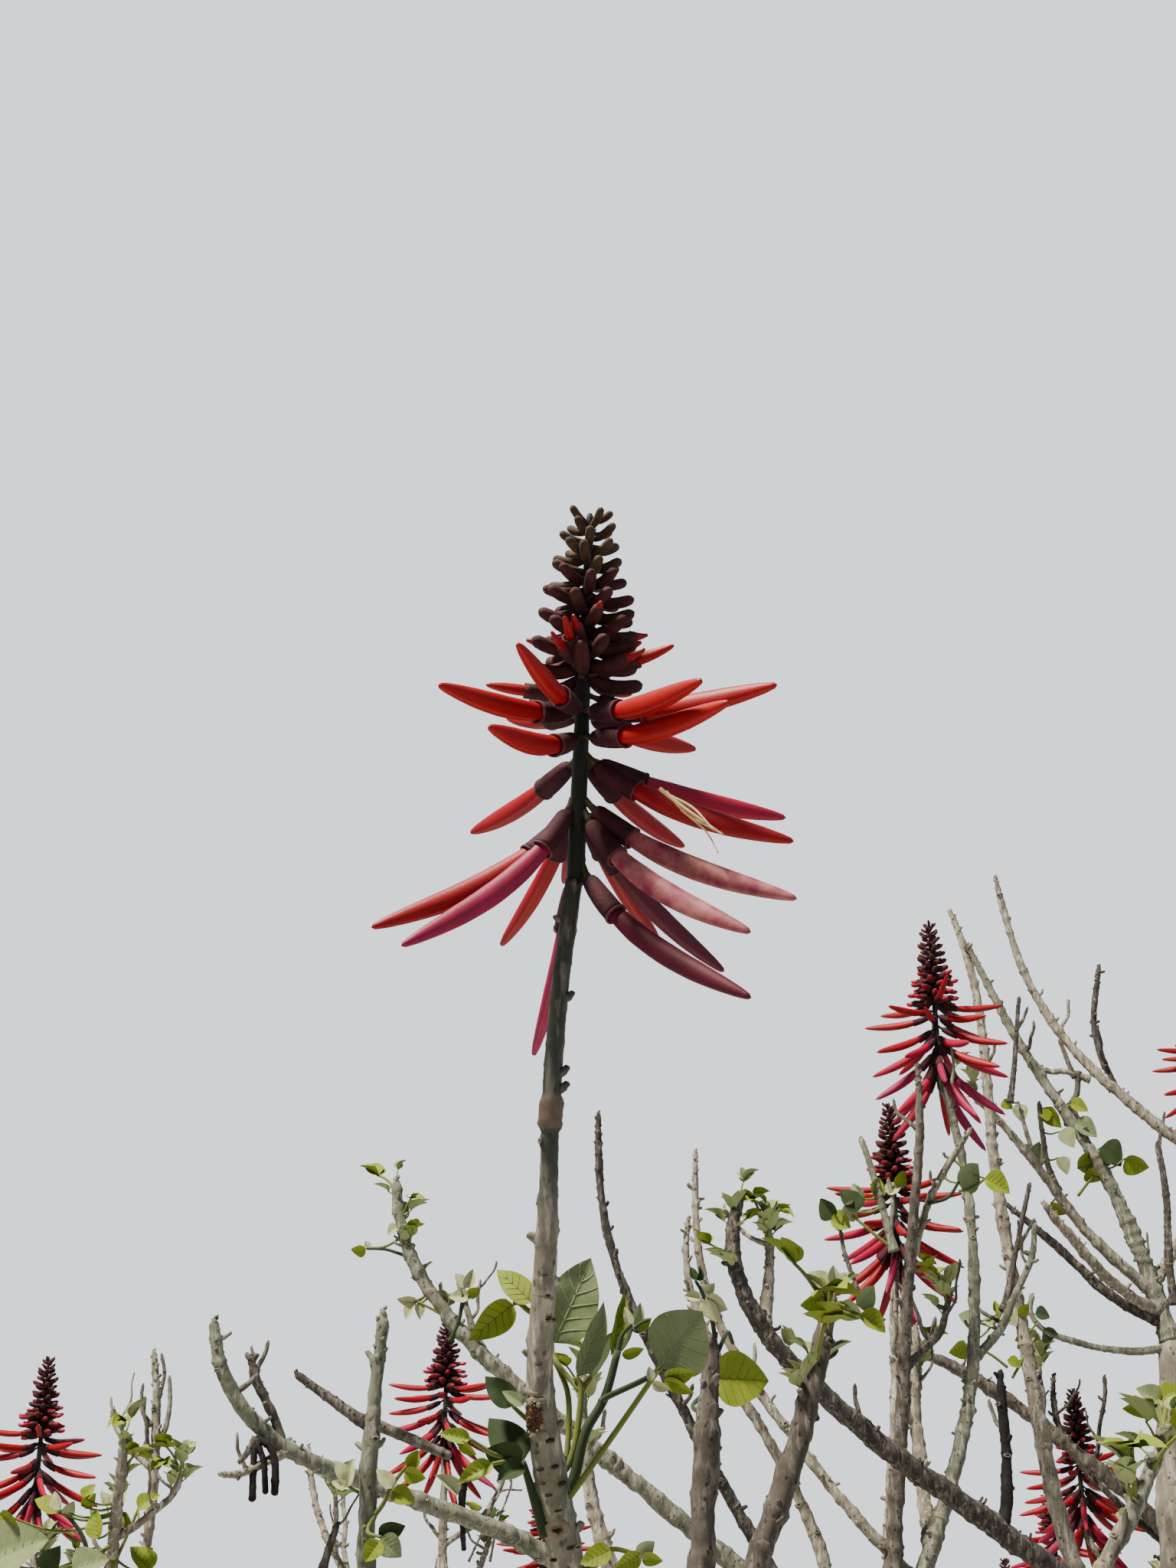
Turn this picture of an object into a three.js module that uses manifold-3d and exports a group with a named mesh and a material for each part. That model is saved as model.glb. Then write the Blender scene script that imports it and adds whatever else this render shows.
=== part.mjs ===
// A coral tree in flower, nearly bare of leaves. Millimetres, +Z up.
// The origin is on the flat cut under the trunk, at ground level, in the middle of the trunk.
// The trunk forks low into five limbs, each limb into boughs, and each bough ends in a mass of upright
// knobbly stems that carry red flower spikes, tufts of young leaves or nothing.
import * as THREE from "three";
import { mergeVertices } from "three/addons/utils/BufferGeometryUtils.js";
import Module from "manifold-3d";

const wasm = await Module();
wasm.setup();

// Driving sizes
const GAP = 0.3; // between one solid and the next
const TRUNK_HEIGHT = 640;
const TRUNK_LEAN = [22, -16]; // how far the top stands from over the foot, along X and Y
const TRUNK_RADIUS = 62; // under the fork
const TRUNK_TAPER = 8; // how much thicker it is at the ground, flare apart
const FOOT_RADIUS = 96; // at the ground, between the root ridges
const FLARE_HEIGHT = 105; // the root flare fades upwards over this height
const RIDGES = 5; // root ridges round the foot
const RIDGE_DEPTH = 22;
const LIMB_CROOK = 0.018; // how far a limb wanders from its smooth line, as a share of its length
const STEM_CROOK = 0.006;
const STEMS_BY_RULE = 4; // in each mass whose stems aren't listed
const GOLDEN_ANGLE = 137.508; // between one side shoot, flower or bud and the next

const SPIKE_LENGTH = 130; // of the flowering part of a spike
const SPIKE_RADIUS = 2.9; // its stalk, at the lowest flower
const FLOWER_ZONE = 0.46; // share of a spike that is in open flower, with buds above
const FAR_FLOWERS = 10; // on each spike but the near one
const FLOWER_RADIUS = 3.8;
const NEAR_LEAN = [5, -23]; // how far the near spike's top leans from over its foot
const NEAR_BUDS = 30;
const BUD_LENGTH = [19, 5]; // lowest and topmost bud
const BUD_RADIUS = [2.5, 1.3];
const CONE_RADIUS = 19; // the buds of the other spikes are one ringed cone, this wide over its lowest ring
const CONE_RINGS = 3;

const LEAFLET_LENGTH = 46;
const LEAFLET_SHAPE = 0.74; // its width as a share of its length
const BLADE_THICKNESS = 2.4; // across its fold
const STALK_LENGTH = 42; // from the shoot to the leaflets
const STALK_RADIUS = 1.3;
const SHOOT_CLEARANCE = 4; // kept between a shoot and what another mass holds

// The limbs that leave the trunk, and the boughs that leave them. Each row gives the name, what carries it,
// where on that, its tip, its radius at root and tip, and its slope there in degrees above level.
const LIMBS = [
  ["limb_leader", "trunk", 1, [70, 60, 1420], [58, 38], [82, 84]],
  ["limb_front", "trunk", 0.8, [-190, -520, 1230], [50, 32], [32, 62]],
  ["limb_left", "trunk", 0.86, [-400, -60, 1290], [48, 31], [35, 68]],
  ["limb_right", "trunk", 0.74, [430, -90, 1180], [50, 33], [30, 62]],
  ["limb_back", "trunk", 0.9, [150, 470, 1220], [47, 31], [35, 64]],
];
const BOUGHS = [
  ["bough_front", "limb_front", 1, [-415, -1290, 1715], [30, 9], [34, 50]],
  ["bough_front_left", "limb_front", 0.74, [-560, -885, 1740], [22, 9], [36, 76]],
  ["bough_front_right", "limb_front", 0.9, [-400, -930, 1750], [22, 9], [40, 78]],
  ["bough_left", "limb_left", 1, [-400, -400, 1930], [29, 9], [55, 72]],
  ["bough_far_left", "limb_left", 0.7, [-890, 60, 1850], [25, 9.5], [30, 70]],
  ["bough_behind_left", "limb_left", 0.88, [-590, 280, 1850], [23, 9], [44, 78]],
  ["bough_leader", "limb_leader", 1, [135, 115, 2290], [36, 10], [84, 84]],
  ["bough_centre", "limb_leader", 0.7, [-200, -215, 1950], [24, 10], [48, 84]],
  ["bough_middle", "limb_leader", 0.86, [-250, -145, 1975], [22, 10], [50, 62]],
  ["bough_right", "limb_right", 1, [900, -160, 1820], [31, 10], [40, 64]],
  ["bough_crossing", "limb_right", 0.72, [-10, -270, 1960], [24, 11], [84, 48]],
  ["bough_front_far_right", "limb_right", 0.88, [600, -790, 1750], [25, 9.5], [34, 70]],
  ["bough_back", "limb_back", 1, [120, 980, 1790], [29, 10], [40, 66]],
  ["bough_back_right", "limb_back", 0.72, [670, 620, 1810], [25, 9.5], [36, 72]],
  ["bough_back_left", "limb_back", 0.88, [-470, 850, 1780], [24, 9.5], [36, 70]],
  ["bough_inner_back", "limb_back", 0.56, [230, 230, 2040], [21, 9], [80, 82]],
  ["bough_top_left", "bough_leader", 0.3, [10, 10, 2010], [15, 9], [66, 78]],
  ["bough_top_right", "bough_leader", 0.7, [310, 110, 2400], [14, 9], [48, 70]],
];

// The masses. stems lists the upright stems: where each ends, its radius and slope at root and tip, how far
// it bows along X and Y, its kink, if any, and what it bears. The first grows on from the bough's tip. The
// others leave the first, or the one that on gives, at the share given by at. A kink is how far the stem
// steps aside along X, at which share of it, and over what share on either side of that.
// A mass with spread and rise in place of a list has its stems laid out by rule.
const MASSES = [
  {
    name: "mass_near_spike",
    bough: "bough_front",
    seed: 11,
    shoots: 0,
    stems: [
      {
        tip: [-454, -1440, 2162],
        radius: [8.4, 2.9],
        slope: [62, 90],
        bow: [-14, 0],
        kink: [-5.6, 0.665, 0.08],
        bears: "near_spike",
      },
    ],
  },
  {
    name: "mass_front_left",
    bough: "bough_front_left",
    seed: 12,
    shoots: 0,
    stems: [{ tip: [-557, -950, 2111], radius: [8.6, 3.2], slope: [80, 92], bow: [-4, 0] }],
  },
  {
    name: "mass_front_right",
    bough: "bough_front_right",
    seed: 13,
    shoots: 0,
    stems: [
      { tip: [-388, -1000, 2088], radius: [8.6, 5.4], slope: [70, 100], bow: [-10, 0] },
      {
        at: 0.2,
        tip: [-322, -950, 2115],
        radius: [7, 5.6],
        slope: [100, 58],
        bow: [19, 0],
        bears: "leaves",
      },
      { at: 0.1, tip: [-141, -900, 2057], radius: [6, 4], slope: [55, 57], bow: [11, 0], bears: "leaves" },
    ],
  },
  {
    name: "mass_left",
    bough: "bough_left",
    seed: 14,
    shoots: 0,
    stems: [
      { tip: [-455, -395, 2167], radius: [8.6, 3.2], slope: [72, 84], bow: [-5, 0], bears: "leaves" },
      { at: 0.2, tip: [-711, -560, 2176], radius: [6.8, 5], slope: [60, 89], bow: [3, 0] },
      { on: 1, at: 0.72, tip: [-686, -545, 2153], radius: [3.4, 3], slope: [80, 83] },
      { on: 1, at: 0.7, tip: [-700, -560, 2072], radius: [3.4, 2.8], slope: [-22, 4] },
    ],
  },
  {
    name: "mass_far_left",
    bough: "bough_far_left",
    seed: 15,
    shoots: 5,
    stems: [
      { tip: [-1009, 200, 2131], radius: [8.8, 3.4], slope: [64, 86], bears: "spike" },
      { at: 0.25, tip: [-850, -60, 2237], radius: [6, 3.4], slope: [20, 95], bow: [13, 0] },
      { at: 0.15, tip: [-845, -180, 2146], radius: [7, 4.4], slope: [62, 72], bears: "leaves" },
      { at: 0.4, tip: [-1180, 60, 2070], radius: [5, 3.2], slope: [30, 82], bears: "leaves" },
    ],
  },
  {
    name: "mass_behind_left",
    bough: "bough_behind_left",
    seed: 16,
    shoots: 5,
    stems: [
      { tip: [-603, 300, 2196], radius: [8.4, 3.2], slope: [86, 88], bears: "spike" },
      { at: 0.3, tip: [-760, 400, 2210], radius: [5, 3.2], slope: [40, 84] },
    ],
  },
  {
    name: "mass_centre",
    bough: "bough_centre",
    seed: 17,
    shoots: 3,
    stems: [
      { tip: [-162, -265, 2448], radius: [8.8, 3], slope: [98, 90] },
      {
        at: 0.05,
        tip: [-131, -190, 2464],
        radius: [7.6, 3.2],
        slope: [70, 85],
        bow: [33, 0],
        bears: "spike",
      },
      { on: 1, at: 0.18, tip: [-160, -150, 2244], radius: [6, 5.6], slope: [40, 90], bow: [-6, 0] },
      { on: 1, at: 0.12, tip: [-353, -180, 2394], radius: [5, 2.8], slope: [48, 79], bow: [-24, 0] },
      { at: 0.12, tip: [-167, -110, 2314], radius: [5.6, 3.2], slope: [78, 64], bears: "spike" },
      { at: 0.56, tip: [-117, -250, 2395], radius: [3.8, 2.8], slope: [88, 61], bow: [-5, 0] },
    ],
  },
  {
    name: "mass_middle",
    bough: "bough_middle",
    seed: 18,
    shoots: 4,
    stems: [
      { tip: [-617, -230, 2356], radius: [8.6, 5], slope: [49, 107], bow: [38, 0], bears: "leaves" },
      { at: 0.04, tip: [-441, -230, 2415], radius: [6, 3], slope: [60, 80], bow: [-18, 0] },
      { at: 0.02, tip: [-358, -120, 2346], radius: [6, 3], slope: [110, 88], bow: [-16, 0] },
    ],
  },
  {
    name: "mass_crossing",
    bough: "bough_crossing",
    seed: 19,
    shoots: 0,
    stems: [
      { tip: [-331, -420, 2297], radius: [10.2, 5.6], slope: [52, 113], bow: [6, 0], bears: "leaves" },
      { at: 0.305, tip: [-119, -318, 2180], radius: [4.4, 3.8], slope: [60, 80] },
      { at: 0.76, tip: [-308, -400, 2274], radius: [5, 3.6], slope: [66, 91], bears: "leaves" },
    ],
  },
  {
    name: "mass_top",
    bough: "bough_leader",
    seed: 20,
    shoots: 0,
    stems: [
      { tip: [-39, 120, 2698], radius: [9.4, 3.4], slope: [80, 75], bow: [9, 0] },
      { at: 0.1, tip: [-86, 60, 2540], radius: [6.4, 3], slope: [33, 33], bears: "leaves" },
      { at: 0.06, tip: [2, 40, 2398], radius: [6, 4.4], slope: [10, 45] },
      { at: 0.04, tip: [-27, 90, 2410], radius: [6, 3.6], slope: [11, 60], bow: [20, 0] },
      { at: 0.12, tip: [232, 190, 2540], radius: [6.4, 3.4], slope: [44, 86], bears: "spike" },
    ],
  },
  {
    name: "mass_top_left",
    bough: "bough_top_left",
    seed: 21,
    shoots: 4,
    stems: [{ tip: [-70, 40, 2707], radius: [8.4, 3.6], slope: [73, 63], bow: [-28, 0] }],
  },
  {
    name: "mass_top_right",
    bough: "bough_top_right",
    seed: 22,
    shoots: 4,
    stems: [
      { tip: [392, 90, 2560], radius: [8.6, 3.4], slope: [66, 87], bears: "spike" },
      { at: 0.06, tip: [3, 150, 2789], radius: [7.4, 3.4], slope: [17, 77], bow: [-14, 0] },
      { on: 1, at: 0.4, tip: [106, 140, 2681], radius: [3.8, 3], slope: [40, 80], bow: [-13, 0] },
    ],
  },
  {
    name: "mass_inner_back",
    bough: "bough_inner_back",
    seed: 23,
    shoots: 4,
    stems: [
      { tip: [-104, 190, 2275], radius: [8.6, 6], slope: [37, 20] },
      { at: 0.05, tip: [71, 300, 2119], radius: [5.6, 3.2], slope: [20, 85], bears: "spike" },
      { at: 0.1, tip: [42, 250, 2263], radius: [4.4, 3], slope: [41, 95], bow: [-6, 0] },
    ],
  },
  { name: "mass_right", bough: "bough_right", seed: 24, shoots: 5, spread: 250, rise: 420, spikes: 2 },
  {
    name: "mass_front_far_right",
    bough: "bough_front_far_right",
    seed: 25,
    shoots: 5,
    spread: 240,
    rise: 400,
    spikes: 1,
  },
  { name: "mass_back", bough: "bough_back", seed: 26, shoots: 5, spread: 250, rise: 400, spikes: 2 },
  {
    name: "mass_back_right",
    bough: "bough_back_right",
    seed: 27,
    shoots: 5,
    spread: 250,
    rise: 430,
    spikes: 1,
  },
  {
    name: "mass_back_left",
    bough: "bough_back_left",
    seed: 28,
    shoots: 5,
    spread: 240,
    rise: 400,
    spikes: 1,
  },
];

// The open flowers of the near spike, tier by tier: the tier's height above the lowest flower, then each
// flower's heading and droop in degrees and its length.
const NEAR_TIERS = [
  { height: 2, flowers: [[-25, 43, 80], [102, 31, 84]] },
  { height: 20, flowers: [[-164, 36, 82], [-28, 42, 80], [45, 29, 80], [94, -4, 76]] },
  { height: 24, flowers: [[-157, 46, 84], [112, 20, 78], [-14, 31, 82], [68, 18, 78]] },
  { height: 39, flowers: [[122, 1, 74], [22, 8, 76], [-10, 28, 78], [61, 4, 76]] },
  { height: 45, flowers: [[-50, 11, 72], [-115, 21, 70]] },
  { height: 54, flowers: [[-132, 13, 68], [-108, 6, 64], [-27, 5, 70]] },
  { height: 54, flowers: [[-56, 14, 68], [118, -22, 62], [52, -9, 66]] },
];

// The leafy shoots low on the near spike's stem: where they leave it, and their heading, slope and length
const NEAR_SHOOTS = [
  { at: 0.64, heading: 52, slope: 62, length: 62, leaves: 4 },
  { at: 0.63, heading: 20, slope: 48, length: 66, leaves: 3 },
  { at: 0.58, heading: 160, slope: 66, length: 48, leaves: 3 },
];

const UPWARDS = new THREE.Vector3(0, 0, 1);
const radians = THREE.MathUtils.degToRad;
const mix = THREE.MathUtils.lerp;

// The same numbers in the same order for the same seed
function seeded(seed) {
  let state = (seed * 2654435761) >>> 0;
  const next = () => {
    state = (Math.imul(state, 1664525) + 1013904223) >>> 0;
    return state / 4294967296;
  };
  next();
  return next;
}

// A unit vector by its heading round Z from +X and its slope above level, both in degrees
function pointing(heading, slope) {
  const level = Math.cos(radians(slope));
  return new THREE.Vector3(
    level * Math.cos(radians(heading)),
    level * Math.sin(radians(heading)),
    Math.sin(radians(slope)),
  );
}

// A limb's line: it leaves its root at one slope, ends at another, bows to one side, wanders a little and
// may have a kink.
class LimbLine extends THREE.Curve {
  constructor(root, tip, slope, crook, bow = [0, 0], kink = [0, 0.5, 0.1]) {
    super();
    const chord = tip.clone().sub(root);
    const heading = THREE.MathUtils.radToDeg(Math.atan2(chord.y, chord.x));
    this.length = chord.length();
    this.smooth = new THREE.CubicBezierCurve3(
      root.clone(),
      root.clone().addScaledVector(pointing(heading, slope[0]), this.length * 0.36),
      tip.clone().addScaledVector(pointing(heading, slope[1]), -this.length * 0.36),
      tip.clone(),
    );
    this.bow = bow;
    this.kink = kink;
    this.wander = this.length * crook;
    this.phase = root.x * 0.031 + root.y * 0.017 + tip.z * 0.011;
  }

  getPoint(t, target = new THREE.Vector3()) {
    this.smooth.getPoint(t, target);
    const held = Math.sin(Math.PI * t) * this.wander;
    const bent = Math.sin(Math.PI * t ** 1.5);
    const [step, middle, reach] = this.kink;
    target.x += held * Math.sin(9 * t + this.phase) + bent * this.bow[0];
    target.x += step * Math.exp(-(((t - middle) / reach) ** 2));
    target.y += held * Math.sin(7 * t + 2 * this.phase) + bent * this.bow[1];
    return target;
  }
}

// A straight line with rings at chosen shares of it, for a tube whose rings aren't evenly spaced
class RingedLine extends THREE.Curve {
  constructor(foot, top, shares) {
    super();
    this.foot = foot;
    this.top = top;
    this.shares = shares;
  }

  getPoint(t, target = new THREE.Vector3()) {
    const place = t * (this.shares.length - 1);
    const below = Math.min(Math.floor(place), this.shares.length - 2);
    const share = mix(this.shares[below], this.shares[below + 1], place - below);
    return target.lerpVectors(this.foot, this.top, share);
  }
}

// A closed geometry as a solid. Where a ring has shrunk to a point, the triangles that shrank are dropped.
function toSolid(geometry) {
  const bare = geometry.clone();
  bare.deleteAttribute("normal");
  bare.deleteAttribute("uv");
  const merged = mergeVertices(bare, 1e-5);
  const corners = merged.index.array;
  const kept = [];
  for (let i = 0; i < corners.length; i += 3) {
    const [a, b, c] = corners.slice(i, i + 3);
    if (a !== b && b !== c && c !== a) kept.push(a, b, c);
  }
  const solid = (faces) =>
    new wasm.Manifold(
      new wasm.Mesh({
        numProp: 3,
        vertProperties: new Float32Array(merged.attributes.position.array),
        triVerts: new Uint32Array(faces),
      }),
    );
  const made = solid(kept);
  return made.volume() > 0 ? made : solid(kept.reverse());
}

// A closed tube: a cylinder whose rings are laid along a line, with the radius that radiusAt gives for each
// share of it. reach lengthens both ends, for a copy that others are cut clear of.
function tube(line, radiusAt, sides, steps, reach = 0) {
  const blank = new THREE.CylinderGeometry(1, 1, 1, sides, steps);
  const frames = line.computeFrenetFrames(steps, false);
  const place = blank.attributes.position;
  const centre = new THREE.Vector3();
  const point = new THREE.Vector3();
  for (let i = 0; i < place.count; i += 1) {
    const ring = Math.round((place.getY(i) + 0.5) * steps);
    const share = ring / steps;
    centre.copy(line.getPoint(share));
    if (ring === 0) centre.addScaledVector(frames.tangents[0], -reach);
    if (ring === steps) centre.addScaledVector(frames.tangents[steps], reach);
    const across = place.getX(i);
    const along = place.getZ(i);
    const radius = radiusAt(share, Math.atan2(along, across));
    point
      .copy(centre)
      .addScaledVector(frames.normals[ring], across * radius)
      .addScaledVector(frames.binormals[ring], along * radius);
    place.setXYZ(i, point.x, point.y, point.z);
  }
  return toSolid(blank);
}

function largestBody(solid) {
  return solid.decompose().reduce((kept, body) => (body.volume() > kept.volume() ? body : kept));
}

// The trunk, with its root flare
const trunkLine = new LimbLine(
  new THREE.Vector3(0, 0, 0),
  new THREE.Vector3(...TRUNK_LEAN, TRUNK_HEIGHT),
  [90, 86],
  LIMB_CROOK,
);

function trunkRadius(share, turn) {
  const flare = Math.exp((-share * TRUNK_HEIGHT) / FLARE_HEIGHT);
  const ridge = RIDGE_DEPTH * (0.5 + 0.5 * Math.cos(RIDGES * turn));
  return TRUNK_RADIUS + TRUNK_TAPER * (1 - share) + flare * (FOOT_RADIUS - TRUNK_RADIUS + ridge);
}

function trunkSolid(grow = 0) {
  const solid = tube(trunkLine, (share, turn) => trunkRadius(share, turn) + grow, 3 * RIDGES, 8, grow);
  return solid.trimByPlane([0, 0, 1], 0);
}

// Every limb and bough by name, with its line, its radii and its solid, grown on all sides where asked
const limbs = new Map();

function addLimb([name, carrier, at, tip, radius, slope]) {
  const carrierLine = carrier === "trunk" ? trunkLine : limbs.get(carrier).line;
  const root = carrierLine.getPoint(at === 1 ? 0.985 : at);
  const line = new LimbLine(root, new THREE.Vector3(...tip), slope, LIMB_CROOK);
  const sides = carrier === "trunk" ? 8 : 6;
  const radiusAt = (share) => mix(radius[0], radius[1], share ** 0.85);
  const grown = (grow) => tube(line, (share) => radiusAt(share) + grow, sides, 6, grow);
  limbs.set(name, { line, radius, grown });
}

// A limb's solid, cut clear of the trunk and of every limb above it in the list
function limbSolid(name) {
  const names = [...limbs.keys()];
  const earlier = names.slice(0, names.indexOf(name)).map((other) => limbs.get(other).grown(GAP));
  return largestBody(limbs.get(name).grown(0).subtract(wasm.Manifold.union([trunkSolid(GAP), ...earlier])));
}

// The stems of a mass whose row lists none: the first upright, the others spread round it
function ruledStems(row, root) {
  const random = seeded(row.seed);
  const first = random() * 360;
  return Array.from({ length: STEMS_BY_RULE }, (_, i) => {
    const leading = i === 0;
    const out = row.spread * (leading ? 0.3 : 0.75 + 0.35 * random());
    const up = row.rise * (leading ? 1 : 0.66 + 0.26 * random());
    const spiked = i < row.spikes;
    const tip = root.clone().addScaledVector(pointing(first + i * GOLDEN_ANGLE, 0), out);
    tip.z += up - (spiked ? SPIKE_LENGTH * 0.6 : 0);
    return {
      at: 0.12 + 0.12 * i,
      tip: tip.toArray(),
      radius: leading ? [8.6, 3.6] : [5.6, 3.4],
      slope: [leading ? 76 : 34, 87],
      bears: spiked ? "spike" : i % 2 ? "leaves" : "nothing",
    };
  });
}

function stemsOf(row) {
  const root = limbs.get(row.bough).line.getPoint(0.985);
  const stems = [];
  for (const stem of row.stems ?? ruledStems(row, root)) {
    const start = stems.length ? stems[stem.on ?? 0].line.getPoint(stem.at) : root;
    const tip = new THREE.Vector3(...stem.tip);
    const line = new LimbLine(start, tip, stem.slope, STEM_CROOK, stem.bow, stem.kink);
    stems.push({ line, radius: stem.radius, bears: stem.bears ?? "nothing" });
  }
  return stems;
}

// What each mass keeps to: the space nearer to its own stems than to any other mass's, clear of every limb
const SPINE_STEPS = 8;
const LIMB_STEPS = 24;
const masses = new Map();

function spikeLean(stem) {
  const [x, y] = stem.bears === "near_spike" ? NEAR_LEAN : [0, 0];
  return new THREE.Vector3(x, y, SPIKE_LENGTH);
}

function spineOf(mass) {
  return mass.stems.flatMap((stem) => {
    const points = Array.from({ length: SPINE_STEPS + 1 }, (_, i) => stem.line.getPoint(i / SPINE_STEPS));
    if (stem.bears.endsWith("spike")) {
      const foot = stem.line.getPoint(1);
      for (const share of [0.5, 1]) points.push(foot.clone().addScaledVector(spikeLean(stem), share));
    }
    return points;
  });
}

function nearest(point, points) {
  return points.reduce((least, other) => Math.min(least, point.distanceTo(other)), Infinity);
}

// The margin by which a ball of that radius keeps to its mass's space; it is out of it below zero
function roomFor(name, point, radius) {
  const own = nearest(point, masses.get(name).spine);
  let room = Infinity;
  for (const [other, mass] of masses) {
    if (other !== name) room = Math.min(room, (nearest(point, mass.spine) - own) / 2);
  }
  for (const limb of limbs.values()) {
    for (let i = 0; i <= LIMB_STEPS; i += 1) {
      const share = i / LIMB_STEPS;
      room = Math.min(room, point.distanceTo(limb.line.getPoint(share)) - mix(...limb.radius, share));
    }
  }
  return room - radius - SHOOT_CLEARANCE;
}

// Side shoots, by a seeded rule along each stem
function shootsOf(name) {
  const mass = masses.get(name);
  const random = seeded(mass.seed + 100);
  const shoots = [];
  for (let i = 0; i < mass.shoots; i += 1) {
    const stem = mass.stems[i % mass.stems.length];
    const at = 0.3 + 0.6 * random();
    const heading = 360 * random() + i * GOLDEN_ANGLE;
    const length = (0.22 + 0.2 * random()) * Math.min(stem.line.length, 420) * (1.25 - 0.5 * at);
    const slope = 42 + 22 * random();
    const bears = random() < 0.6 ? "leaves" : "nothing";
    const start = stem.line.getPoint(at);
    const tip = start.clone().addScaledVector(pointing(heading, slope), length);
    const reach = bears === "leaves" ? STALK_LENGTH : 6;
    const kept = [0.5, 0.75, 1].every(
      (share) => roomFor(name, start.clone().lerp(tip, share), share === 1 ? reach : 6) > 0,
    );
    if (!kept) continue;
    const thick = Math.min(4.2, mix(...stem.radius, at) * 0.75);
    const line = new LimbLine(start, tip, [slope - 18, 80], LIMB_CROOK);
    shoots.push({ line, radius: [thick, Math.min(2.6, thick * 0.75)], bears });
  }
  return shoots;
}

// A thin four-faced blade from its root to its tip, folded up along its middle and widest at the share
// that waist gives
function blade(root, along, length, width, waist) {
  const shape = new THREE.TetrahedronGeometry(1);
  const place = shape.attributes.position;
  for (let i = 0; i < place.count; i += 1) {
    const side = Math.sign(place.getX(i));
    const onRib = side === Math.sign(place.getY(i));
    place.setXYZ(i, onRib ? (side + 1) / 2 : waist, onRib ? 0 : side, onRib ? -1 : 1);
  }
  const across = new THREE.Vector3().crossVectors(UPWARDS, along).normalize();
  const up = new THREE.Vector3().crossVectors(along, across);
  const frame = new THREE.Matrix4()
    .makeBasis(
      along.clone().multiplyScalar(length),
      across.multiplyScalar(width / 2),
      up.multiplyScalar(BLADE_THICKNESS / 2),
    )
    .setPosition(root);
  return toSolid(shape.applyMatrix4(frame));
}

// A leaf of three leaflets on its stalk
function wholeLeaf(root, heading, slope, size) {
  const end = root.clone().addScaledVector(pointing(heading, slope), STALK_LENGTH * size);
  const leaflets = [0, 68, -68].map((turn) => {
    const along = pointing(heading + turn, slope * 0.3 - 8);
    const length = size * LEAFLET_LENGTH * (turn ? 0.86 : 1);
    return blade(end.clone().addScaledVector(along, -2), along, length, length * LEAFLET_SHAPE, 0.42);
  });
  const stalk = tube(new THREE.LineCurve3(root, end), (share) => (share ? STALK_RADIUS : 0), 3, 1);
  return [stalk, ...leaflets];
}

// A tuft of leaves at the end of a line. Away from the near spike each leaf is one blade, stalk and all.
function leafTuft(name, line, leaves, whole) {
  const random = seeded(masses.get(name).seed + Math.round(line.length));
  const parts = [];
  for (let i = 0; i < leaves; i += 1) {
    const root = line.getPoint(0.98 - 0.05 * i);
    const heading = 360 * random() + i * GOLDEN_ANGLE;
    const slope = 28 + 34 * random();
    const size = 0.6 + 0.45 * random();
    const along = pointing(heading, slope * 0.6);
    const middle = root.clone().addScaledVector(along, size * (STALK_LENGTH + LEAFLET_LENGTH * 0.6));
    if (roomFor(name, middle, size * LEAFLET_LENGTH * 0.65) < 0) continue;
    const reach = size * (STALK_LENGTH + LEAFLET_LENGTH * 0.8);
    if (whole) parts.push(...wholeLeaf(root, heading, slope, size));
    else parts.push(blade(root, along, reach, size * LEAFLET_LENGTH, 0.64));
  }
  return parts;
}

// A flower or bud: a spindle that leaves the stalk nearly level and droops
function spindle(root, heading, droop, length, radius, steps) {
  const knee = root.clone().addScaledVector(pointing(heading, -droop * 0.25), length * 0.3);
  const tip = root.clone().addScaledVector(pointing(heading, -droop), length);
  const radiusAt = (share) => (share % 1 ? radius * Math.sin(Math.PI * share ** 0.7) ** 0.5 : 0);
  return tube(new THREE.QuadraticBezierCurve3(root, knee, tip), radiusAt, 3, steps);
}

function farTiers(random) {
  return Array.from({ length: FAR_FLOWERS }, (_, i) => {
    const share = i / (FAR_FLOWERS - 1);
    const droop = mix(56, 2, share ** 0.8) + 12 * (random() - 0.5);
    return {
      height: share * FLOWER_ZONE * SPIKE_LENGTH,
      flowers: [[i * GOLDEN_ANGLE, droop, mix(80, 62, share)]],
    };
  });
}

function nearStalk(foot, lean) {
  const line = new THREE.LineCurve3(foot.clone().addScaledVector(lean, -0.02), foot.clone().add(lean));
  return tube(line, (share) => mix(SPIKE_RADIUS, 1.1, share ** 1.4), 5, 3);
}

// The stalk of any other spike, which widens into the ringed cone of its buds
function ringedStalk(foot, lean) {
  const rings = 2 * CONE_RINGS;
  const cone = Array.from({ length: rings + 1 }, (_, i) => mix(FLOWER_ZONE, 1, i / rings));
  const shares = [-0.02, 0.2, FLOWER_ZONE - 0.02, ...cone];
  const line = new RingedLine(foot, foot.clone().add(lean), shares);
  const radiusAt = (share) => {
    const ring = Math.round(share * (shares.length - 1)) - (shares.length - cone.length);
    const width = CONE_RADIUS * (1 - 0.8 * (ring / rings));
    return ring < 0 ? SPIKE_RADIUS : width * (ring % 2 ? 0.42 : 1);
  };
  return tube(line, radiusAt, 4, shares.length - 1);
}

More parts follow.
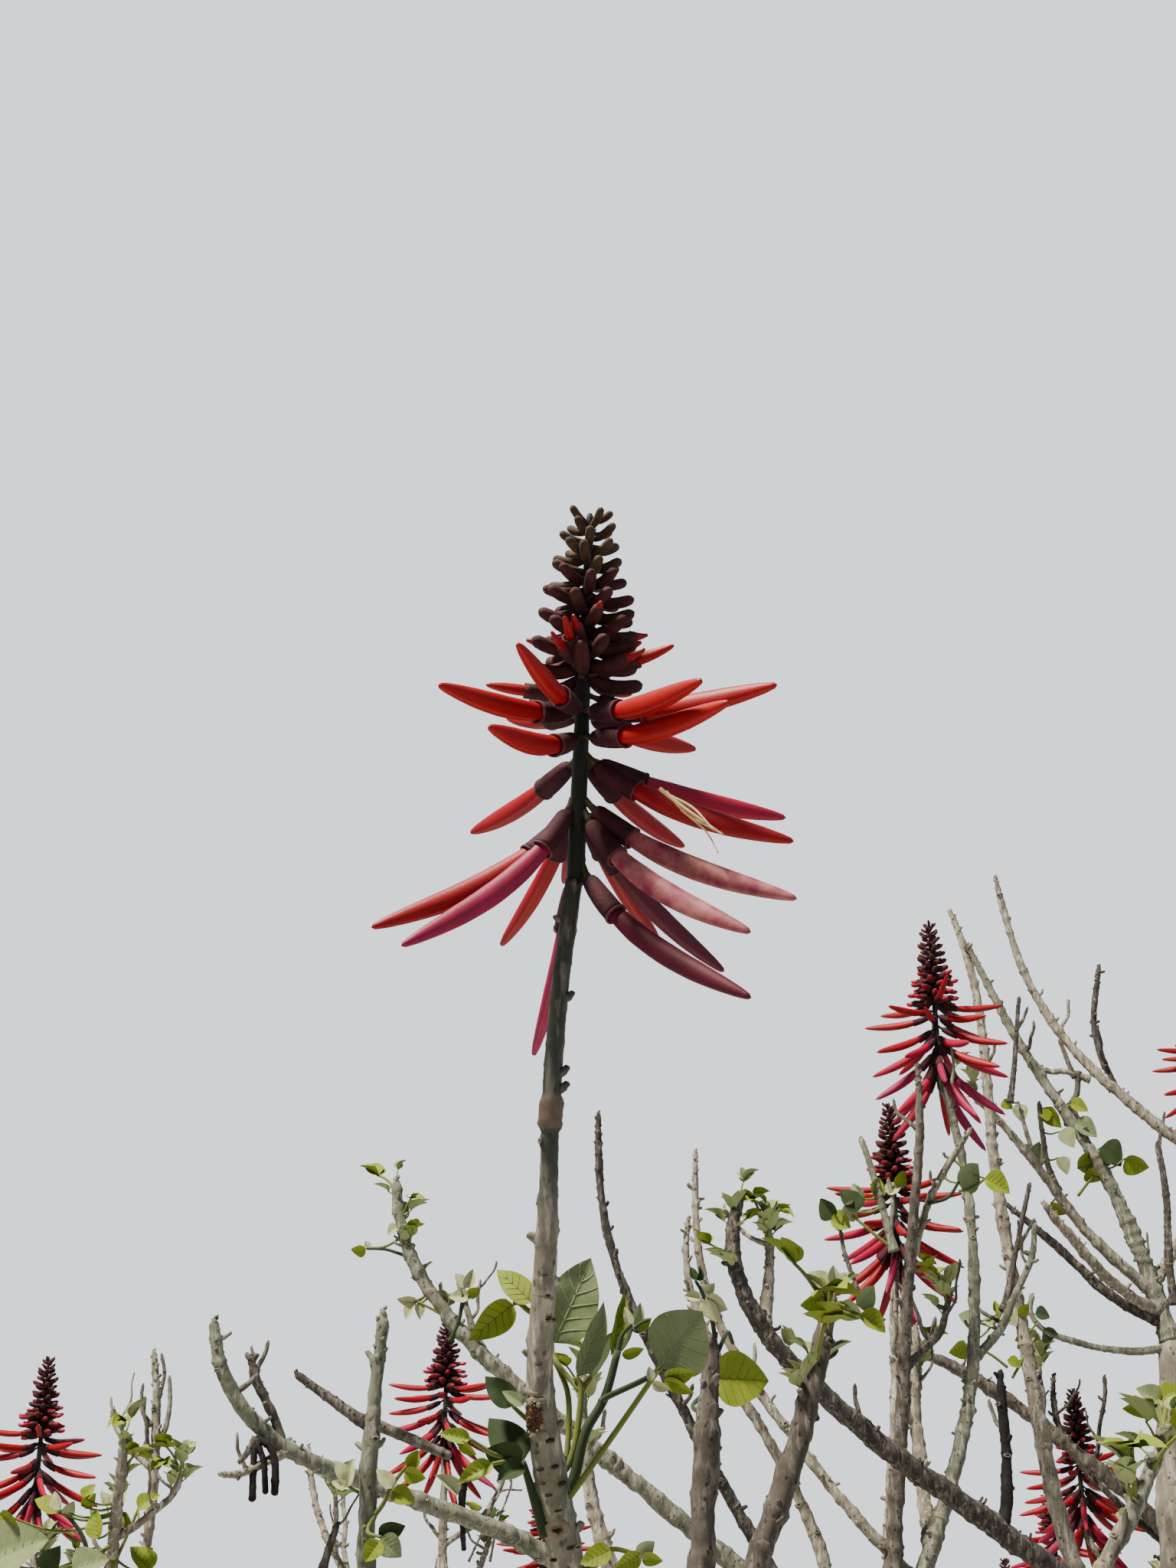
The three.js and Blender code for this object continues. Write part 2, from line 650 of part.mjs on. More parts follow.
function spike(name, stem, order) {
  const near = stem.bears === "near_spike";
  const random = seeded(masses.get(name).seed * 7 + order);
  const turn = near ? 0 : random() * 360;
  const foot = stem.line.getPoint(1);
  const lean = spikeLean(stem);
  const onStalk = (height) => foot.clone().addScaledVector(lean, height / SPIKE_LENGTH);
  const parts = [near ? nearStalk(foot, lean) : ringedStalk(foot, lean)];
  for (const { height, flowers } of near ? NEAR_TIERS : farTiers(random)) {
    for (const [heading, droop, length] of flowers) {
      parts.push(spindle(onStalk(height), heading + turn, droop, length, FLOWER_RADIUS, near ? 3 : 2));
    }
  }
  for (let i = 0; near && i < NEAR_BUDS; i += 1) {
    const share = (i + 0.5) / NEAR_BUDS;
    const root = onStalk(SPIKE_LENGTH * mix(FLOWER_ZONE, 0.98, share ** 0.85));
    const droop = mix(4, -48, share ** 2);
    const length = mix(...BUD_LENGTH, share);
    parts.push(spindle(root, i * GOLDEN_ANGLE, droop, length, mix(...BUD_RADIUS, share), 2));
  }
  return parts;
}

function nearShoots(name, stem) {
  return NEAR_SHOOTS.flatMap((row) => {
    const start = stem.line.getPoint(row.at);
    const tip = start.clone().addScaledVector(pointing(row.heading, row.slope), row.length);
    const line = new LimbLine(start, tip, [row.slope - 14, 84], 0);
    const twig = tube(line, (share) => (share ? mix(2.1, 1.5, share) : 0), 4, 3);
    return [twig, ...leafTuft(name, line, row.leaves, true)];
  });
}

function massSolid(name, boughName) {
  const mass = masses.get(name);
  const parts = [];
  mass.stems.forEach((stem, order) => {
    const near = stem.bears === "near_spike";
    const radiusAt = (share) => mix(...stem.radius, share ** 0.8);
    parts.push(tube(stem.line, radiusAt, near ? 6 : 4, near ? 10 : 5));
    if (stem.bears.endsWith("spike")) parts.push(...spike(name, stem, order));
    if (stem.bears === "leaves") parts.push(...leafTuft(name, stem.line, 3, false));
    if (near) parts.push(...nearShoots(name, stem));
  });
  for (const shoot of mass.shootRows) {
    parts.push(tube(shoot.line, (share) => (share ? mix(...shoot.radius, share) : 0), 3, 2));
    if (shoot.bears === "leaves") parts.push(...leafTuft(name, shoot.line, 2, false));
  }
  return largestBody(wasm.Manifold.union(parts).subtract(limbs.get(boughName).grown(GAP)));
}

// The colours of the finished tree
const TRUNK_FINISH = { color: 0x7d776a, roughness: 0.95, metalness: 0 };
const LIMB_FINISH = { color: 0x8f8c80, roughness: 0.9, metalness: 0 };
const MASS_FINISH = { color: 0xb5413c, roughness: 0.7, metalness: 0 };

function meshOf(name, solid, finish) {
  const { vertProperties, triVerts, numProp } = solid.getMesh();
  const place = new Float32Array((vertProperties.length / numProp) * 3);
  for (let i = 0; i < place.length / 3; i += 1) {
    place.set(vertProperties.subarray(i * numProp, i * numProp + 3), i * 3);
  }
  const geometry = new THREE.BufferGeometry();
  geometry.setAttribute("position", new THREE.BufferAttribute(place, 3));
  geometry.setIndex(new THREE.BufferAttribute(new Uint32Array(triVerts), 1));
  geometry.computeVertexNormals();
  const mesh = new THREE.Mesh(geometry, new THREE.MeshStandardMaterial(finish));
  mesh.name = name;
  return mesh;
}

[...LIMBS, ...BOUGHS].forEach(addLimb);
for (const row of MASSES) {
  masses.set(row.name, { seed: row.seed, shoots: row.shoots, stems: stemsOf(row) });
}
for (const mass of masses.values()) mass.spine = spineOf(mass);
for (const [name, mass] of masses) mass.shootRows = shootsOf(name);

const tree = new THREE.Group();
tree.add(meshOf("trunk", trunkSolid(), TRUNK_FINISH));
for (const name of limbs.keys()) tree.add(meshOf(name, limbSolid(name), LIMB_FINISH));
for (const { name, bough } of MASSES) tree.add(meshOf(name, massSolid(name, bough), MASS_FINISH));

export default tree;
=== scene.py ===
"""A small coral tree in flower, nearly bare of leaves.

Sizes are in millimetres, +Z up, from the middle of the flat cut under the trunk. The tree grows by the rule
that its solids grow by: trunk, limbs, boughs, upright stems, side shoots, leaf tufts and flower spikes. Here
each of these gets its bark, knobs, leaves, flowers and buds.
"""
import logging
import math
from collections.abc import Sequence
from dataclasses import dataclass, field
from enum import Enum
from functools import lru_cache
from typing import Any, Union

import bpy
import numpy as np
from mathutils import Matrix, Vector, noise
from mathutils.kdtree import KDTree


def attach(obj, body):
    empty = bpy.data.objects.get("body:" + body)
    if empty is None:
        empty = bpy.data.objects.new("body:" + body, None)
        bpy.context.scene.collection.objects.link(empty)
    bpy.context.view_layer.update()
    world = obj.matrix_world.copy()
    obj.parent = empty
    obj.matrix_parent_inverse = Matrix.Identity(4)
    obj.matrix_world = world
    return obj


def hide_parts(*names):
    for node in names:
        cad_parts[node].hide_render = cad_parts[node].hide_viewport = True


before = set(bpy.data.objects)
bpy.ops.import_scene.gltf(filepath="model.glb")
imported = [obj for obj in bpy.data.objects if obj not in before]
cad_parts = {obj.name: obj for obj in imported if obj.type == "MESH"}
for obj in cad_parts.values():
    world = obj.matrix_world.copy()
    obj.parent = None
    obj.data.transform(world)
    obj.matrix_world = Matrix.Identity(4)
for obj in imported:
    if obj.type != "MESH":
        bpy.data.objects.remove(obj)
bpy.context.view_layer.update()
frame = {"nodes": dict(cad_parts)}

LOG = logging.getLogger("coral_tree")
MILLIMETRE = 0.001

GOLDEN_ANGLE = 137.508
LIMB_CROOK = 0.018
STEM_CROOK = 0.006
STEMS_BY_RULE = 4
SPIKE_LENGTH = 130.0
FLOWER_ZONE = 0.46
SPIKE_RADIUS = 2.9
SPIKE_TOP_RADIUS = 1.1
NEAR_LEAN = (5.0, -23.0, SPIKE_LENGTH)
FAR_LEAN = (0.0, 0.0, SPIKE_LENGTH)
LEAFLET_LENGTH = 46.0
LEAFLET_SHAPE = 0.74
STALK_LENGTH = 42.0
SHOOT_CLEARANCE = 4.0
SPINE_STEPS = 8
LIMB_STEPS = 24
JOIN_SHARE = 0.985
NEAR_MASS = "mass_near_spike"
SEEDS_PER_MASS = 40

Vec = np.ndarray
Triple = tuple[float, float, float]
Pair = tuple[float, float]


class Bears(Enum):
    """What a stem or shoot ends in."""

    NOTHING = "nothing"
    LEAVES = "leaves"
    SPIKE = "spike"
    NEAR_SPIKE = "near spike"


class Tone(Enum):
    """The bark that a stem wears: partly its own colour and partly painted light and shade, pale where a stem
    is in sun, darker where it is in shade.
    """

    PALE = "pale"
    GREEN = "green"
    BROWN = "brown"
    DARK = "dark"
    BLACK = "black"
    NEAR = "near"


@dataclass(frozen=True)
class LimbRow:
    """A limb or bough: what carries it and where, its tip, and its radius and slope at root and tip."""

    name: str
    carrier: str
    at: float
    tip: Triple
    radius: Pair
    slope: Pair


@dataclass(frozen=True)
class StemRow:
    """An upright stem: its tip, radius and slope, and where on which stem of its mass it starts.

    A kink is how far it steps aside along X, at which share of it, and over what share on either side.
    """

    tip: Triple
    radius: Pair
    slope: Pair
    at: float = 1.0
    on: int = 0
    bow: Pair = (0.0, 0.0)
    bears: Bears = Bears.NOTHING
    tone: Tone = Tone.PALE
    kink: Triple = (0.0, 0.5, 0.1)


@dataclass(frozen=True)
class MassRow:
    """A mass of stems on a bough. Where it lists no stems, spread and rise lay them out by rule."""

    name: str
    bough: str
    seed: int
    shoots: int
    stems: tuple[StemRow, ...] = ()
    spread: float = 0.0
    rise: float = 0.0
    spikes: int = 0


LIMBS = (
    LimbRow("limb_leader", "trunk", 1, (70, 60, 1420), (58, 38), (82, 84)),
    LimbRow("limb_front", "trunk", 0.8, (-190, -520, 1230), (50, 32), (32, 62)),
    LimbRow("limb_left", "trunk", 0.86, (-400, -60, 1290), (48, 31), (35, 68)),
    LimbRow("limb_right", "trunk", 0.74, (430, -90, 1180), (50, 33), (30, 62)),
    LimbRow("limb_back", "trunk", 0.9, (150, 470, 1220), (47, 31), (35, 64)),
)
BOUGHS = (
    LimbRow("bough_front", "limb_front", 1, (-415, -1290, 1715), (30, 9), (34, 50)),
    LimbRow("bough_front_left", "limb_front", 0.74, (-560, -885, 1740), (22, 9), (36, 76)),
    LimbRow("bough_front_right", "limb_front", 0.9, (-400, -930, 1750), (22, 9), (40, 78)),
    LimbRow("bough_left", "limb_left", 1, (-400, -400, 1930), (29, 9), (55, 72)),
    LimbRow("bough_far_left", "limb_left", 0.7, (-890, 60, 1850), (25, 9.5), (30, 70)),
    LimbRow("bough_behind_left", "limb_left", 0.88, (-590, 280, 1850), (23, 9), (44, 78)),
    LimbRow("bough_leader", "limb_leader", 1, (135, 115, 2290), (36, 10), (84, 84)),
    LimbRow("bough_centre", "limb_leader", 0.7, (-200, -215, 1950), (24, 10), (48, 84)),
    LimbRow("bough_middle", "limb_leader", 0.86, (-250, -145, 1975), (22, 10), (50, 62)),
    LimbRow("bough_right", "limb_right", 1, (900, -160, 1820), (31, 10), (40, 64)),
    LimbRow("bough_crossing", "limb_right", 0.72, (-10, -270, 1960), (24, 11), (84, 48)),
    LimbRow("bough_front_far_right", "limb_right", 0.88, (600, -790, 1750), (25, 9.5), (34, 70)),
    LimbRow("bough_back", "limb_back", 1, (120, 980, 1790), (29, 10), (40, 66)),
    LimbRow("bough_back_right", "limb_back", 0.72, (670, 620, 1810), (25, 9.5), (36, 72)),
    LimbRow("bough_back_left", "limb_back", 0.88, (-470, 850, 1780), (24, 9.5), (36, 70)),
    LimbRow("bough_inner_back", "limb_back", 0.56, (230, 230, 2040), (21, 9), (80, 82)),
    LimbRow("bough_top_left", "bough_leader", 0.3, (10, 10, 2010), (15, 9), (66, 78)),
    LimbRow("bough_top_right", "bough_leader", 0.7, (310, 110, 2400), (14, 9), (48, 70)),
)
_LEAFY = Bears.LEAVES
_SPIKED = Bears.SPIKE
_DARK = Tone.DARK
_BROWN = Tone.BROWN
_GREEN = Tone.GREEN
MASSES = (
    MassRow(NEAR_MASS, "bough_front", 11, 0, (
        StemRow((-454, -1440, 2162), (8.4, 2.9), (62, 90), 1, 0, (-14, 0), Bears.NEAR_SPIKE, Tone.NEAR,
                (-5.6, 0.665, 0.08)),
    )),
    MassRow("mass_front_left", "bough_front_left", 12, 0, (
        StemRow((-557, -950, 2111), (8.6, 3.2), (80, 92), bow=(-4, 0), tone=_GREEN),
    )),
    MassRow("mass_front_right", "bough_front_right", 13, 0, (
        StemRow((-388, -1000, 2088), (8.6, 5.4), (70, 100), bow=(-10, 0), tone=_BROWN),
        StemRow((-322, -950, 2115), (7, 5.6), (100, 58), 0.2, 0, (19, 0), _LEAFY, _BROWN),
        StemRow((-141, -900, 2057), (6, 4), (55, 57), 0.1, 0, (11, 0), _LEAFY, _GREEN),
    )),
    MassRow("mass_left", "bough_left", 14, 0, (
        StemRow((-455, -395, 2167), (8.6, 3.2), (72, 84), bow=(-5, 0), bears=_LEAFY),
        StemRow((-711, -560, 2176), (6.8, 5), (60, 89), 0.2, bow=(3, 0), tone=_GREEN),
        StemRow((-686, -545, 2153), (3.4, 3), (80, 83), 0.72, 1, tone=_BROWN),
        StemRow((-700, -560, 2072), (3.4, 2.8), (-22, 4), 0.7, 1),
    )),
    MassRow("mass_far_left", "bough_far_left", 15, 5, (
        StemRow((-1009, 200, 2131), (8.8, 3.4), (64, 86), bears=_SPIKED),
        StemRow((-850, -60, 2237), (6, 3.4), (20, 95), 0.25, bow=(13, 0)),
        StemRow((-845, -180, 2146), (7, 4.4), (62, 72), 0.15, bears=_LEAFY),
        StemRow((-1180, 60, 2070), (5, 3.2), (30, 82), 0.4, bears=_LEAFY),
    )),
    MassRow("mass_behind_left", "bough_behind_left", 16, 5, (
        StemRow((-603, 300, 2196), (8.4, 3.2), (86, 88), bears=_SPIKED),
        StemRow((-760, 400, 2210), (5, 3.2), (40, 84), 0.3),
    )),
    MassRow("mass_centre", "bough_centre", 17, 3, (
        StemRow((-162, -265, 2448), (8.8, 3), (98, 90), tone=_BROWN),
        StemRow((-131, -190, 2464), (7.6, 3.2), (70, 85), 0.05, 0, (33, 0), _SPIKED, _GREEN),
        StemRow((-160, -150, 2244), (6, 5.6), (40, 90), 0.18, 1, (-6, 0)),
        StemRow((-353, -180, 2394), (5, 2.8), (48, 79), 0.12, 1, (-24, 0)),
        StemRow((-167, -110, 2314), (5.6, 3.2), (78, 64), 0.12, bears=_SPIKED),
        StemRow((-117, -250, 2395), (3.8, 2.8), (88, 61), 0.56, bow=(-5, 0)),
    )),
    MassRow("mass_middle", "bough_middle", 18, 4, (
        StemRow((-617, -230, 2356), (8.6, 5), (49, 107), 1, 0, (38, 0), _LEAFY, _GREEN),
        StemRow((-441, -230, 2415), (6, 3), (60, 80), 0.04, bow=(-18, 0), tone=_DARK),
        StemRow((-358, -120, 2346), (6, 3), (110, 88), 0.02, bow=(-16, 0)),
    )),
    MassRow("mass_crossing", "bough_crossing", 19, 0, (
        StemRow((-331, -420, 2297), (10.2, 5.6), (52, 113), bow=(6, 0), bears=_LEAFY, tone=_DARK),
        StemRow((-119, -318, 2180), (4.4, 3.8), (60, 80), 0.305, tone=Tone.BLACK),
        StemRow((-308, -400, 2274), (5, 3.6), (66, 91), 0.76, bears=_LEAFY),
    )),
    MassRow("mass_top", "bough_leader", 20, 0, (
        StemRow((-39, 120, 2698), (9.4, 3.4), (80, 75), bow=(9, 0), tone=_GREEN),
        StemRow((-86, 60, 2540), (6.4, 3), (33, 33), 0.1, bears=_LEAFY),
        StemRow((2, 40, 2398), (6, 4.4), (10, 45), 0.06),
        StemRow((-27, 90, 2410), (6, 3.6), (11, 60), 0.04, bow=(20, 0), tone=_DARK),
        StemRow((232, 190, 2540), (6.4, 3.4), (44, 86), 0.12, bears=_SPIKED),
    )),
    MassRow("mass_top_left", "bough_top_left", 21, 4, (
        StemRow((-70, 40, 2707), (8.4, 3.6), (73, 63), bow=(-28, 0)),
    )),
    MassRow("mass_top_right", "bough_top_right", 22, 4, (
        StemRow((392, 90, 2560), (8.6, 3.4), (66, 87), bears=_SPIKED),
        StemRow((3, 150, 2789), (7.4, 3.4), (17, 77), 0.06, bow=(-14, 0)),
        StemRow((106, 140, 2681), (3.8, 3), (40, 80), 0.4, 1, (-13, 0), tone=_DARK),
    )),
    MassRow("mass_inner_back", "bough_inner_back", 23, 4, (
        StemRow((-104, 190, 2275), (8.6, 6), (37, 20), tone=_BROWN),
        StemRow((71, 300, 2119), (5.6, 3.2), (20, 85), 0.05, bears=_SPIKED),
        StemRow((42, 250, 2263), (4.4, 3), (41, 95), 0.1, bow=(-6, 0), tone=_DARK),
    )),
    MassRow("mass_right", "bough_right", 24, 5, spread=250, rise=420, spikes=2),
    MassRow("mass_front_far_right", "bough_front_far_right", 25, 5, spread=240, rise=400, spikes=1),
    MassRow("mass_back", "bough_back", 26, 5, spread=250, rise=400, spikes=2),
    MassRow("mass_back_right", "bough_back_right", 27, 5, spread=250, rise=430, spikes=1),
    MassRow("mass_back_left", "bough_back_left", 28, 5, spread=240, rise=400, spikes=1),
)
UNSEEN_MASSES = ("mass_right", "mass_front_far_right", "mass_back", "mass_back_right", "mass_back_left")


def lerp(first: Any, last: Any, share: Any) -> Any:
    """Return the value that lies at a share of the way from first to last."""
    return first + (last - first) * share


def unit(vector: Vec) -> Vec:
    """Return a vector at length 1."""
    return vector / np.linalg.norm(vector)


def turns(count: int) -> Vec:
    """Return evenly spaced angles round a full turn."""
    return np.arange(count) * 2 * np.pi / count


def spokes(turn: Vec, across: Vec, over: Vec) -> Vec:
    """Return unit vectors round a path, by point and angle, from the two rows of vectors across it."""
    return np.cos(turn)[None, :, None] * across[:, None] + np.sin(turn)[None, :, None] * over[:, None]


def linked(name: str, data: Any) -> bpy.types.Object:
    """Return a new object that holds the data, put into the scene.

    Args:
        name: The object's name.
        data: The data.

    Returns:
        The object.
    """
    made = bpy.data.objects.new(name, data)
    bpy.context.scene.collection.objects.link(made)
    return made


def pointing(heading: float, slope: float) -> Vec:
    """Return a unit vector.

    Args:
        heading: Degrees round Z from +X.
        slope: Degrees above level.

    Returns:
        The vector.
    """
    turn, rise = math.radians(heading), math.radians(slope)
    return np.array([math.cos(rise) * math.cos(turn), math.cos(rise) * math.sin(turn), math.sin(rise)])


def facing(along: Vec, roll: float = 0.0) -> Vec:
    """Return the axes of something that points one way and keeps its side level.

    Args:
        along: The way its X axis points.
        roll: Degrees by which it is rolled about that.

    Returns:
        Its X, Y and Z axes as the columns of a matrix.
    """
    ahead = unit(along)
    side = unit(np.cross([0.0, 0.0, 1.0], ahead))
    over = np.cross(ahead, side)
    turn = math.radians(roll)
    rolled = side * math.cos(turn) + over * math.sin(turn)
    return np.stack([ahead, rolled, np.cross(ahead, rolled)], axis=1)


@dataclass(frozen=True)
class View:
    """The photograph's view, which turns a pixel and a depth along Y into a place in the tree."""

    eye: Triple = (-450.0, -2100.0, 1900.0)
    pitch: float = 24.0
    focal: float = 2838.0
    frame: Pair = (1536.0, 2048.0)

    def place(self, pixel: Pair, depth: float) -> Vec:
        """Return the place seen at a pixel of the photograph.

        Args:
            pixel: The pixel.
            depth: The place's Y.

        Returns:
            The place.
        """
        right = (pixel[0] - self.frame[0] / 2) / self.focal
        up = (self.frame[1] / 2 - pixel[1]) / self.focal
        rise = math.radians(self.pitch)
        reach = (depth - self.eye[1]) / (math.cos(rise) - up * math.sin(rise))
        climb = math.sin(rise) + up * math.cos(rise)
        return np.array([self.eye[0] + right * reach, depth, self.eye[2] + climb * reach])

    def width(self, pixels: float, at: Vec) -> float:
        """Return how wide something is that looks so many pixels wide at a place."""
        return pixels / self.focal * float(np.linalg.norm(at - np.array(self.eye)))


VIEW = View()


def seen_path(path: Sequence[float], depth: Pair) -> Vec:
    """Return the places on a path seen in the photograph.

    Args:
        path: The path's pixels, X and Y by turns.
        depth: Its first and its last place's Y.

    Returns:
        The places.
    """
    depths = np.linspace(*depth, len(path) // 2)
    return np.array([VIEW.place(pixel, at) for pixel, at in zip(zip(path[::2], path[1::2]), depths)])


def curved(points: Vec, count: int) -> Vec:
    """Return a smooth path through points.

    Args:
        points: The points.
        count: How many points the path has.

    Returns:
        The path's points.
    """
    ends = np.concatenate([[2 * points[0] - points[1]], points, [2 * points[-1] - points[-2]]])
    spots = np.linspace(0, len(points) - 1.0001, count)
    index, t = spots.astype(int), (spots % 1)[:, None]
    before, first, last, after = (ends[index + step] for step in range(4))
    return 0.5 * (2 * first + (last - before) * t + (2 * before - 5 * first + 4 * last - after) * t**2
                  + (3 * first - before - 3 * last + after) * t**3)


class SeededNumbers:
    """The same numbers in the same order for the same seed, as the solids draw them."""

    def __init__(self, seed: int) -> None:
        """Start at a seed and pass over the first number."""
        self.state = (seed * 2654435761) % 2**32
        self.draw()

    def draw(self) -> float:
        """Return the next number, from 0 to 1."""
        self.state = (self.state * 1664525 + 1013904223) % 2**32
        return self.state / 2**32


@dataclass
class LimbLine:
    """A limb's line, which leaves its root at one slope, ends at another, bows aside and wanders.

    A kink is how far it steps aside along X, at which share of it, and over what share on either side.
    """

    root: Vec
    tip: Vec
    slope: Pair
    crook: float = LIMB_CROOK
    bow: Pair = (0.0, 0.0)
    kink: Triple = (0.0, 0.5, 0.1)
    length: float = field(init=False)

    def __post_init__(self) -> None:
        """Work out the handles of the smooth line under the wander."""
        chord = self.tip - self.root
        self.length = float(np.linalg.norm(chord))
        heading = math.degrees(math.atan2(chord[1], chord[0]))
        reach = self.length * 0.36
        self.handles = (
            self.root + pointing(heading, self.slope[0]) * reach,
            self.tip - pointing(heading, self.slope[1]) * reach,
        )
        self.phase = self.root[0] * 0.031 + self.root[1] * 0.017 + self.tip[2] * 0.011

    def points(self, shares: Sequence[float] | Vec) -> Vec:
        """Return the line's points.

        Args:
            shares: How far along the line each lies, from 0 to 1.

        Returns:
            One row for each point.
        """
        t = np.asarray(shares, dtype=float)[:, None]
        near, far = self.handles
        smooth = (1 - t) ** 3 * self.root + 3 * (1 - t) ** 2 * t * near
        smooth = smooth + 3 * (1 - t) * t**2 * far + t**3 * self.tip
        held = np.sin(np.pi * t) * self.length * self.crook
        bent = np.sin(np.pi * t**1.5)
        step, middle, reach = self.kink
        stepped = step * np.exp(-(((t - middle) / reach) ** 2))
        aside = held * np.sin(9 * t + self.phase) + bent * self.bow[0] + stepped
        away = held * np.sin(7 * t + 2 * self.phase) + bent * self.bow[1]
        return smooth + np.concatenate([aside, away, np.zeros_like(t)], axis=1)

    def point(self, share: float) -> Vec:
        """Return the point at one share of the line."""
        return self.points([share])[0]

    def heading_at(self, share: float) -> Vec:
        """Return the unit vector along the line at a share of it."""
        ends = self.points([max(share - 0.01, 0.0), min(share + 0.01, 1.0)])
        return unit(ends[1] - ends[0])


class PathLine(LimbLine):
    """A twig's line, drawn through places seen in the photograph."""

    def __init__(self, places: Vec) -> None:
        """Measure the line through the places.

        Args:
            places: The places, from root to tip.
        """
        self.path = curved(places, 12 * len(places))
        steps = np.linalg.norm(np.diff(self.path, axis=0), axis=1)
        self.length = float(steps.sum())
        self.shares = np.concatenate([[0.0], np.cumsum(steps)]) / self.length

    def points(self, shares: Sequence[float] | Vec) -> Vec:
        """Return the line's points at shares of it, from 0 to 1, one row for each."""
        t = np.asarray(shares, dtype=float)
        return np.stack([np.interp(t, self.shares, self.path[:, axis]) for axis in range(3)], axis=1)


@dataclass
class Limb:
    """A limb, bough, stem or shoot, as it grew."""

    name: str
    line: LimbLine
    radius: Pair
    bears: Bears = Bears.NOTHING
    tone: Tone = Tone.PALE


@dataclass(frozen=True)
class Leaf:
    """Where a leaf of three leaflets leaves its shoot, and how big it is."""

    owner: str
    root: Vec
    heading: float
    slope: float
    size: float


@dataclass
class Mass:
    """The stems and side shoots that grow from one bough's tip."""

    name: str
    seed: int
    shoot_count: int
    stems: list[Limb]
    spine: Vec = field(default_factory=lambda: np.zeros((0, 3)))
    shoots: list[Limb] = field(default_factory=list)


def lean_of(stem: Limb) -> Vec:
    """Return how far the top of a stem's spike stands from its foot."""
    return np.array(NEAR_LEAN if stem.bears is Bears.NEAR_SPIKE else FAR_LEAN)


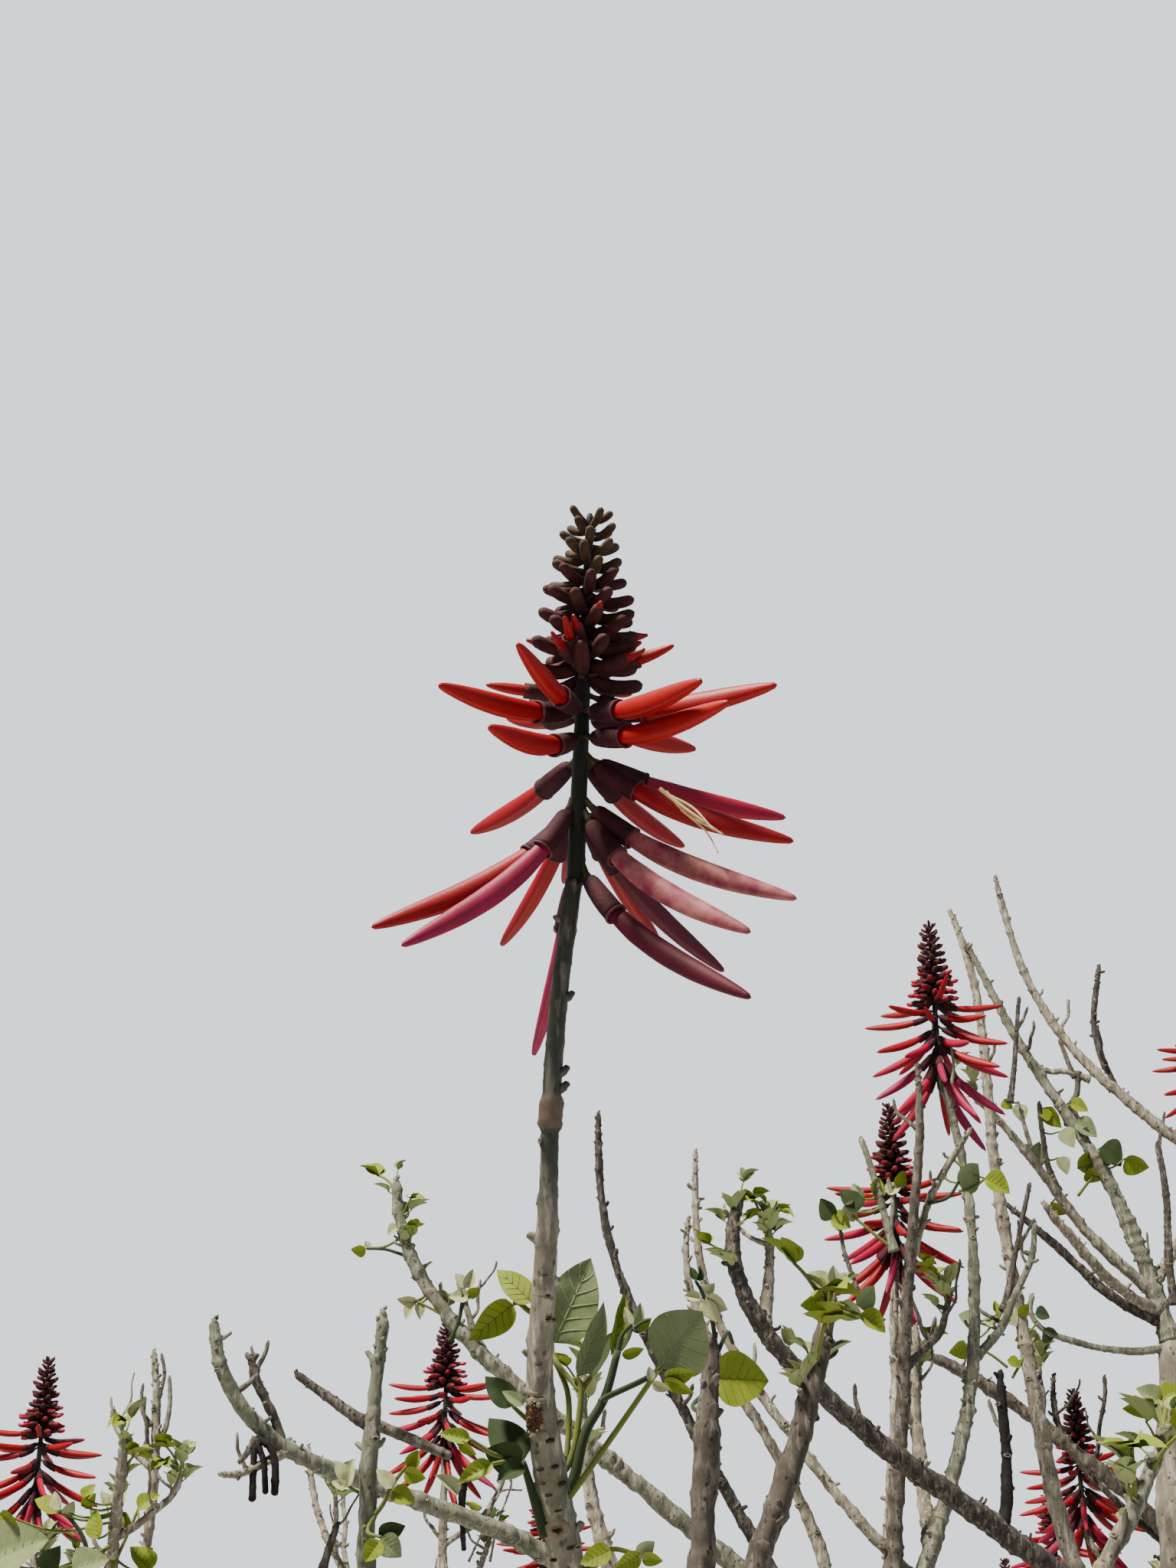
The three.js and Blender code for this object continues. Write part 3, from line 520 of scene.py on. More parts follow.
class Tree:
    """Every line of the tree, grown by the rule that the solids grow by."""

    trunk_tip: Triple = (22, -16, 640)
    lead_radius: Pair = (8.6, 3.6)
    side_radius: Pair = (5.6, 3.4)
    widest_shoot: Pair = (4.2, 2.6)
    longest_stem: float = 420
    shoot_girth: float = 6.0

    def __init__(self) -> None:
        """Grow the trunk, the limbs and boughs, and the masses."""
        self.trunk = LimbLine(np.zeros(3), np.array(self.trunk_tip, dtype=float), (90, 86))
        self.limbs: dict[str, Limb] = {}
        for row in LIMBS + BOUGHS:
            carrier = self.trunk if row.carrier == "trunk" else self.limbs[row.carrier].line
            root = carrier.point(JOIN_SHARE if row.at == 1 else row.at)
            line = LimbLine(root, np.array(row.tip, dtype=float), row.slope)
            self.limbs[row.name] = Limb(row.name, line, row.radius)
        shares = np.arange(LIMB_STEPS + 1) / LIMB_STEPS
        self.limb_points = np.concatenate([limb.line.points(shares) for limb in self.limbs.values()])
        self.limb_radii = np.concatenate([lerp(*limb.radius, shares) for limb in self.limbs.values()])
        self.masses = {row.name: Mass(row.name, row.seed, row.shoots, self._stems(row)) for row in MASSES}
        for mass in self.masses.values():
            mass.spine = self._spine(mass)
        for mass in self.masses.values():
            mass.shoots = self._shoots(mass)

    @property
    def near_stem(self) -> Limb:
        """Return the stem that carries the near spike."""
        return self.masses[NEAR_MASS].stems[0]

    def _ruled_rows(self, row: MassRow, root: Vec) -> list[StemRow]:
        """Lay out the stems of a mass whose row lists none.

        Args:
            row: The mass.
            root: Its bough's tip.

        Returns:
            The first stem upright, the others spread round it.
        """
        random = SeededNumbers(row.seed)
        first = random.draw() * 360
        rows = []
        for i in range(STEMS_BY_RULE):
            leading = i == 0
            out = row.spread * (0.3 if leading else 0.75 + 0.35 * random.draw())
            up = row.rise * (1 if leading else 0.66 + 0.26 * random.draw())
            spiked = i < row.spikes
            tip = root + pointing(first + i * GOLDEN_ANGLE, 0) * out
            tip[2] += up - (SPIKE_LENGTH * 0.6 if spiked else 0)
            bears = Bears.SPIKE if spiked else Bears.LEAVES if i % 2 else Bears.NOTHING
            radius = self.lead_radius if leading else self.side_radius
            slope = (76 if leading else 34, 87)
            rows.append(StemRow(tuple(tip), radius, slope, 0.12 + 0.12 * i, bears=bears))
        return rows

    def _stems(self, row: MassRow) -> list[Limb]:
        """Grow the stems of a mass and return them.

        Args:
            row: The mass.

        Returns:
            The stems.
        """
        root = self.limbs[row.bough].line.point(JOIN_SHARE)
        stems: list[Limb] = []
        for stem in row.stems or self._ruled_rows(row, root):
            start = stems[stem.on].line.point(stem.at) if stems else root
            tip = np.array(stem.tip, dtype=float)
            line = LimbLine(start, tip, stem.slope, STEM_CROOK, stem.bow, stem.kink)
            stems.append(Limb(row.name, line, stem.radius, stem.bears, stem.tone))
        return stems

    @staticmethod
    def _spine(mass: Mass) -> Vec:
        """Return the points that stand for a mass where masses share out their space.

        Args:
            mass: The mass.

        Returns:
            The points.
        """
        parts = []
        for stem in mass.stems:
            parts.append(stem.line.points(np.arange(SPINE_STEPS + 1) / SPINE_STEPS))
            if stem.bears in (Bears.SPIKE, Bears.NEAR_SPIKE):
                foot = stem.line.point(1)
                parts.append(np.array([foot + lean_of(stem) * share for share in (0.5, 1.0)]))
        return np.concatenate(parts)

    def room_for(self, name: str, point: Vec, radius: float) -> float:
        """Return by what margin a ball keeps to its mass's space.

        Args:
            name: The mass.
            point: The ball's middle.
            radius: The ball's radius.

        Returns:
            The margin, below zero where the ball is out of that space.
        """
        own = np.linalg.norm(self.masses[name].spine - point, axis=1).min()
        others = min(
            np.linalg.norm(mass.spine - point, axis=1).min()
            for mass in self.masses.values() if mass.name != name
        )
        limbs = (np.linalg.norm(self.limb_points - point, axis=1) - self.limb_radii).min()
        return float(min((others - own) / 2, limbs) - radius - SHOOT_CLEARANCE)

    def _shoots(self, mass: Mass) -> list[Limb]:
        """Grow a mass's side shoots and return those that keep to its space.

        Args:
            mass: The mass.

        Returns:
            The shoots.
        """
        random = SeededNumbers(mass.seed + 100)
        shoots = []
        for i in range(mass.shoot_count):
            stem = mass.stems[i % len(mass.stems)]
            at = 0.3 + 0.6 * random.draw()
            heading = 360 * random.draw() + i * GOLDEN_ANGLE
            length = (0.22 + 0.2 * random.draw()) * min(stem.line.length, self.longest_stem)
            length *= 1.25 - 0.5 * at
            slope = 42 + 22 * random.draw()
            bears = Bears.LEAVES if random.draw() < 0.6 else Bears.NOTHING
            start = stem.line.point(at)
            tip = start + pointing(heading, slope) * length
            girth = self.shoot_girth
            reach = STALK_LENGTH if bears is Bears.LEAVES else girth
            if any(self.room_for(mass.name, lerp(start, tip, share), reach if share == 1 else girth) <= 0
                   for share in (0.5, 0.75, 1)):
                continue
            thick = min(self.widest_shoot[0], lerp(*stem.radius, at) * 0.75)
            radius = thick, min(self.widest_shoot[1], thick * 0.75)
            line = LimbLine(start, tip, (slope - 18, 80))
            shoots.append(Limb(mass.name, line, radius, bears, stem.tone))
        return shoots

    def tuft(self, limb: Limb, count: int) -> list[Leaf]:
        """Return the leaves of a tuft at the end of a stem or shoot.

        Args:
            limb: The stem or shoot.
            count: How many leaves it may have.

        Returns:
            Those that keep to their mass's space.
        """
        random = SeededNumbers(self.masses[limb.name].seed + math.floor(limb.line.length + 0.5))
        leaves = []
        for i in range(count):
            root = limb.line.point(0.98 - 0.05 * i)
            heading = 360 * random.draw() + i * GOLDEN_ANGLE
            slope = 28 + 34 * random.draw()
            size = 0.6 + 0.45 * random.draw()
            middle = root + pointing(heading, slope * 0.6) * size * (STALK_LENGTH + LEAFLET_LENGTH * 0.6)
            if self.room_for(limb.name, middle, size * LEAFLET_LENGTH * 0.65) >= 0:
                leaves.append(Leaf(limb.name, root, heading, slope, size))
        return leaves


@dataclass(frozen=True)
class Shape:
    """Points and the faces between them, in millimetres."""

    points: Vec
    quads: Vec
    triangles: Vec

    def placed(self, axes: Vec, at: Vec, scale: float = 1.0) -> "Shape":
        """Return the shape turned to new axes, the columns of a matrix, and moved to a place."""
        return Shape(self.points @ axes.T * scale + at, self.quads, self.triangles)


@lru_cache(maxsize=None)
def skin_faces(rings: int, sides: int) -> tuple[Vec, Vec]:
    """Return the faces of a closed skin over rings of points, with a pole at each end.

    Args:
        rings: How many rings there are.
        sides: How many points a ring has. The poles come after the last ring.

    Returns:
        The quads between rings and the triangles at the poles.
    """
    ring, side = np.meshgrid(np.arange(rings - 1), np.arange(sides), indexing="ij")
    after = (side + 1) % sides
    quads = np.stack([ring * sides + side, ring * sides + after,
                      (ring + 1) * sides + after, (ring + 1) * sides + side], axis=-1).reshape(-1, 4)
    one, two = np.arange(sides), (np.arange(sides) + 1) % sides
    last = (rings - 1) * sides
    foot = np.stack([np.full(sides, rings * sides), two, one], axis=1)
    top = np.stack([np.full(sides, rings * sides + 1), last + one, last + two], axis=1)
    return quads, np.concatenate([foot, top])


def skin(rings: Vec, foot: Vec, top: Vec) -> Shape:
    """Return a closed skin.

    Args:
        rings: Points by ring, side and coordinate.
        foot: The pole that closes the first ring.
        top: The pole that closes the last ring.

    Returns:
        The shape.
    """
    quads, triangles = skin_faces(rings.shape[0], rings.shape[1])
    return Shape(np.concatenate([rings.reshape(-1, 3), foot[None], top[None]]), quads, triangles)


def frames_along(path: Vec, start: Vec | None = None) -> tuple[Vec, Vec]:
    """Return two unit vectors across a path at each of its points, turning as little as they can.

    Args:
        path: The path's points.
        start: The first vector to set out with at the first point.

    Returns:
        The two rows of vectors.
    """
    tangents = np.gradient(path, axis=0)
    tangents /= np.linalg.norm(tangents, axis=1, keepdims=True)
    across = np.empty_like(path)
    held = np.eye(3)[int(np.abs(tangents[0]).argmin())] if start is None else start
    for i, tangent in enumerate(tangents):
        held = unit(held - tangent * (held @ tangent))
        across[i] = held
    return across, np.cross(tangents, across)


def tube(path: Vec, radii: Vec, start: Vec | None = None) -> Shape:
    """Return a closed tube along a path.

    Args:
        path: The path's points.
        radii: The radius at each of them, by ring and side.
        start: The direction from the path in which each ring begins.

    Returns:
        The shape.
    """
    across, over = frames_along(path, start)
    rings = path[:, None] + radii[:, :, None] * spokes(turns(radii.shape[1]), across, over)
    return skin(rings, path[0], path[-1])


def round_tube(path: Vec, radii: Vec, sides: int, start: Vec | None = None) -> Shape:
    """Return a closed round tube, from the radius at each of its path's points."""
    return tube(path, np.repeat(radii[:, None], sides, axis=1), start)


def plain_tube(path: Vec, radius: Pair, sides: int) -> Shape:
    """Return a closed tube whose radius goes evenly from one end's to the other's."""
    return round_tube(path, lerp(*radius, np.linspace(0, 1, len(path))), sides)


class Gathered:
    """A mesh under way, gathered from many shapes, and the nodes whose growth it holds."""

    def __init__(self) -> None:
        """Start with nothing."""
        self.points: list[Vec] = []
        self.faces: list[Vec] = []
        self.count = 0
        self.owners: set[str] = set()

    def add(self, shape: Shape, *owners: str) -> None:
        """Take in a shape.

        Args:
            shape: The shape.
            owners: The nodes that it is part of.
        """
        self.points.append(shape.points)
        self.faces.extend(part + self.count for part in (shape.quads, shape.triangles) if len(part))
        self.count += len(shape.points)
        self.owners.update(owners)

    def finished(self, name: str, material: bpy.types.Material, slot: str) -> bpy.types.Object:
        """Make the piece, standing for the nodes it grew from.

        Args:
            name: The piece's name.
            material: Its finish.
            slot: A material slot name, passed on to register, which does not use it.

        Returns:
            The piece.
        """
        mesh = bpy.data.meshes.new(name)
        points = (np.concatenate(self.points) * MILLIMETRE).astype(np.float32)
        corners = np.concatenate([part.ravel() for part in self.faces]).astype(np.int32)
        sizes = np.concatenate([np.full(len(part), part.shape[1]) for part in self.faces])
        mesh.vertices.add(len(points))
        mesh.vertices.foreach_set("co", points.ravel())
        mesh.loops.add(len(corners))
        mesh.loops.foreach_set("vertex_index", corners)
        mesh.polygons.add(len(sizes))
        mesh.polygons.foreach_set("loop_start", (np.cumsum(sizes) - sizes).astype(np.int32))
        mesh.polygons.foreach_set("use_smooth", np.ones(len(sizes), dtype=bool))
        mesh.update(calc_edges=True)
        mesh.validate()
        return register(mesh, name, material, slot, sorted(self.owners))


def register(mesh: bpy.types.Mesh, name: str, material: bpy.types.Material, slot: str,
             owners: Sequence[str]) -> bpy.types.Object:
    """Put a mesh into the scene as a piece of the tree.

    Args:
        mesh: The mesh.
        name: The piece's name.
        material: Its finish.
        slot: Not used.
        owners: The nodes that it stands for.

    Returns:
        The piece.
    """
    piece = linked(name, mesh)
    mesh.materials.clear()
    mesh.materials.append(material)
    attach(piece, "root")
    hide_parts(*owners)
    triangles = sum(len(face.vertices) - 2 for face in mesh.polygons)
    LOG.info("%s: %d triangles, %d nodes", name, triangles, len(owners))
    return piece


Operand = Union["Socket", float]


class Socket:
    """A node's output, on which shader maths is written as an expression."""

    def __init__(self, shader: "Shader", output: bpy.types.NodeSocket) -> None:
        """Wrap an output of one of a shader's nodes."""
        self.shader = shader
        self.output = output

    def _maths(self, operation: str, left: Operand, right: Operand) -> "Socket":
        """Return the outcome of a Math node on two operands."""
        return self.shader.node("ShaderNodeMath", {"operation": operation}, {0: left, 1: right})

    def __add__(self, other: Operand) -> "Socket":
        """Return the sum."""
        return self._maths("ADD", self, other)

    __radd__ = __add__

    def __sub__(self, other: Operand) -> "Socket":
        """Return the difference."""
        return self._maths("SUBTRACT", self, other)

    def __rsub__(self, other: Operand) -> "Socket":
        """Return the difference, the other way round."""
        return self._maths("SUBTRACT", other, self)

    def __mul__(self, other: Operand) -> "Socket":
        """Return the product."""
        return self._maths("MULTIPLY", self, other)

    __rmul__ = __mul__


class Shader:
    """A material's node tree, with one way to make any node."""

    def __init__(self, name: str) -> None:
        """Start a material with a Principled shader.

        Args:
            name: The material's name.
        """
        self.material = bpy.data.materials.new(name)
        self.material.use_nodes = True
        self.tree = self.material.node_tree
        self.surface = self.tree.nodes["Principled BSDF"]
        self.place = self.node("ShaderNodeTexCoord", output="Object")

    def node(self, kind: str, settings: dict[str, Any] | None = None,
             inputs: dict[Any, Any] | None = None, output: int | str = 0) -> Socket:
        """Make a node.

        Args:
            kind: The node's type.
            settings: Its settings, which are set first; stops are a ramp's places and greys or colours.
            inputs: The value or the socket that each of its inputs takes.
            output: Which of its outputs is wanted.

        Returns:
            That output.
        """
        made = self.tree.nodes.new(kind)
        for name, value in (settings or {}).items():
            if name == "stops":
                self._set_stops(made.color_ramp, value)
            else:
                setattr(made, name, value)
        for key, value in (inputs or {}).items():
            if isinstance(value, Socket):
                self.tree.links.new(value.output, made.inputs[key])
            else:
                made.inputs[key].default_value = value
        return Socket(self, made.outputs[output])

    @staticmethod
    def _set_stops(ramp: bpy.types.ColorRamp, stops: Sequence[tuple[float, Any]]) -> None:
        """Set a ramp's places and colours.

        Args:
            ramp: The ramp.
            stops: Its places, each with a grey or a colour.
        """
        while len(ramp.elements) < len(stops):
            ramp.elements.new(0.5)
        for element, (place, colour) in zip(ramp.elements, stops):
            element.position = place
            element.color = (*([colour] * 3 if isinstance(colour, (int, float)) else colour), 1.0)

    def noise(self, size: float, detail: float = 3.0, stretch: Triple = (1, 1, 1)) -> Socket:
        """Return cloudy noise.

        Args:
            size: How big its clouds are, in millimetres.
            detail: How many finer layers it has.
            stretch: By what each of X, Y and Z is multiplied first.

        Returns:
            The noise, from 0 to 1.
        """
        place = self.node("ShaderNodeVectorMath", {"operation": "MULTIPLY"}, {0: self.place, 1: stretch})
        return self.node("ShaderNodeTexNoise", inputs={"Vector": place, "Scale": 1 / (size * MILLIMETRE),
                                                       "Detail": detail, "Roughness": 0.55})

    def spots(self, size: float, share: float, stretch: Triple = (1, 1, 1)) -> Socket:
        """Return scattered spots.

        Args:
            size: The distance between spots, in millimetres.
            share: How much of that distance a spot takes.
            stretch: By what each of X, Y and Z is multiplied first.

        Returns:
            A mask, 1 in the middle of each spot.
        """
        place = self.node("ShaderNodeVectorMath", {"operation": "MULTIPLY"}, {0: self.place, 1: stretch})
        cells = self.node("ShaderNodeTexVoronoi", inputs={"Vector": place, "Scale": 1 / (size * MILLIMETRE)})
        return self.between(cells, share, share * 0.4)

    def between(self, value: Socket, low: float, high: float) -> Socket:
        """Return 0 where a value is at low and 1 where it is at high."""
        return self.node("ShaderNodeMapRange", {"clamp": True}, {0: value, 1: low, 2: high, 3: 0.0, 4: 1.0})

    def mix(self, first: Any, second: Any, factor: Operand) -> Socket:
        """Return a colour between two, each a colour or a socket, at a factor."""
        return self.node("ShaderNodeMix", {"data_type": "RGBA"}, {0: factor, 6: first, 7: second}, 2)

    def bump(self, height: Socket, depth: float) -> Socket:
        """Return normals for a height from 0 to 1 that stands so many millimetres deep."""
        return self.node("ShaderNodeBump", inputs={"Height": height, "Distance": depth * MILLIMETRE,
                                                   "Strength": 1.0})

    def set(self, **inputs: Any) -> None:
        """Give the Principled shader's inputs their values or links; _ in a name stands for a space.

        Args:
            **inputs: The value or the link of each, by its name.
        """
        for name, value in inputs.items():
            socket = self.surface.inputs[name.replace("_", " ")]
            if isinstance(value, Socket):
                self.tree.links.new(value.output, socket)
            else:
                socket.default_value = value


def colour(code: str) -> tuple[float, float, float, float]:
    """Return the light that a colour code of six digits stands for.

    Args:
        code: Two hexadecimal digits each for red, green and blue.

    Returns:
        Its red, green and blue light and 1.
    """
    parts = [int(code[i:i + 2], 16) / 255 for i in (0, 2, 4)]
    light = [part / 12.92 if part <= 0.04045 else ((part + 0.055) / 1.055) ** 2.4 for part in parts]
    return (*light, 1.0)


@dataclass(frozen=True)
class BarkFinish:
    """Bark: patches of two shades, pale waxy streaks, dark pores and a fine grain."""

    name: str
    base: str
    shade: str
    streak: str
    pore: str
    patch_size: float = 22.0
    streak_size: float = 5.0
    streak_amount: float = 0.6
    pore_gap: float = 5.0
    pore_share: float = 0.26
    roughness: float = 0.78
    depth: float = 0.5
    gloss: float = 0.25

    def make(self) -> bpy.types.Material:
        """Return the material.

        Returns:
            The material.
        """
        shader = Shader(self.name)
        patches = shader.between(shader.noise(self.patch_size, 4.0), 0.36, 0.64)
        streaks = shader.between(shader.noise(self.streak_size, 5.0, (1, 1, 0.22)), 0.5, 0.68)
        pores = shader.spots(self.pore_gap, self.pore_share, (1, 1, 0.7))
        grain = shader.noise(1.6, 5.0, (1, 1, 0.5))
        ground = shader.mix(colour(self.base), colour(self.shade), patches * (0.35 + 0.65 * grain))
        waxed = shader.mix(ground, colour(self.streak), streaks * self.streak_amount)
        shader.set(
            Base_Color=shader.mix(waxed, colour(self.pore), pores * 0.85),
            Roughness=self.roughness + 0.16 * patches - 0.1 * streaks,
            Normal=shader.bump(0.5 * grain + 0.35 * streaks - 0.4 * pores + 0.3, self.depth),
            Specular_IOR_Level=self.gloss,
        )
        return shader.material


@dataclass(frozen=True)
class SoftFinish:
    """Petal, leaf or down: one plain colour that clouds a little towards another."""

    name: str
    base: str
    cloud: str
    cloud_size: float = 6.0
    cloud_amount: float = 0.5
    roughness: float = 0.5
    sheen: float = 0.0
    grain_depth: float = 0.06
    gloss: float = 0.2

    def make(self) -> bpy.types.Material:
        """Return the material.

        Returns:
            The material.
        """
        shader = Shader(self.name)
        clouds = shader.between(shader.noise(self.cloud_size, 3.0), 0.32, 0.7)
        grain = shader.noise(0.9, 3.0)
        shader.set(
            Base_Color=shader.mix(colour(self.base), colour(self.cloud), clouds * self.cloud_amount),
            Roughness=self.roughness + 0.12 * (grain - 0.5),
            Normal=shader.bump(grain, self.grain_depth),
            Specular_IOR_Level=self.gloss,
            Sheen_Weight=self.sheen,
            Sheen_Roughness=0.5,
        )
        return shader.material


Finish = Union["BarkFinish", "SoftFinish", "NearBark"]


@dataclass(frozen=True)
class Relief:
    """How bark stands out from a smooth round limb: slow swellings, lengthwise ridges, rings and scars."""

    swell: float = 0.05
    ridge: float = 0.03
    ring_gap: float = 15.0
    ring_height: float = 0.15
    ring_width: float = 1.8
    scar_gap: float = 16.0
    scar_height: float = 0.9
    scar_size: float = 2.5
    grain: float = 0.1


STEM_RELIEF = Relief(0.07, 0.04, 15.0, 0.19, 2.5, 15.0, 1.2, 2.7, 0.14)
BOUGH_RELIEF = Relief(0.045, 0.03, 34.0, 0.07, 3.6, 30.0, 2.0, 5.0, 0.18)
TWIG_RELIEF = Relief(0.06, 0.03, 9.0, 0.2, 1.1, 9.0, 0.6, 1.4, 0.05)
DARK_RELIEF = Relief(0.06, 0.05, 13.0, 0.14, 1.8, 15.0, 1.2, 2.6, 0.2)
NEAR_RELIEF = Relief(0.03, 0.03, 10.0, 0.085, 1.0, 9.0, 0.85, 1.9, 0.05)
SPIKE_RELIEF = Relief(0.02, 0.03, 9.0, 0.05, 1.0, 4.5, 0.35, 1.1, 0.03)


class Bark:
    """The bark of one limb, drawn once: its swellings, ridges, rings and scars."""

    waves = ((0, 70.0), (1, 110.0), (2, 60.0), (1, 38.0))
    ridge_counts = (3, 4, 6)

    def __init__(self, relief: Relief, length: float, random: np.random.Generator) -> None:
        """Draw the marks.

        Args:
            relief: How the bark stands out.
            length: The limb's length.
            random: What places and sizes are drawn from.
        """
        turn = 2 * np.pi
        self.relief = relief
        self.swellings = [
            (lobes, turn / reach, relief.swell * random.uniform(0.4, 1.0), random.uniform(0, turn))
            for lobes, reach in self.waves
        ]
        self.swellings += [
            (lobes, random.normal() / 60, relief.ridge * random.uniform(0.4, 1.0), random.uniform(0, turn))
            for lobes in self.ridge_counts
        ]
        self.rings: list[tuple[float, float, float, float, float]] = []
        spot = random.uniform(0.3, 1.0) * relief.ring_gap
        while spot < length:
            self.rings.append((spot, random.uniform(0.0, 0.35), random.uniform(0, turn),
                               relief.ring_width * random.uniform(0.7, 1.5),
                               relief.ring_height * random.uniform(0.3, 1.4)))
            spot += relief.ring_gap * random.uniform(0.5, 1.6)
        self.scars: list[tuple[float, float, float]] = []
        spot, aim = random.uniform(0.3, 1.0) * relief.scar_gap, random.uniform(0, turn)
        while spot < length:
            self.scars.append((spot, aim, relief.scar_size * random.uniform(0.7, 1.3)))
            spot += relief.scar_gap * random.uniform(0.5, 1.5)
            aim += math.radians(GOLDEN_ANGLE) + random.uniform(-0.4, 0.4)

    def radius(self, smooth: Vec, way: Vec, turn: Vec) -> Vec:
        """Return how far the bark stands from the limb's middle line.

        Args:
            smooth: The smooth radius at each place.
            way: How far along the limb each place lies, or each place and angle.
            turn: The angles round the limb.

        Returns:
            The distances, by place and angle.
        """
        smooth, turn = smooth[:, None], turn[None]
        way = way[:, None] if way.ndim == 1 else way
        relief = np.zeros((smooth.shape[0], turn.shape[1]))
        for lobes, speed, amount, phase in self.swellings:
            relief += amount * smooth * np.sin(way * speed + lobes * turn + phase)
        for spot, tilt, phase, width, height in self.rings:
            away = (way - spot + tilt * smooth * np.cos(turn + phase)) / width
            relief += height * smooth * np.exp(-(away**2))
        for spot, aim, size in self.scars:
            across = ((turn - aim + np.pi) % (2 * np.pi) - np.pi) * smooth
            away = ((way - spot) / (size * 0.8)) ** 2 + (across / size) ** 2
            relief += self.relief.scar_height * (np.exp(-away) - 0.75 * np.exp(-away * 6))
        return smooth + relief


def oval(radii: Triple, sides: int = 7, rings: int = 5) -> Shape:
    """Return an egg-shaped body round the origin, with its radii along X, Y and Z.

    Args:
        radii: The radii along X, Y and Z.
        sides: How many sides it has.
        rings: How many rings of points it has between its poles.

    Returns:
        The shape.
    """
    rise = np.linspace(-80, 80, rings)
    turn = turns(sides)
    level = np.cos(np.radians(rise))[:, None]
    height = np.repeat(np.sin(np.radians(rise))[:, None], sides, axis=1)
    points = np.stack([level * np.cos(turn), level * np.sin(turn), height], axis=-1)
    poles = np.array([[0.0, 0.0, -1.0], [0.0, 0.0, 1.0]])
    return skin(points * radii, poles[0] * radii, poles[1] * radii)


def lip(radius: float, thick: Pair, sides: int = 9, section: int = 5) -> Shape:
    """Return a closed ring round Z.

    Args:
        radius: The ring's radius.
        thick: Half its breadth and half its height.
        sides: How many steps go round the ring.
        section: How many sides its section has.

    Returns:
        The shape.
    """
    way, turn = np.meshgrid(turns(sides), turns(section), indexing="ij")
    reach = radius + thick[0] * np.cos(turn)
    points = np.stack([reach * np.cos(way) * 0.55, reach * np.sin(way), thick[1] * np.sin(turn)], axis=-1)
    step, side = np.meshgrid(np.arange(sides), np.arange(section), indexing="ij")
    after, beside = (step + 1) % sides, (side + 1) % section
    quads = np.stack([step * section + side, after * section + side,
                      after * section + beside, step * section + beside], axis=-1).reshape(-1, 4)
    return Shape(points.reshape(-1, 3), quads, np.zeros((0, 3), dtype=int))


BAND_STEPS = (-1.1, -0.8, -0.35, 0.35, 0.8, 1.1)
BAND_LIFTS = (-0.6, 0.02, 0.16, 0.16, 0.02, -0.6)
SCAR_LIP = lip(0.74, (0.34, 0.16), sides=10)
SCAR_HEART = oval((0.34, 0.62, 0.2), sides=7, rings=3)
MARK = oval((1.0, 1.0, 1.0), sides=12, rings=7)
Mark = tuple[float, float, float, float]


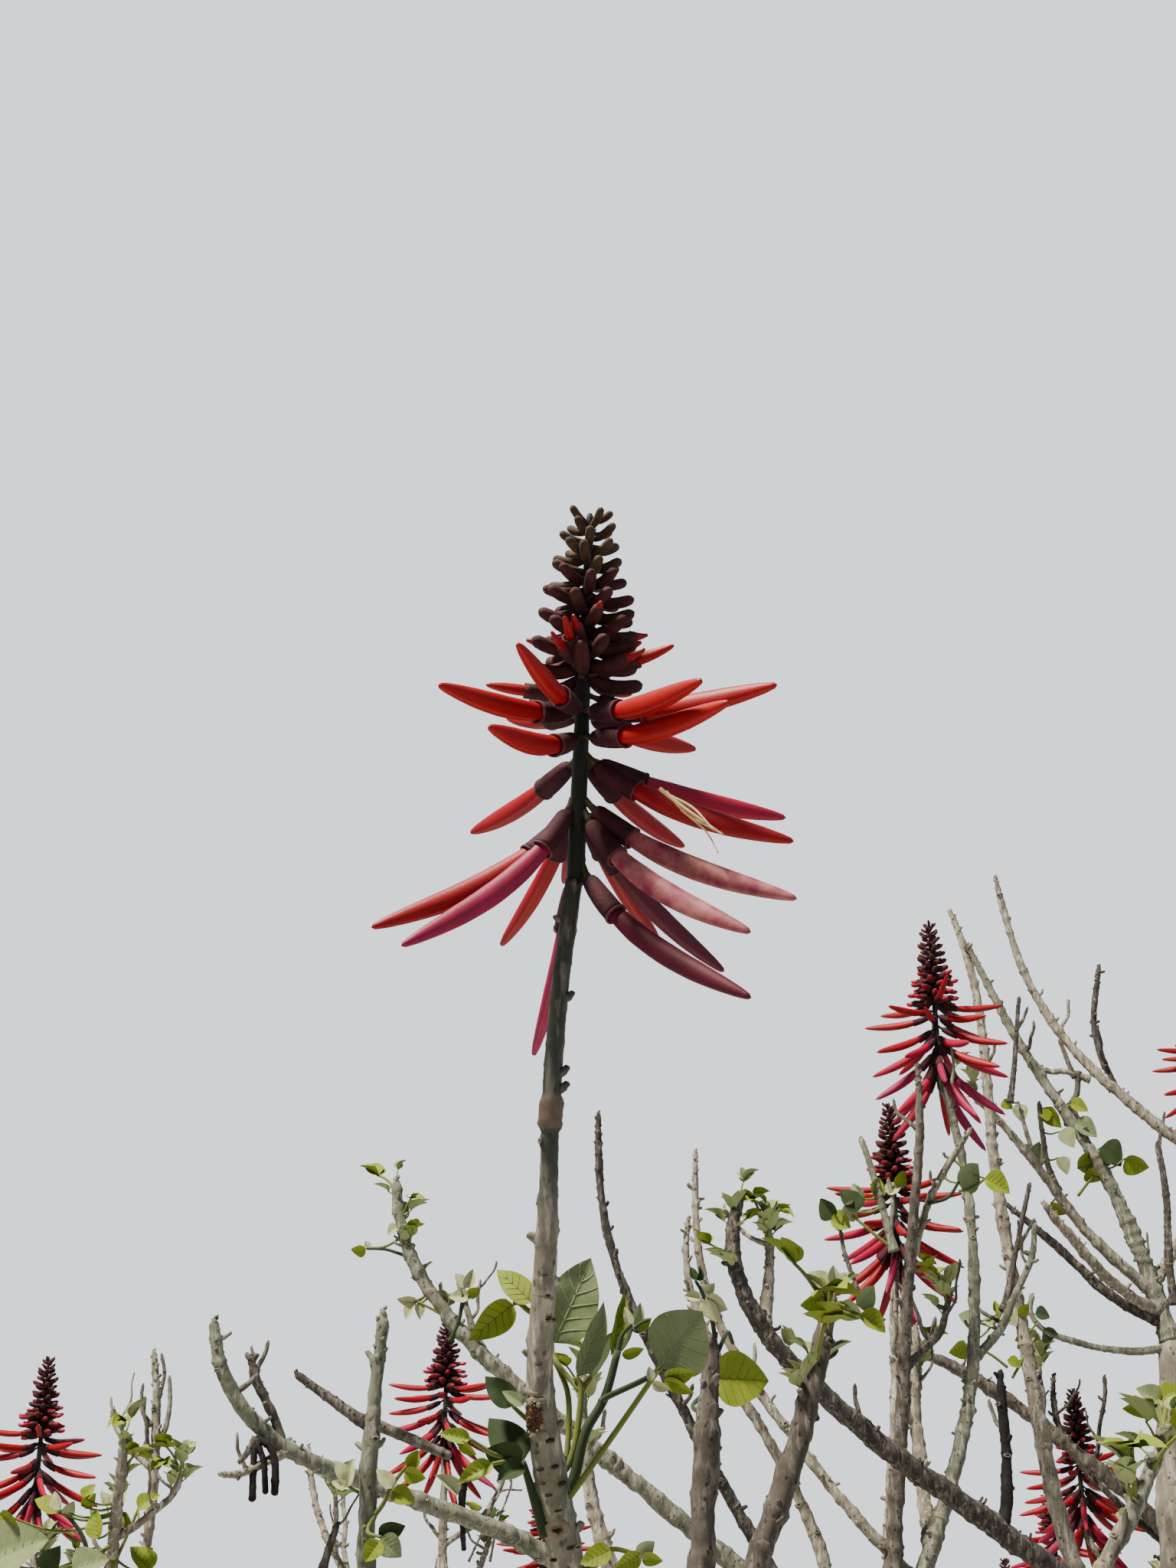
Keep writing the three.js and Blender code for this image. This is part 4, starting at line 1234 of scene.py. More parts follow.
@dataclass
class Growth:
    """A limb with its bark: the skin, pale bands on some rings, and the lips and hearts of scars.

    The limb is thicker at its foot by a collar, a share and how far it reaches. Narrowing is the same for how
    much thinner its tip is. A profile gives the radius at shares of the line instead.
    """

    line: LimbLine
    radius: Pair
    relief: Relief
    seed: int
    sides: int = 14
    step: float = 3.2
    power: float = 0.8
    collar: Pair = (0.3, 9.0)
    round_end: bool = True
    profile: tuple[Pair, ...] = ()
    narrowing: Pair = (0.0, 1.0)

    def __post_init__(self) -> None:
        """Draw the bark and lay out the rings of the skin."""
        self.random = np.random.default_rng(self.seed)
        self.bark = Bark(self.relief, self.line.length, self.random)
        cap = min(self.radius[1], self.line.length * 0.1)
        self.last = 1 - cap / self.line.length
        self.shares = np.linspace(0, self.last, max(4, round(self.line.length / self.step)))
        if self.round_end:
            rounding = 1 - np.sin(np.radians([22, 42, 60, 74, 84]))
            self.shares = np.concatenate([self.shares, 1 - (1 - self.last) * rounding])
        self.path = self.line.points(self.shares)
        self.across, self.over = frames_along(self.path)

    def smooth(self, shares: Vec) -> Vec:
        """Return the radius under the bark at shares of the line.

        Args:
            shares: How far along the line each lies, from 0 to 1.

        Returns:
            The radii.
        """
        if self.profile:
            return np.interp(shares, *zip(*self.profile))
        swollen = 1 + self.collar[0] * np.exp(-shares * self.line.length / self.collar[1])
        narrowed = 1 - self.narrowing[0] * np.exp((shares - 1) * self.line.length / self.narrowing[1])
        return lerp(*self.radius, shares**self.power) * swollen * narrowed

    def skin(self) -> Shape:
        """Return the limb's skin, closed at both ends.

        Returns:
            The shape.
        """
        turn = turns(self.sides)
        over = np.clip((self.shares - self.last) / (1 - self.last), 0, 1)
        radii = self.bark.radius(self.smooth(self.shares), self.shares * self.line.length, turn)
        radii = radii + self.relief.grain * self.random.normal(size=radii.shape)
        radii = radii * np.sqrt(1 - over**2 * 0.98)[:, None]
        rings = self.path[:, None] + radii[..., None] * spokes(turn, self.across, self.over)
        return skin(rings, self.path[0], self.path[-1])

    def _index(self, shares: Any) -> Any:
        """Return the skin's rings nearest to shares of the line."""
        return np.clip(np.searchsorted(self.shares, shares), 0, len(self.shares) - 1)

    def bands(self, amount: float) -> list[Shape]:
        """Return pale bands that stand a little proud of the rings, each fading out on one side.

        Args:
            amount: The share of the rings that have one.

        Returns:
            The bands.
        """
        turn = turns(self.sides)
        shapes = []
        for spot, tilt, phase, width, _ in self.bark.rings:
            aim = self.random.uniform(0, 2 * np.pi)
            if self.random.random() > amount:
                continue
            if not 3 * width < spot < self.line.length * self.last - 3 * width:
                continue
            lift = np.array(BAND_LIFTS)[:, None] - 0.3 * (1 - np.cos(turn - aim))[None]
            lift = lift + 0.12 * self.random.normal(size=(len(BAND_LIFTS), self.sides))
            way = spot + np.array(BAND_STEPS) * width
            shares = way / self.line.length
            index = self._index(shares)
            level = self.smooth(shares)
            sloped = tilt * level[:, None] * np.cos(turn + phase)[None]
            radii = self.bark.radius(level, way[:, None] - sloped, turn) + lift
            middle = self.line.points(shares)
            along = self.line.heading_at(spot / self.line.length)
            out = spokes(turn, self.across[index], self.over[index])
            rings = middle[:, None] + radii[..., None] * out - sloped[..., None] * along
            shapes.append(skin(rings, middle[0], middle[-1]))
        return shapes

    def scars(self) -> list[tuple[Shape, Shape]]:
        """Return the pale lip and the dark heart of each scar.

        Returns:
            The pairs of lip and heart.
        """
        shapes = []
        for spot, aim, size in self.bark.scars:
            share = spot / self.line.length
            if share > self.last - 0.01:
                continue
            index = self._index(share)
            level = self.smooth(np.array([share]))
            reach = self.bark.radius(level, np.array([spot]), np.array([aim]))[0, 0]
            out = unit(math.cos(aim) * self.across[index] + math.sin(aim) * self.over[index])
            along = self.line.heading_at(share)
            axes = np.stack([along, np.cross(out, along), out], axis=1)
            at = self.line.point(share) + out * (reach + 0.08 * size)
            heart = SCAR_HEART.placed(axes, at - out * size * 0.1, size)
            shapes.append((SCAR_LIP.placed(axes, at, size), heart))
        return shapes


@dataclass
class TrunkAndLimbs:
    """The trunk with its root flare and the five limbs, in one skin of bark."""

    tree: Tree
    radius: float = 62.0
    taper: float = 8.0
    foot_radius: float = 96.0
    flare_height: float = 105.0
    ridges: int = 5
    ridge_depth: float = 22.0
    voxel: float = 6.8
    stub_length: float = 80.0
    fissure_depth: float = 3.6
    line_steps: int = 60
    smoothing: int = 7
    furrow_reach: float = 95.0
    knot_reach: float = 26.0
    knot_height: float = 1.6
    grain_reach: float = 11.0
    grain_height: float = 0.7
    bark: BarkFinish = BarkFinish("grey fissured bark", "6e685b", "453f36", "989385", "231e19",
                                  60.0, 12.0, 0.5, 13.0, 0.2, 0.86, 1.4)

    def _trunk(self) -> Shape:
        """Return the trunk's smooth form.

        Returns:
            The shape.
        """
        shares = np.linspace(0, 1, 70)
        turn = turns(60)
        flare = np.exp(-shares * Tree.trunk_tip[2] / self.flare_height)[:, None]
        ridge = self.ridge_depth * (0.5 - 0.5 * np.cos(self.ridges * turn))[None]
        foot = flare * (self.foot_radius - self.radius + ridge)
        radii = self.radius + self.taper * (1 - shares[:, None]) + foot
        return tube(self.tree.trunk.points(shares), radii, np.array([1.0, 0.0, 0.0]))

    def _stub(self, bough: Limb) -> Shape:
        """Return the swollen foot of a bough, up to where its own bark takes over.

        Args:
            bough: The bough.

        Returns:
            The shape.
        """
        shares = np.linspace(0, self.stub_length / bough.line.length, 14)
        radii = bough.radius[0] * lerp(1.3, 0.9, np.linspace(0, 1, 14))
        return round_tube(bough.line.points(shares), radii, 20)

    def _rough(self) -> bpy.types.Object:
        """Return trunk, limbs and boughs' feet as one object of loose tubes.

        Returns:
            The object.
        """
        gathered = Gathered()
        gathered.add(self._trunk())
        for row in LIMBS:
            limb = self.tree.limbs[row.name]
            shares = np.linspace(0, 1, 90)
            thick = lerp(row.radius[0], row.radius[1], shares**0.85) * (1 + 0.16 * np.exp(-shares * 9))
            gathered.add(round_tube(limb.line.points(shares), thick, 32))
        for row in BOUGHS:
            if row.carrier.startswith("limb"):
                gathered.add(self._stub(self.tree.limbs[row.name]))
        mesh = bpy.data.meshes.new("rough_limbs")
        faces = [tuple(face) for part in gathered.faces for face in part]
        mesh.from_pydata((np.concatenate(gathered.points) * MILLIMETRE).tolist(), [], faces)
        return linked("rough_limbs", mesh)

    def _fused(self, rough: bpy.types.Object) -> bpy.types.Mesh:
        """Return one closed smooth skin over loose tubes, which are then removed.

        Args:
            rough: The tubes.

        Returns:
            The mesh.
        """
        remesh = rough.modifiers.new("fuse", "REMESH")
        remesh.mode = "VOXEL"
        remesh.voxel_size = self.voxel * MILLIMETRE
        smooth = rough.modifiers.new("smooth", "SMOOTH")
        smooth.factor = 0.5
        smooth.iterations = self.smoothing
        graph = bpy.context.evaluated_depsgraph_get()
        mesh = bpy.data.meshes.new_from_object(rough.evaluated_get(graph))
        bpy.data.objects.remove(rough)
        return mesh

    def _roughen(self, mesh: bpy.types.Mesh) -> None:
        """Move a skin's points out and in as fissured bark stands.

        Args:
            mesh: The skin.
        """
        lines = [self.tree.trunk] + [self.tree.limbs[row.name].line for row in LIMBS]
        places, tree_of_places = [], KDTree(len(lines) * self.line_steps)
        shares = np.linspace(0, 1, self.line_steps)
        for index, line in enumerate(lines):
            path = line.points(shares)
            across, over = frames_along(path, np.array([1.0, 0.2, 0.1]))
            for i, point in enumerate(path):
                tree_of_places.insert(Vector(point), len(places))
                axes = Vector(across[i]), Vector(over[i])
                places.append((index, shares[i] * line.length, Vector(point), *axes))
        tree_of_places.balance()
        count = len(mesh.vertices)
        points, normals = np.empty(count * 3, np.float32), np.empty(count * 3, np.float32)
        mesh.vertices.foreach_get("co", points)
        mesh.vertices.foreach_get("normal", normals)
        points = points.reshape(-1, 3) / MILLIMETRE
        moves = np.empty((count, 1), np.float32)
        for number, row in enumerate(points):
            point = Vector(row)
            index, along, middle, across, over = places[tree_of_places.find(point)[1]]
            spoke = point - middle
            turn = math.atan2(spoke.dot(over), spoke.dot(across))
            way = along + spoke.dot(across.cross(over))
            ring = Vector((math.cos(turn), math.sin(turn), 0)) * 2.6
            furrow = 1 - 2.4 * abs(noise.noise(ring + Vector((index * 7.1, 3.0, way / self.furrow_reach))))
            knots = noise.noise(ring * 0.6 + Vector((index * 5.3, 9.0, way / self.knot_reach)))
            fine = noise.fractal(point / self.grain_reach, 1.0, 2.0, 3)
            depth = self.fissure_depth * (1.25 if index == 0 else 0.7)
            moves[number] = depth * (furrow - 0.55) + self.knot_height * knots + self.grain_height * fine
        points += normals.reshape(-1, 3) * moves
        points[:, 2] = np.maximum(points[:, 2], 0.0)
        mesh.vertices.foreach_set("co", (points * MILLIMETRE).ravel())
        mesh.polygons.foreach_set("use_smooth", [True] * len(mesh.polygons))
        mesh.update()

    def build(self) -> None:
        """Make the piece."""
        mesh = self._fused(self._rough())
        self._roughen(mesh)
        mesh.name = "trunk_and_limbs"
        owners = ["trunk"] + [row.name for row in LIMBS]
        register(mesh, "trunk_and_limbs", self.bark.make(), "trunk_bark", owners)


@dataclass
class Dressed:
    """A part of the tree whose pieces are gathered by name and dressed together."""

    tree: Tree

    def __post_init__(self) -> None:
        """Set out the pieces under way."""
        self.pieces: dict[str, Gathered] = {}

    def add(self, name: str, shape: Shape, owner: str) -> None:
        """Take a shape, which is part of a node, into the piece of that name."""
        self.pieces.setdefault(name, Gathered()).add(shape, owner)

    def add_marks(self, growth: Growth, owner: str, rims: str, hearts: str, banded: float, every: int,
                  below: float = math.inf) -> None:
        """Take in the bands and scars of a limb's bark.

        Args:
            growth: The limb with its bark.
            owner: The node that it is part of.
            rims: The piece that takes the bands and the scars' lips.
            hearts: The piece that takes the scars' hearts.
            banded: The share of the rings that have a band.
            every: One scar of so many is made.
            below: The height under which marks are made.
        """
        for band in growth.bands(banded):
            if band.points[:, 2].max() < below:
                self.add(rims, band, owner)
        for rim, heart in growth.scars()[::every]:
            if rim.points[:, 2].max() < below:
                self.add(rims, rim, owner)
                self.add(hearts, heart, owner)

    def dress(self, dresses: dict[str, dict[str, Finish]]) -> None:
        """Make the pieces.

        Args:
            dresses: The finish of each piece by its name, grouped under a slot name that is not used.
        """
        finishes = {name: (finish, slot) for slot, rows in dresses.items() for name, finish in rows.items()}
        for name, piece in self.pieces.items():
            finish, slot = finishes[name]
            piece.finished(name, finish.make(), slot)


@dataclass
class Boughs(Dressed):
    """The boughs between the limbs and the masses."""

    banded: float = 0.25
    sides: int = 20
    step: float = 6.5
    seed: int = 100
    bark: BarkFinish = BarkFinish("pale bough bark", "6c685c", "3f3b32", "989587", "1f1b17",
                                  34.0, 7.0, 0.6, 8.0, 0.22, 0.82, 0.8)

    def build(self) -> None:
        """Make the pieces."""
        for index, row in enumerate(BOUGHS):
            growth = Growth(self.tree.limbs[row.name].line, row.radius, BOUGH_RELIEF, self.seed + index,
                            self.sides, self.step, power=0.85, collar=(0.12, 45.0))
            self.add("boughs", growth.skin(), row.name)
            self.add_marks(growth, row.name, "bough_scars", "bough_scar_hearts", self.banded, 2)
        self.dress({"bough_bark": {"boughs": self.bark, "bough_scars": BAND_FINISH,
                                   "bough_scar_hearts": HEART_FINISH}})


BAND_FINISH = SoftFinish("pale cork", "756f5f", "4c4739", 4.0, 0.9, 0.82, 0.0, 0.25)
# darker cork for the bands and scar lips of the brown, dark and black stems, darker in part as painted shade
DARK_BAND_FINISH = SoftFinish("grey cork", "5a544c", "352f2a", 4.0, 0.9, 0.85, 0.0, 0.25)
HEART_FINISH = SoftFinish("dark scar", "1e1712", "372b21", 3.0, 0.7, 0.85, 0.0, 0.2)


class Wood(Enum):
    """The bark finishes of stems and twigs, by the tone they wear: the pale one is partly painted sunlight,
    the brown, dark and black ones partly painted shade.
    """

    PALE = BarkFinish("pale stem bark", "706c5f", "423e33", "a3a092", "1e1a15",
                      16.0, 3.4, 0.7, 4.2, 0.26, 0.78, 0.5)
    GREEN = BarkFinish("greenish stem bark", "5d5f51", "373a2f", "8f8f80", "1b1a14",
                       14.0, 3.2, 0.65, 4.4, 0.25, 0.76, 0.5)
    BROWN = BarkFinish("brown grey bark", "48443c", "292520", "76716a", "120f0d",
                       14.0, 3.6, 0.6, 4.0, 0.28, 0.8, 0.6)
    DARK = BarkFinish("dark rough bark", "37332f", "1c1a18", "736d64", "0c0b0a",
                      10.0, 3.0, 0.6, 3.6, 0.28, 0.86, 0.8)
    BLACK = BarkFinish("blackish bark", "0b0808", "060404", "1c1616", "030202",
                       12.0, 3.0, 0.4, 4.0, 0.2, 0.8, 0.5)


@dataclass(frozen=True)
class SeenTwig:
    """A twig that grows as the photograph shows it, with its radius at root and tip, its depth and its path.

    The path is in the photograph's pixels, X and Y by turns.
    """

    owner: str
    tone: Tone
    radius: Pair
    depth: float
    path: tuple[float, ...]

    def line(self) -> PathLine:
        """Return the twig's line."""
        return PathLine(seen_path(self.path, (self.depth, self.depth)))


_TOP, _CENTRE, _LEFT = "mass_top", "mass_centre", "mass_left"
SEEN_TWIGS = (
    SeenTwig("mass_top_left", _DARK, (2.9, 2.1), 24, (1319, 1440, 1324, 1400, 1329, 1330, 1331, 1303)),
    SeenTwig("mass_top_left", _DARK, (1.7, 1.3), 24, (1328, 1345, 1336, 1332, 1342, 1316)),
    SeenTwig("mass_top_left", _DARK, (3.2, 2.1), 16, (1309, 1712, 1316, 1690, 1334, 1598, 1345, 1546)),
    SeenTwig("mass_top_left", _DARK, (1.8, 1.4), 16, (1329, 1632, 1338, 1616, 1351, 1592)),
    SeenTwig("mass_top_right", Tone.PALE, (3.5, 2.7), 138, (1424, 1410, 1392, 1400, 1372, 1400, 1352, 1391)),
    SeenTwig("mass_top_right", _BROWN, (2.7, 2.2), 138, (1404, 1408, 1396, 1390, 1384, 1358)),
    SeenTwig("mass_top_right", _BROWN, (3.4, 2.4), 138, (1408, 1400, 1406, 1428, 1394, 1450, 1392, 1470)),
    SeenTwig("mass_top_right", _DARK, (2.6, 2.2), 138, (1396, 1440, 1412, 1470, 1417, 1500)),
    SeenTwig("mass_top_right", _BROWN, (2.2, 1.4), 126, (1513, 1502, 1516, 1480, 1521, 1453)),
    SeenTwig(_TOP, _DARK, (4.6, 3.2), 113, (1534, 1704, 1527, 1650, 1523, 1562, 1512, 1492)),
    SeenTwig(_TOP, _BROWN, (1.7, 1.0), 113, (1493, 1686, 1490, 1660, 1487, 1632)),
    SeenTwig(_TOP, _BROWN, (1.7, 1.0), 113, (1499, 1682, 1501, 1650, 1498, 1610)),
    SeenTwig(_TOP, _GREEN, (4.2, 2.6), 113, (1532, 1756, 1496, 1765, 1445, 1762, 1396, 1750, 1362, 1736, 1346,
        1714, 1348, 1691)),
    SeenTwig(_TOP, _DARK, (3.4, 2.4), 113, (1383, 1556, 1368, 1520, 1360, 1470, 1357, 1440)),
    SeenTwig(_TOP, _BROWN, (2.6, 1.8), 113, (1348, 1506, 1338, 1470, 1330, 1440)),
    SeenTwig(_CENTRE, _GREEN, (3.7, 2.5), -252, (1168, 1634, 1158, 1597, 1137, 1523, 1124, 1486)),
    SeenTwig(_CENTRE, _GREEN, (2.2, 1.6), -252, (1162, 1612, 1166, 1570, 1160, 1540)),
    SeenTwig(_CENTRE, _BROWN, (2.2, 1.6), -252, (1154, 1727, 1128, 1700, 1104, 1640, 1098, 1608)),
    SeenTwig("mass_far_left", _GREEN, (2.8, 1.6), -60, (204, 1888, 216, 1866, 222, 1832, 221, 1798)),
    SeenTwig("mass_far_left", _BROWN, (2.0, 1.3), -60, (207, 1826, 215, 1796, 211, 1768)),
    SeenTwig("mass_far_left", _BROWN, (2.2, 1.4), -60, (198, 1862, 187, 1846, 185, 1828, 187, 1808)),
    SeenTwig("mass_front_left", _DARK, (3.3, 2.1), -935, (488, 1866, 452, 1842, 418, 1818, 386, 1794)),
    SeenTwig("mass_front_left", _BROWN, (2.4, 2.6), -935, (484, 1858, 520, 1872, 560, 1890, 590, 1902)),
    SeenTwig(_LEFT, _BROWN, (2.6, 1.8), -560, (335, 1878, 324, 1896, 312, 1910)),
    SeenTwig(_LEFT, Tone.BLACK, (1.7, 2.6), -546, (333, 1876, 331, 1920, 329, 1962)),
    SeenTwig(_LEFT, Tone.BLACK, (1.6, 2.2), -546, (336, 1886, 344, 1910, 347, 1952)),
    SeenTwig(_LEFT, Tone.BLACK, (2.4, 2.6), -546, (334, 1878, 352, 1890, 359, 1914, 359, 1954)),
    SeenTwig(_LEFT, _DARK, (2.8, 2.2), -505, (420, 2054, 430, 2020, 441, 1990)),
    SeenTwig("mass_behind_left", Tone.BLACK, (4.2, 2.4), 300, (604, 1936, 603, 1980, 606, 2026)),
    SeenTwig("mass_behind_left", _BROWN, (1.2, 0.9), 300, (612, 2040, 634, 1992, 652, 1950, 682, 1946)),
    SeenTwig("mass_behind_left", _BROWN, (1.2, 0.9), 300, (640, 2040, 650, 1990, 668, 1936, 650, 1926)),
)


# The darker tones of bark, whose darkness is partly painted shade.
SHADED_TONES = (Tone.DARK, Tone.BLACK, Tone.BROWN)


@dataclass
class Stems(Dressed):
    """The upright stems and side shoots, with rings, scars, knobby tips, spurs and fine twigs.

    Spur_gap and fine_twigs are for masses out of the photograph and in it. A mesh is how many sides a stem
    has, and how far apart its rings of points are.
    """

    spur_gap: Pair = (60.0, 21.0)
    spur_length: Pair = (2.5, 8.0)
    twig_length: Pair = (22.0, 62.0)
    banded: float = 0.35
    tip_buds: int = 18
    widest_tip: float = 3.8
    twig_room: float = 5.0
    own_tone: float = 0.6
    fine_twigs: tuple[int, int] = (3, 1)
    shoot_twigs: int = 2
    seen_mesh: tuple[int, float] = (16, 2.5)
    unseen_mesh: tuple[int, float] = (9, 5.0)
    spur_seed: int = 900
    fine_seed: int = 500
    stem_seed: int = 1000
    shoot_seed: int = 3000
    seen_seed: int = 7000

    def _grow(self, limb: Limb, kind: str, growth: Growth, marked: bool = False) -> None:
        """Put a limb's skin into the pieces, with bands and scars where it is marked.

        Args:
            limb: The stem, shoot or twig.
            kind: What it is, stems or twigs, which with its tone names its piece.
            growth: Its skin and marks.
            marked: Whether it has bands and scars.
        """
        self.add(f"{limb.tone.value}_{kind}", growth.skin(), limb.name)
        if marked and not (limb.tone is Tone.BLACK and kind == "twigs"):
            # stems of the darker tones, partly painted shade, get the darker cork and half as many bands
            shaded = limb.tone in SHADED_TONES
            rims = "dark_bark_scars" if shaded else "pale_bark_scars"
            self.add_marks(growth, limb.name, rims, "scar_hearts", self.banded * (0.5 if shaded else 1), 2)

    def _tip(self, limb: Limb, random: np.random.Generator, buds: int = 6) -> None:
        """Put a knobby cluster of small buds on a stem's or shoot's tip, unless it is cut off or a pod.

        Args:
            limb: The stem, shoot or twig.
            random: What sizes and angles are drawn from.
            buds: How many buds it has.
        """
        if limb.radius[1] > limb.radius[0] or limb.tone is Tone.BLACK:
            return
        radius = min(limb.radius[1], self.widest_tip)
        for i in range(buds):
            share = 1 - i * 0.5 * radius / limb.line.length
            root = limb.line.point(share)
            aim = unit(limb.line.heading_at(share) * (0.9 - 0.05 * i) + pointing(i * GOLDEN_ANGLE, 15))
            size = radius * random.uniform(0.5, 0.85)
            reach = radius * lerp(0.4, 0.85, min(1.0, i / 4))
            bud = oval((size * 1.1, size * 0.72, size * 0.72), sides=6, rings=3)
            self.add(f"{limb.tone.value}_twigs", bud.placed(facing(aim), root + aim * reach), limb.name)

    def _spurs(self, limb: Limb, random: np.random.Generator, seen: bool) -> None:
        """Put short spurs, the stubs of old leaf stalks and twigs, along a stem.

        Args:
            limb: The stem, shoot or twig.
            random: What sizes and angles are drawn from.
            seen: Whether the photograph shows its mass.
        """
        for i in range(int(limb.line.length / self.spur_gap[seen])):
            share = random.uniform(0.12, 0.97)
            out = pointing(i * GOLDEN_ANGLE + random.uniform(-40, 40), random.uniform(15, 55))
            length = lerp(*limb.radius, share) + random.uniform(*self.spur_length)
            root = limb.line.point(share)
            thick = random.uniform(0.9, 1.7)
            growth = Growth(LimbLine(root, root + out * length, (30, 60), 0.05), (thick * 1.7, thick),
                            TWIG_RELIEF, self.spur_seed + i, sides=6, step=2.4, power=0.6, collar=(0.3, 2.0))
            self.add(f"{limb.tone.value}_twigs", growth.skin(), limb.name)

    def _fine_twigs(self, limb: Limb, count: int, random: np.random.Generator) -> None:
        """Grow fine twigs from a stem or shoot where its mass has room for them.

        Args:
            limb: The stem, shoot or twig.
            count: How many are tried.
            random: What sizes and angles are drawn from.
        """
        for i in range(count):
            share = random.uniform(0.3, 0.95)
            start = limb.line.point(share)
            length = random.uniform(*self.twig_length)
            tip = start + pointing(random.uniform(0, 360) + i * GOLDEN_ANGLE, random.uniform(42, 75)) * length
            if self.tree.room_for(limb.name, tip, self.twig_room) < 0:
                continue
            thick = min(2.1, lerp(*limb.radius, share) * 0.5)
            tone = limb.tone if random.random() < self.own_tone else Tone.BROWN
            twig = Limb(limb.name, LimbLine(start, tip, (30, 82), 0.03), (thick, thick * 0.7), tone=tone)
            growth = Growth(twig.line, twig.radius, TWIG_RELIEF, self.fine_seed + i,
                            sides=6, step=3.6, power=0.8, collar=(0.5, 4.0))
            self._grow(twig, "twigs", growth)
            self._tip(twig, random)

    def _stem(self, stem: Limb, seed: int, seen: bool) -> None:
        """Grow one stem with all that is on it.

        Args:
            stem: The stem.
            seed: The seed of what is drawn.
            seen: Whether the photograph shows its mass.
        """
        random = np.random.default_rng(seed)
        relief = DARK_RELIEF if stem.tone in (Tone.DARK, Tone.BLACK) else STEM_RELIEF
        sides, step = self.seen_mesh if seen else self.unseen_mesh
        narrowing = (0.0, 1.0) if stem.bears is Bears.SPIKE else (0.4, 20.0)
        growth = Growth(stem.line, stem.radius, relief, seed, sides, step, narrowing=narrowing)
        self._grow(stem, "stems", growth, seen)
        self._spurs(stem, random, seen)
        if stem.bears is not Bears.SPIKE:
            self._tip(stem, random, self.tip_buds if seen else 6)
        self._fine_twigs(stem, self.fine_twigs[seen], random)

    def build(self) -> None:
        """Make the pieces."""
        for number, mass in enumerate(self.tree.masses.values()):
            seen = mass.name not in UNSEEN_MASSES
            for index, stem in enumerate(mass.stems):
                if stem.tone is not Tone.NEAR:
                    self._stem(stem, self.stem_seed + number * SEEDS_PER_MASS + index, seen)
            for index, shoot in enumerate(mass.shoots):
                seed = self.shoot_seed + number * SEEDS_PER_MASS + index
                random = np.random.default_rng(seed)
                growth = Growth(shoot.line, shoot.radius, TWIG_RELIEF, seed,
                                sides=8, step=3.2, power=0.9, collar=(0.4, 5.0))
                self._grow(shoot, "twigs", growth)
                self._spurs(shoot, random, seen)
                self._tip(shoot, random)
                self._fine_twigs(shoot, self.shoot_twigs, random)
        for index, row in enumerate(SEEN_TWIGS):
            twig = Limb(row.owner, row.line(), row.radius, tone=row.tone)
            seed = self.seen_seed + index
            growth = Growth(twig.line, twig.radius, TWIG_RELIEF, seed,
                            sides=12, step=1.8, power=0.8, collar=(0.4, 5.0))
            self._grow(twig, "twigs", growth, True)
            self._tip(twig, np.random.default_rng(seed))
        finishes: dict[str, Finish] = {"pale_bark_scars": BAND_FINISH, "dark_bark_scars": DARK_BAND_FINISH,
                                       "scar_hearts": HEART_FINISH}
        for wood in Wood:
            finishes.update({f"{wood.name.lower()}_{kind}": wood.value for kind in ("stems", "twigs")})
        self.dress({"stem_bark": finishes})


@dataclass(frozen=True)
class NearBark:
    """The near stem's bark, whose colour changes at levels: pale, then dark green with a scaly ring in it."""

    levels: Triple
    name: str = "near stem bark"
    base: str = "656354"
    shade: str = "39372c"
    streak: str = "999687"
    pore: str = "29231c"
    green: str = "1e2219"
    ring: str = "5c4c3a"
    ring_shade: str = "3b3127"

    def make(self) -> bpy.types.Material:
        """Return the material.

        Returns:
            The material.
        """
        shader = Shader(self.name)
        height = shader.node("ShaderNodeSeparateXYZ", inputs={0: shader.place}, output=2)
        low, ring_low, ring_high = (level * MILLIMETRE for level in self.levels)
        wander = 0.02 * (shader.noise(9.0, 3.0) - 0.5)
        dark = shader.between(height + wander, low - 0.012, low + 0.012)
        ringed = shader.between(height, ring_low - 0.001, ring_low + 0.001) * shader.between(
            height, ring_high + 0.001, ring_high - 0.001)
        patches = shader.between(shader.noise(12.0, 4.0), 0.36, 0.64)
        streaks = shader.between(shader.noise(2.6, 5.0, (1, 1, 0.16)), 0.5, 0.66)
        pores = shader.spots(3.6, 0.26, (1, 1, 0.6))
        grain = shader.noise(1.1, 5.0, (1, 1, 0.5))
        pale = shader.mix(colour(self.base), colour(self.shade), patches * (0.3 + 0.7 * grain))
        body = shader.mix(pale, colour(self.green), dark)
        waxed = shader.mix(body, colour(self.streak), streaks * (0.75 - 0.5 * dark))
        scaled = shader.mix(waxed, shader.mix(colour(self.ring), colour(self.ring_shade), grain), ringed)
        shader.set(
            Base_Color=shader.mix(scaled, colour(self.pore), pores * (0.85 - 0.5 * dark)),
            Roughness=0.68 + 0.15 * patches - 0.14 * dark,
            Normal=shader.bump(0.5 * grain + 0.3 * streaks - 0.35 * pores + 0.3, 0.35),
        )
        return shader.material


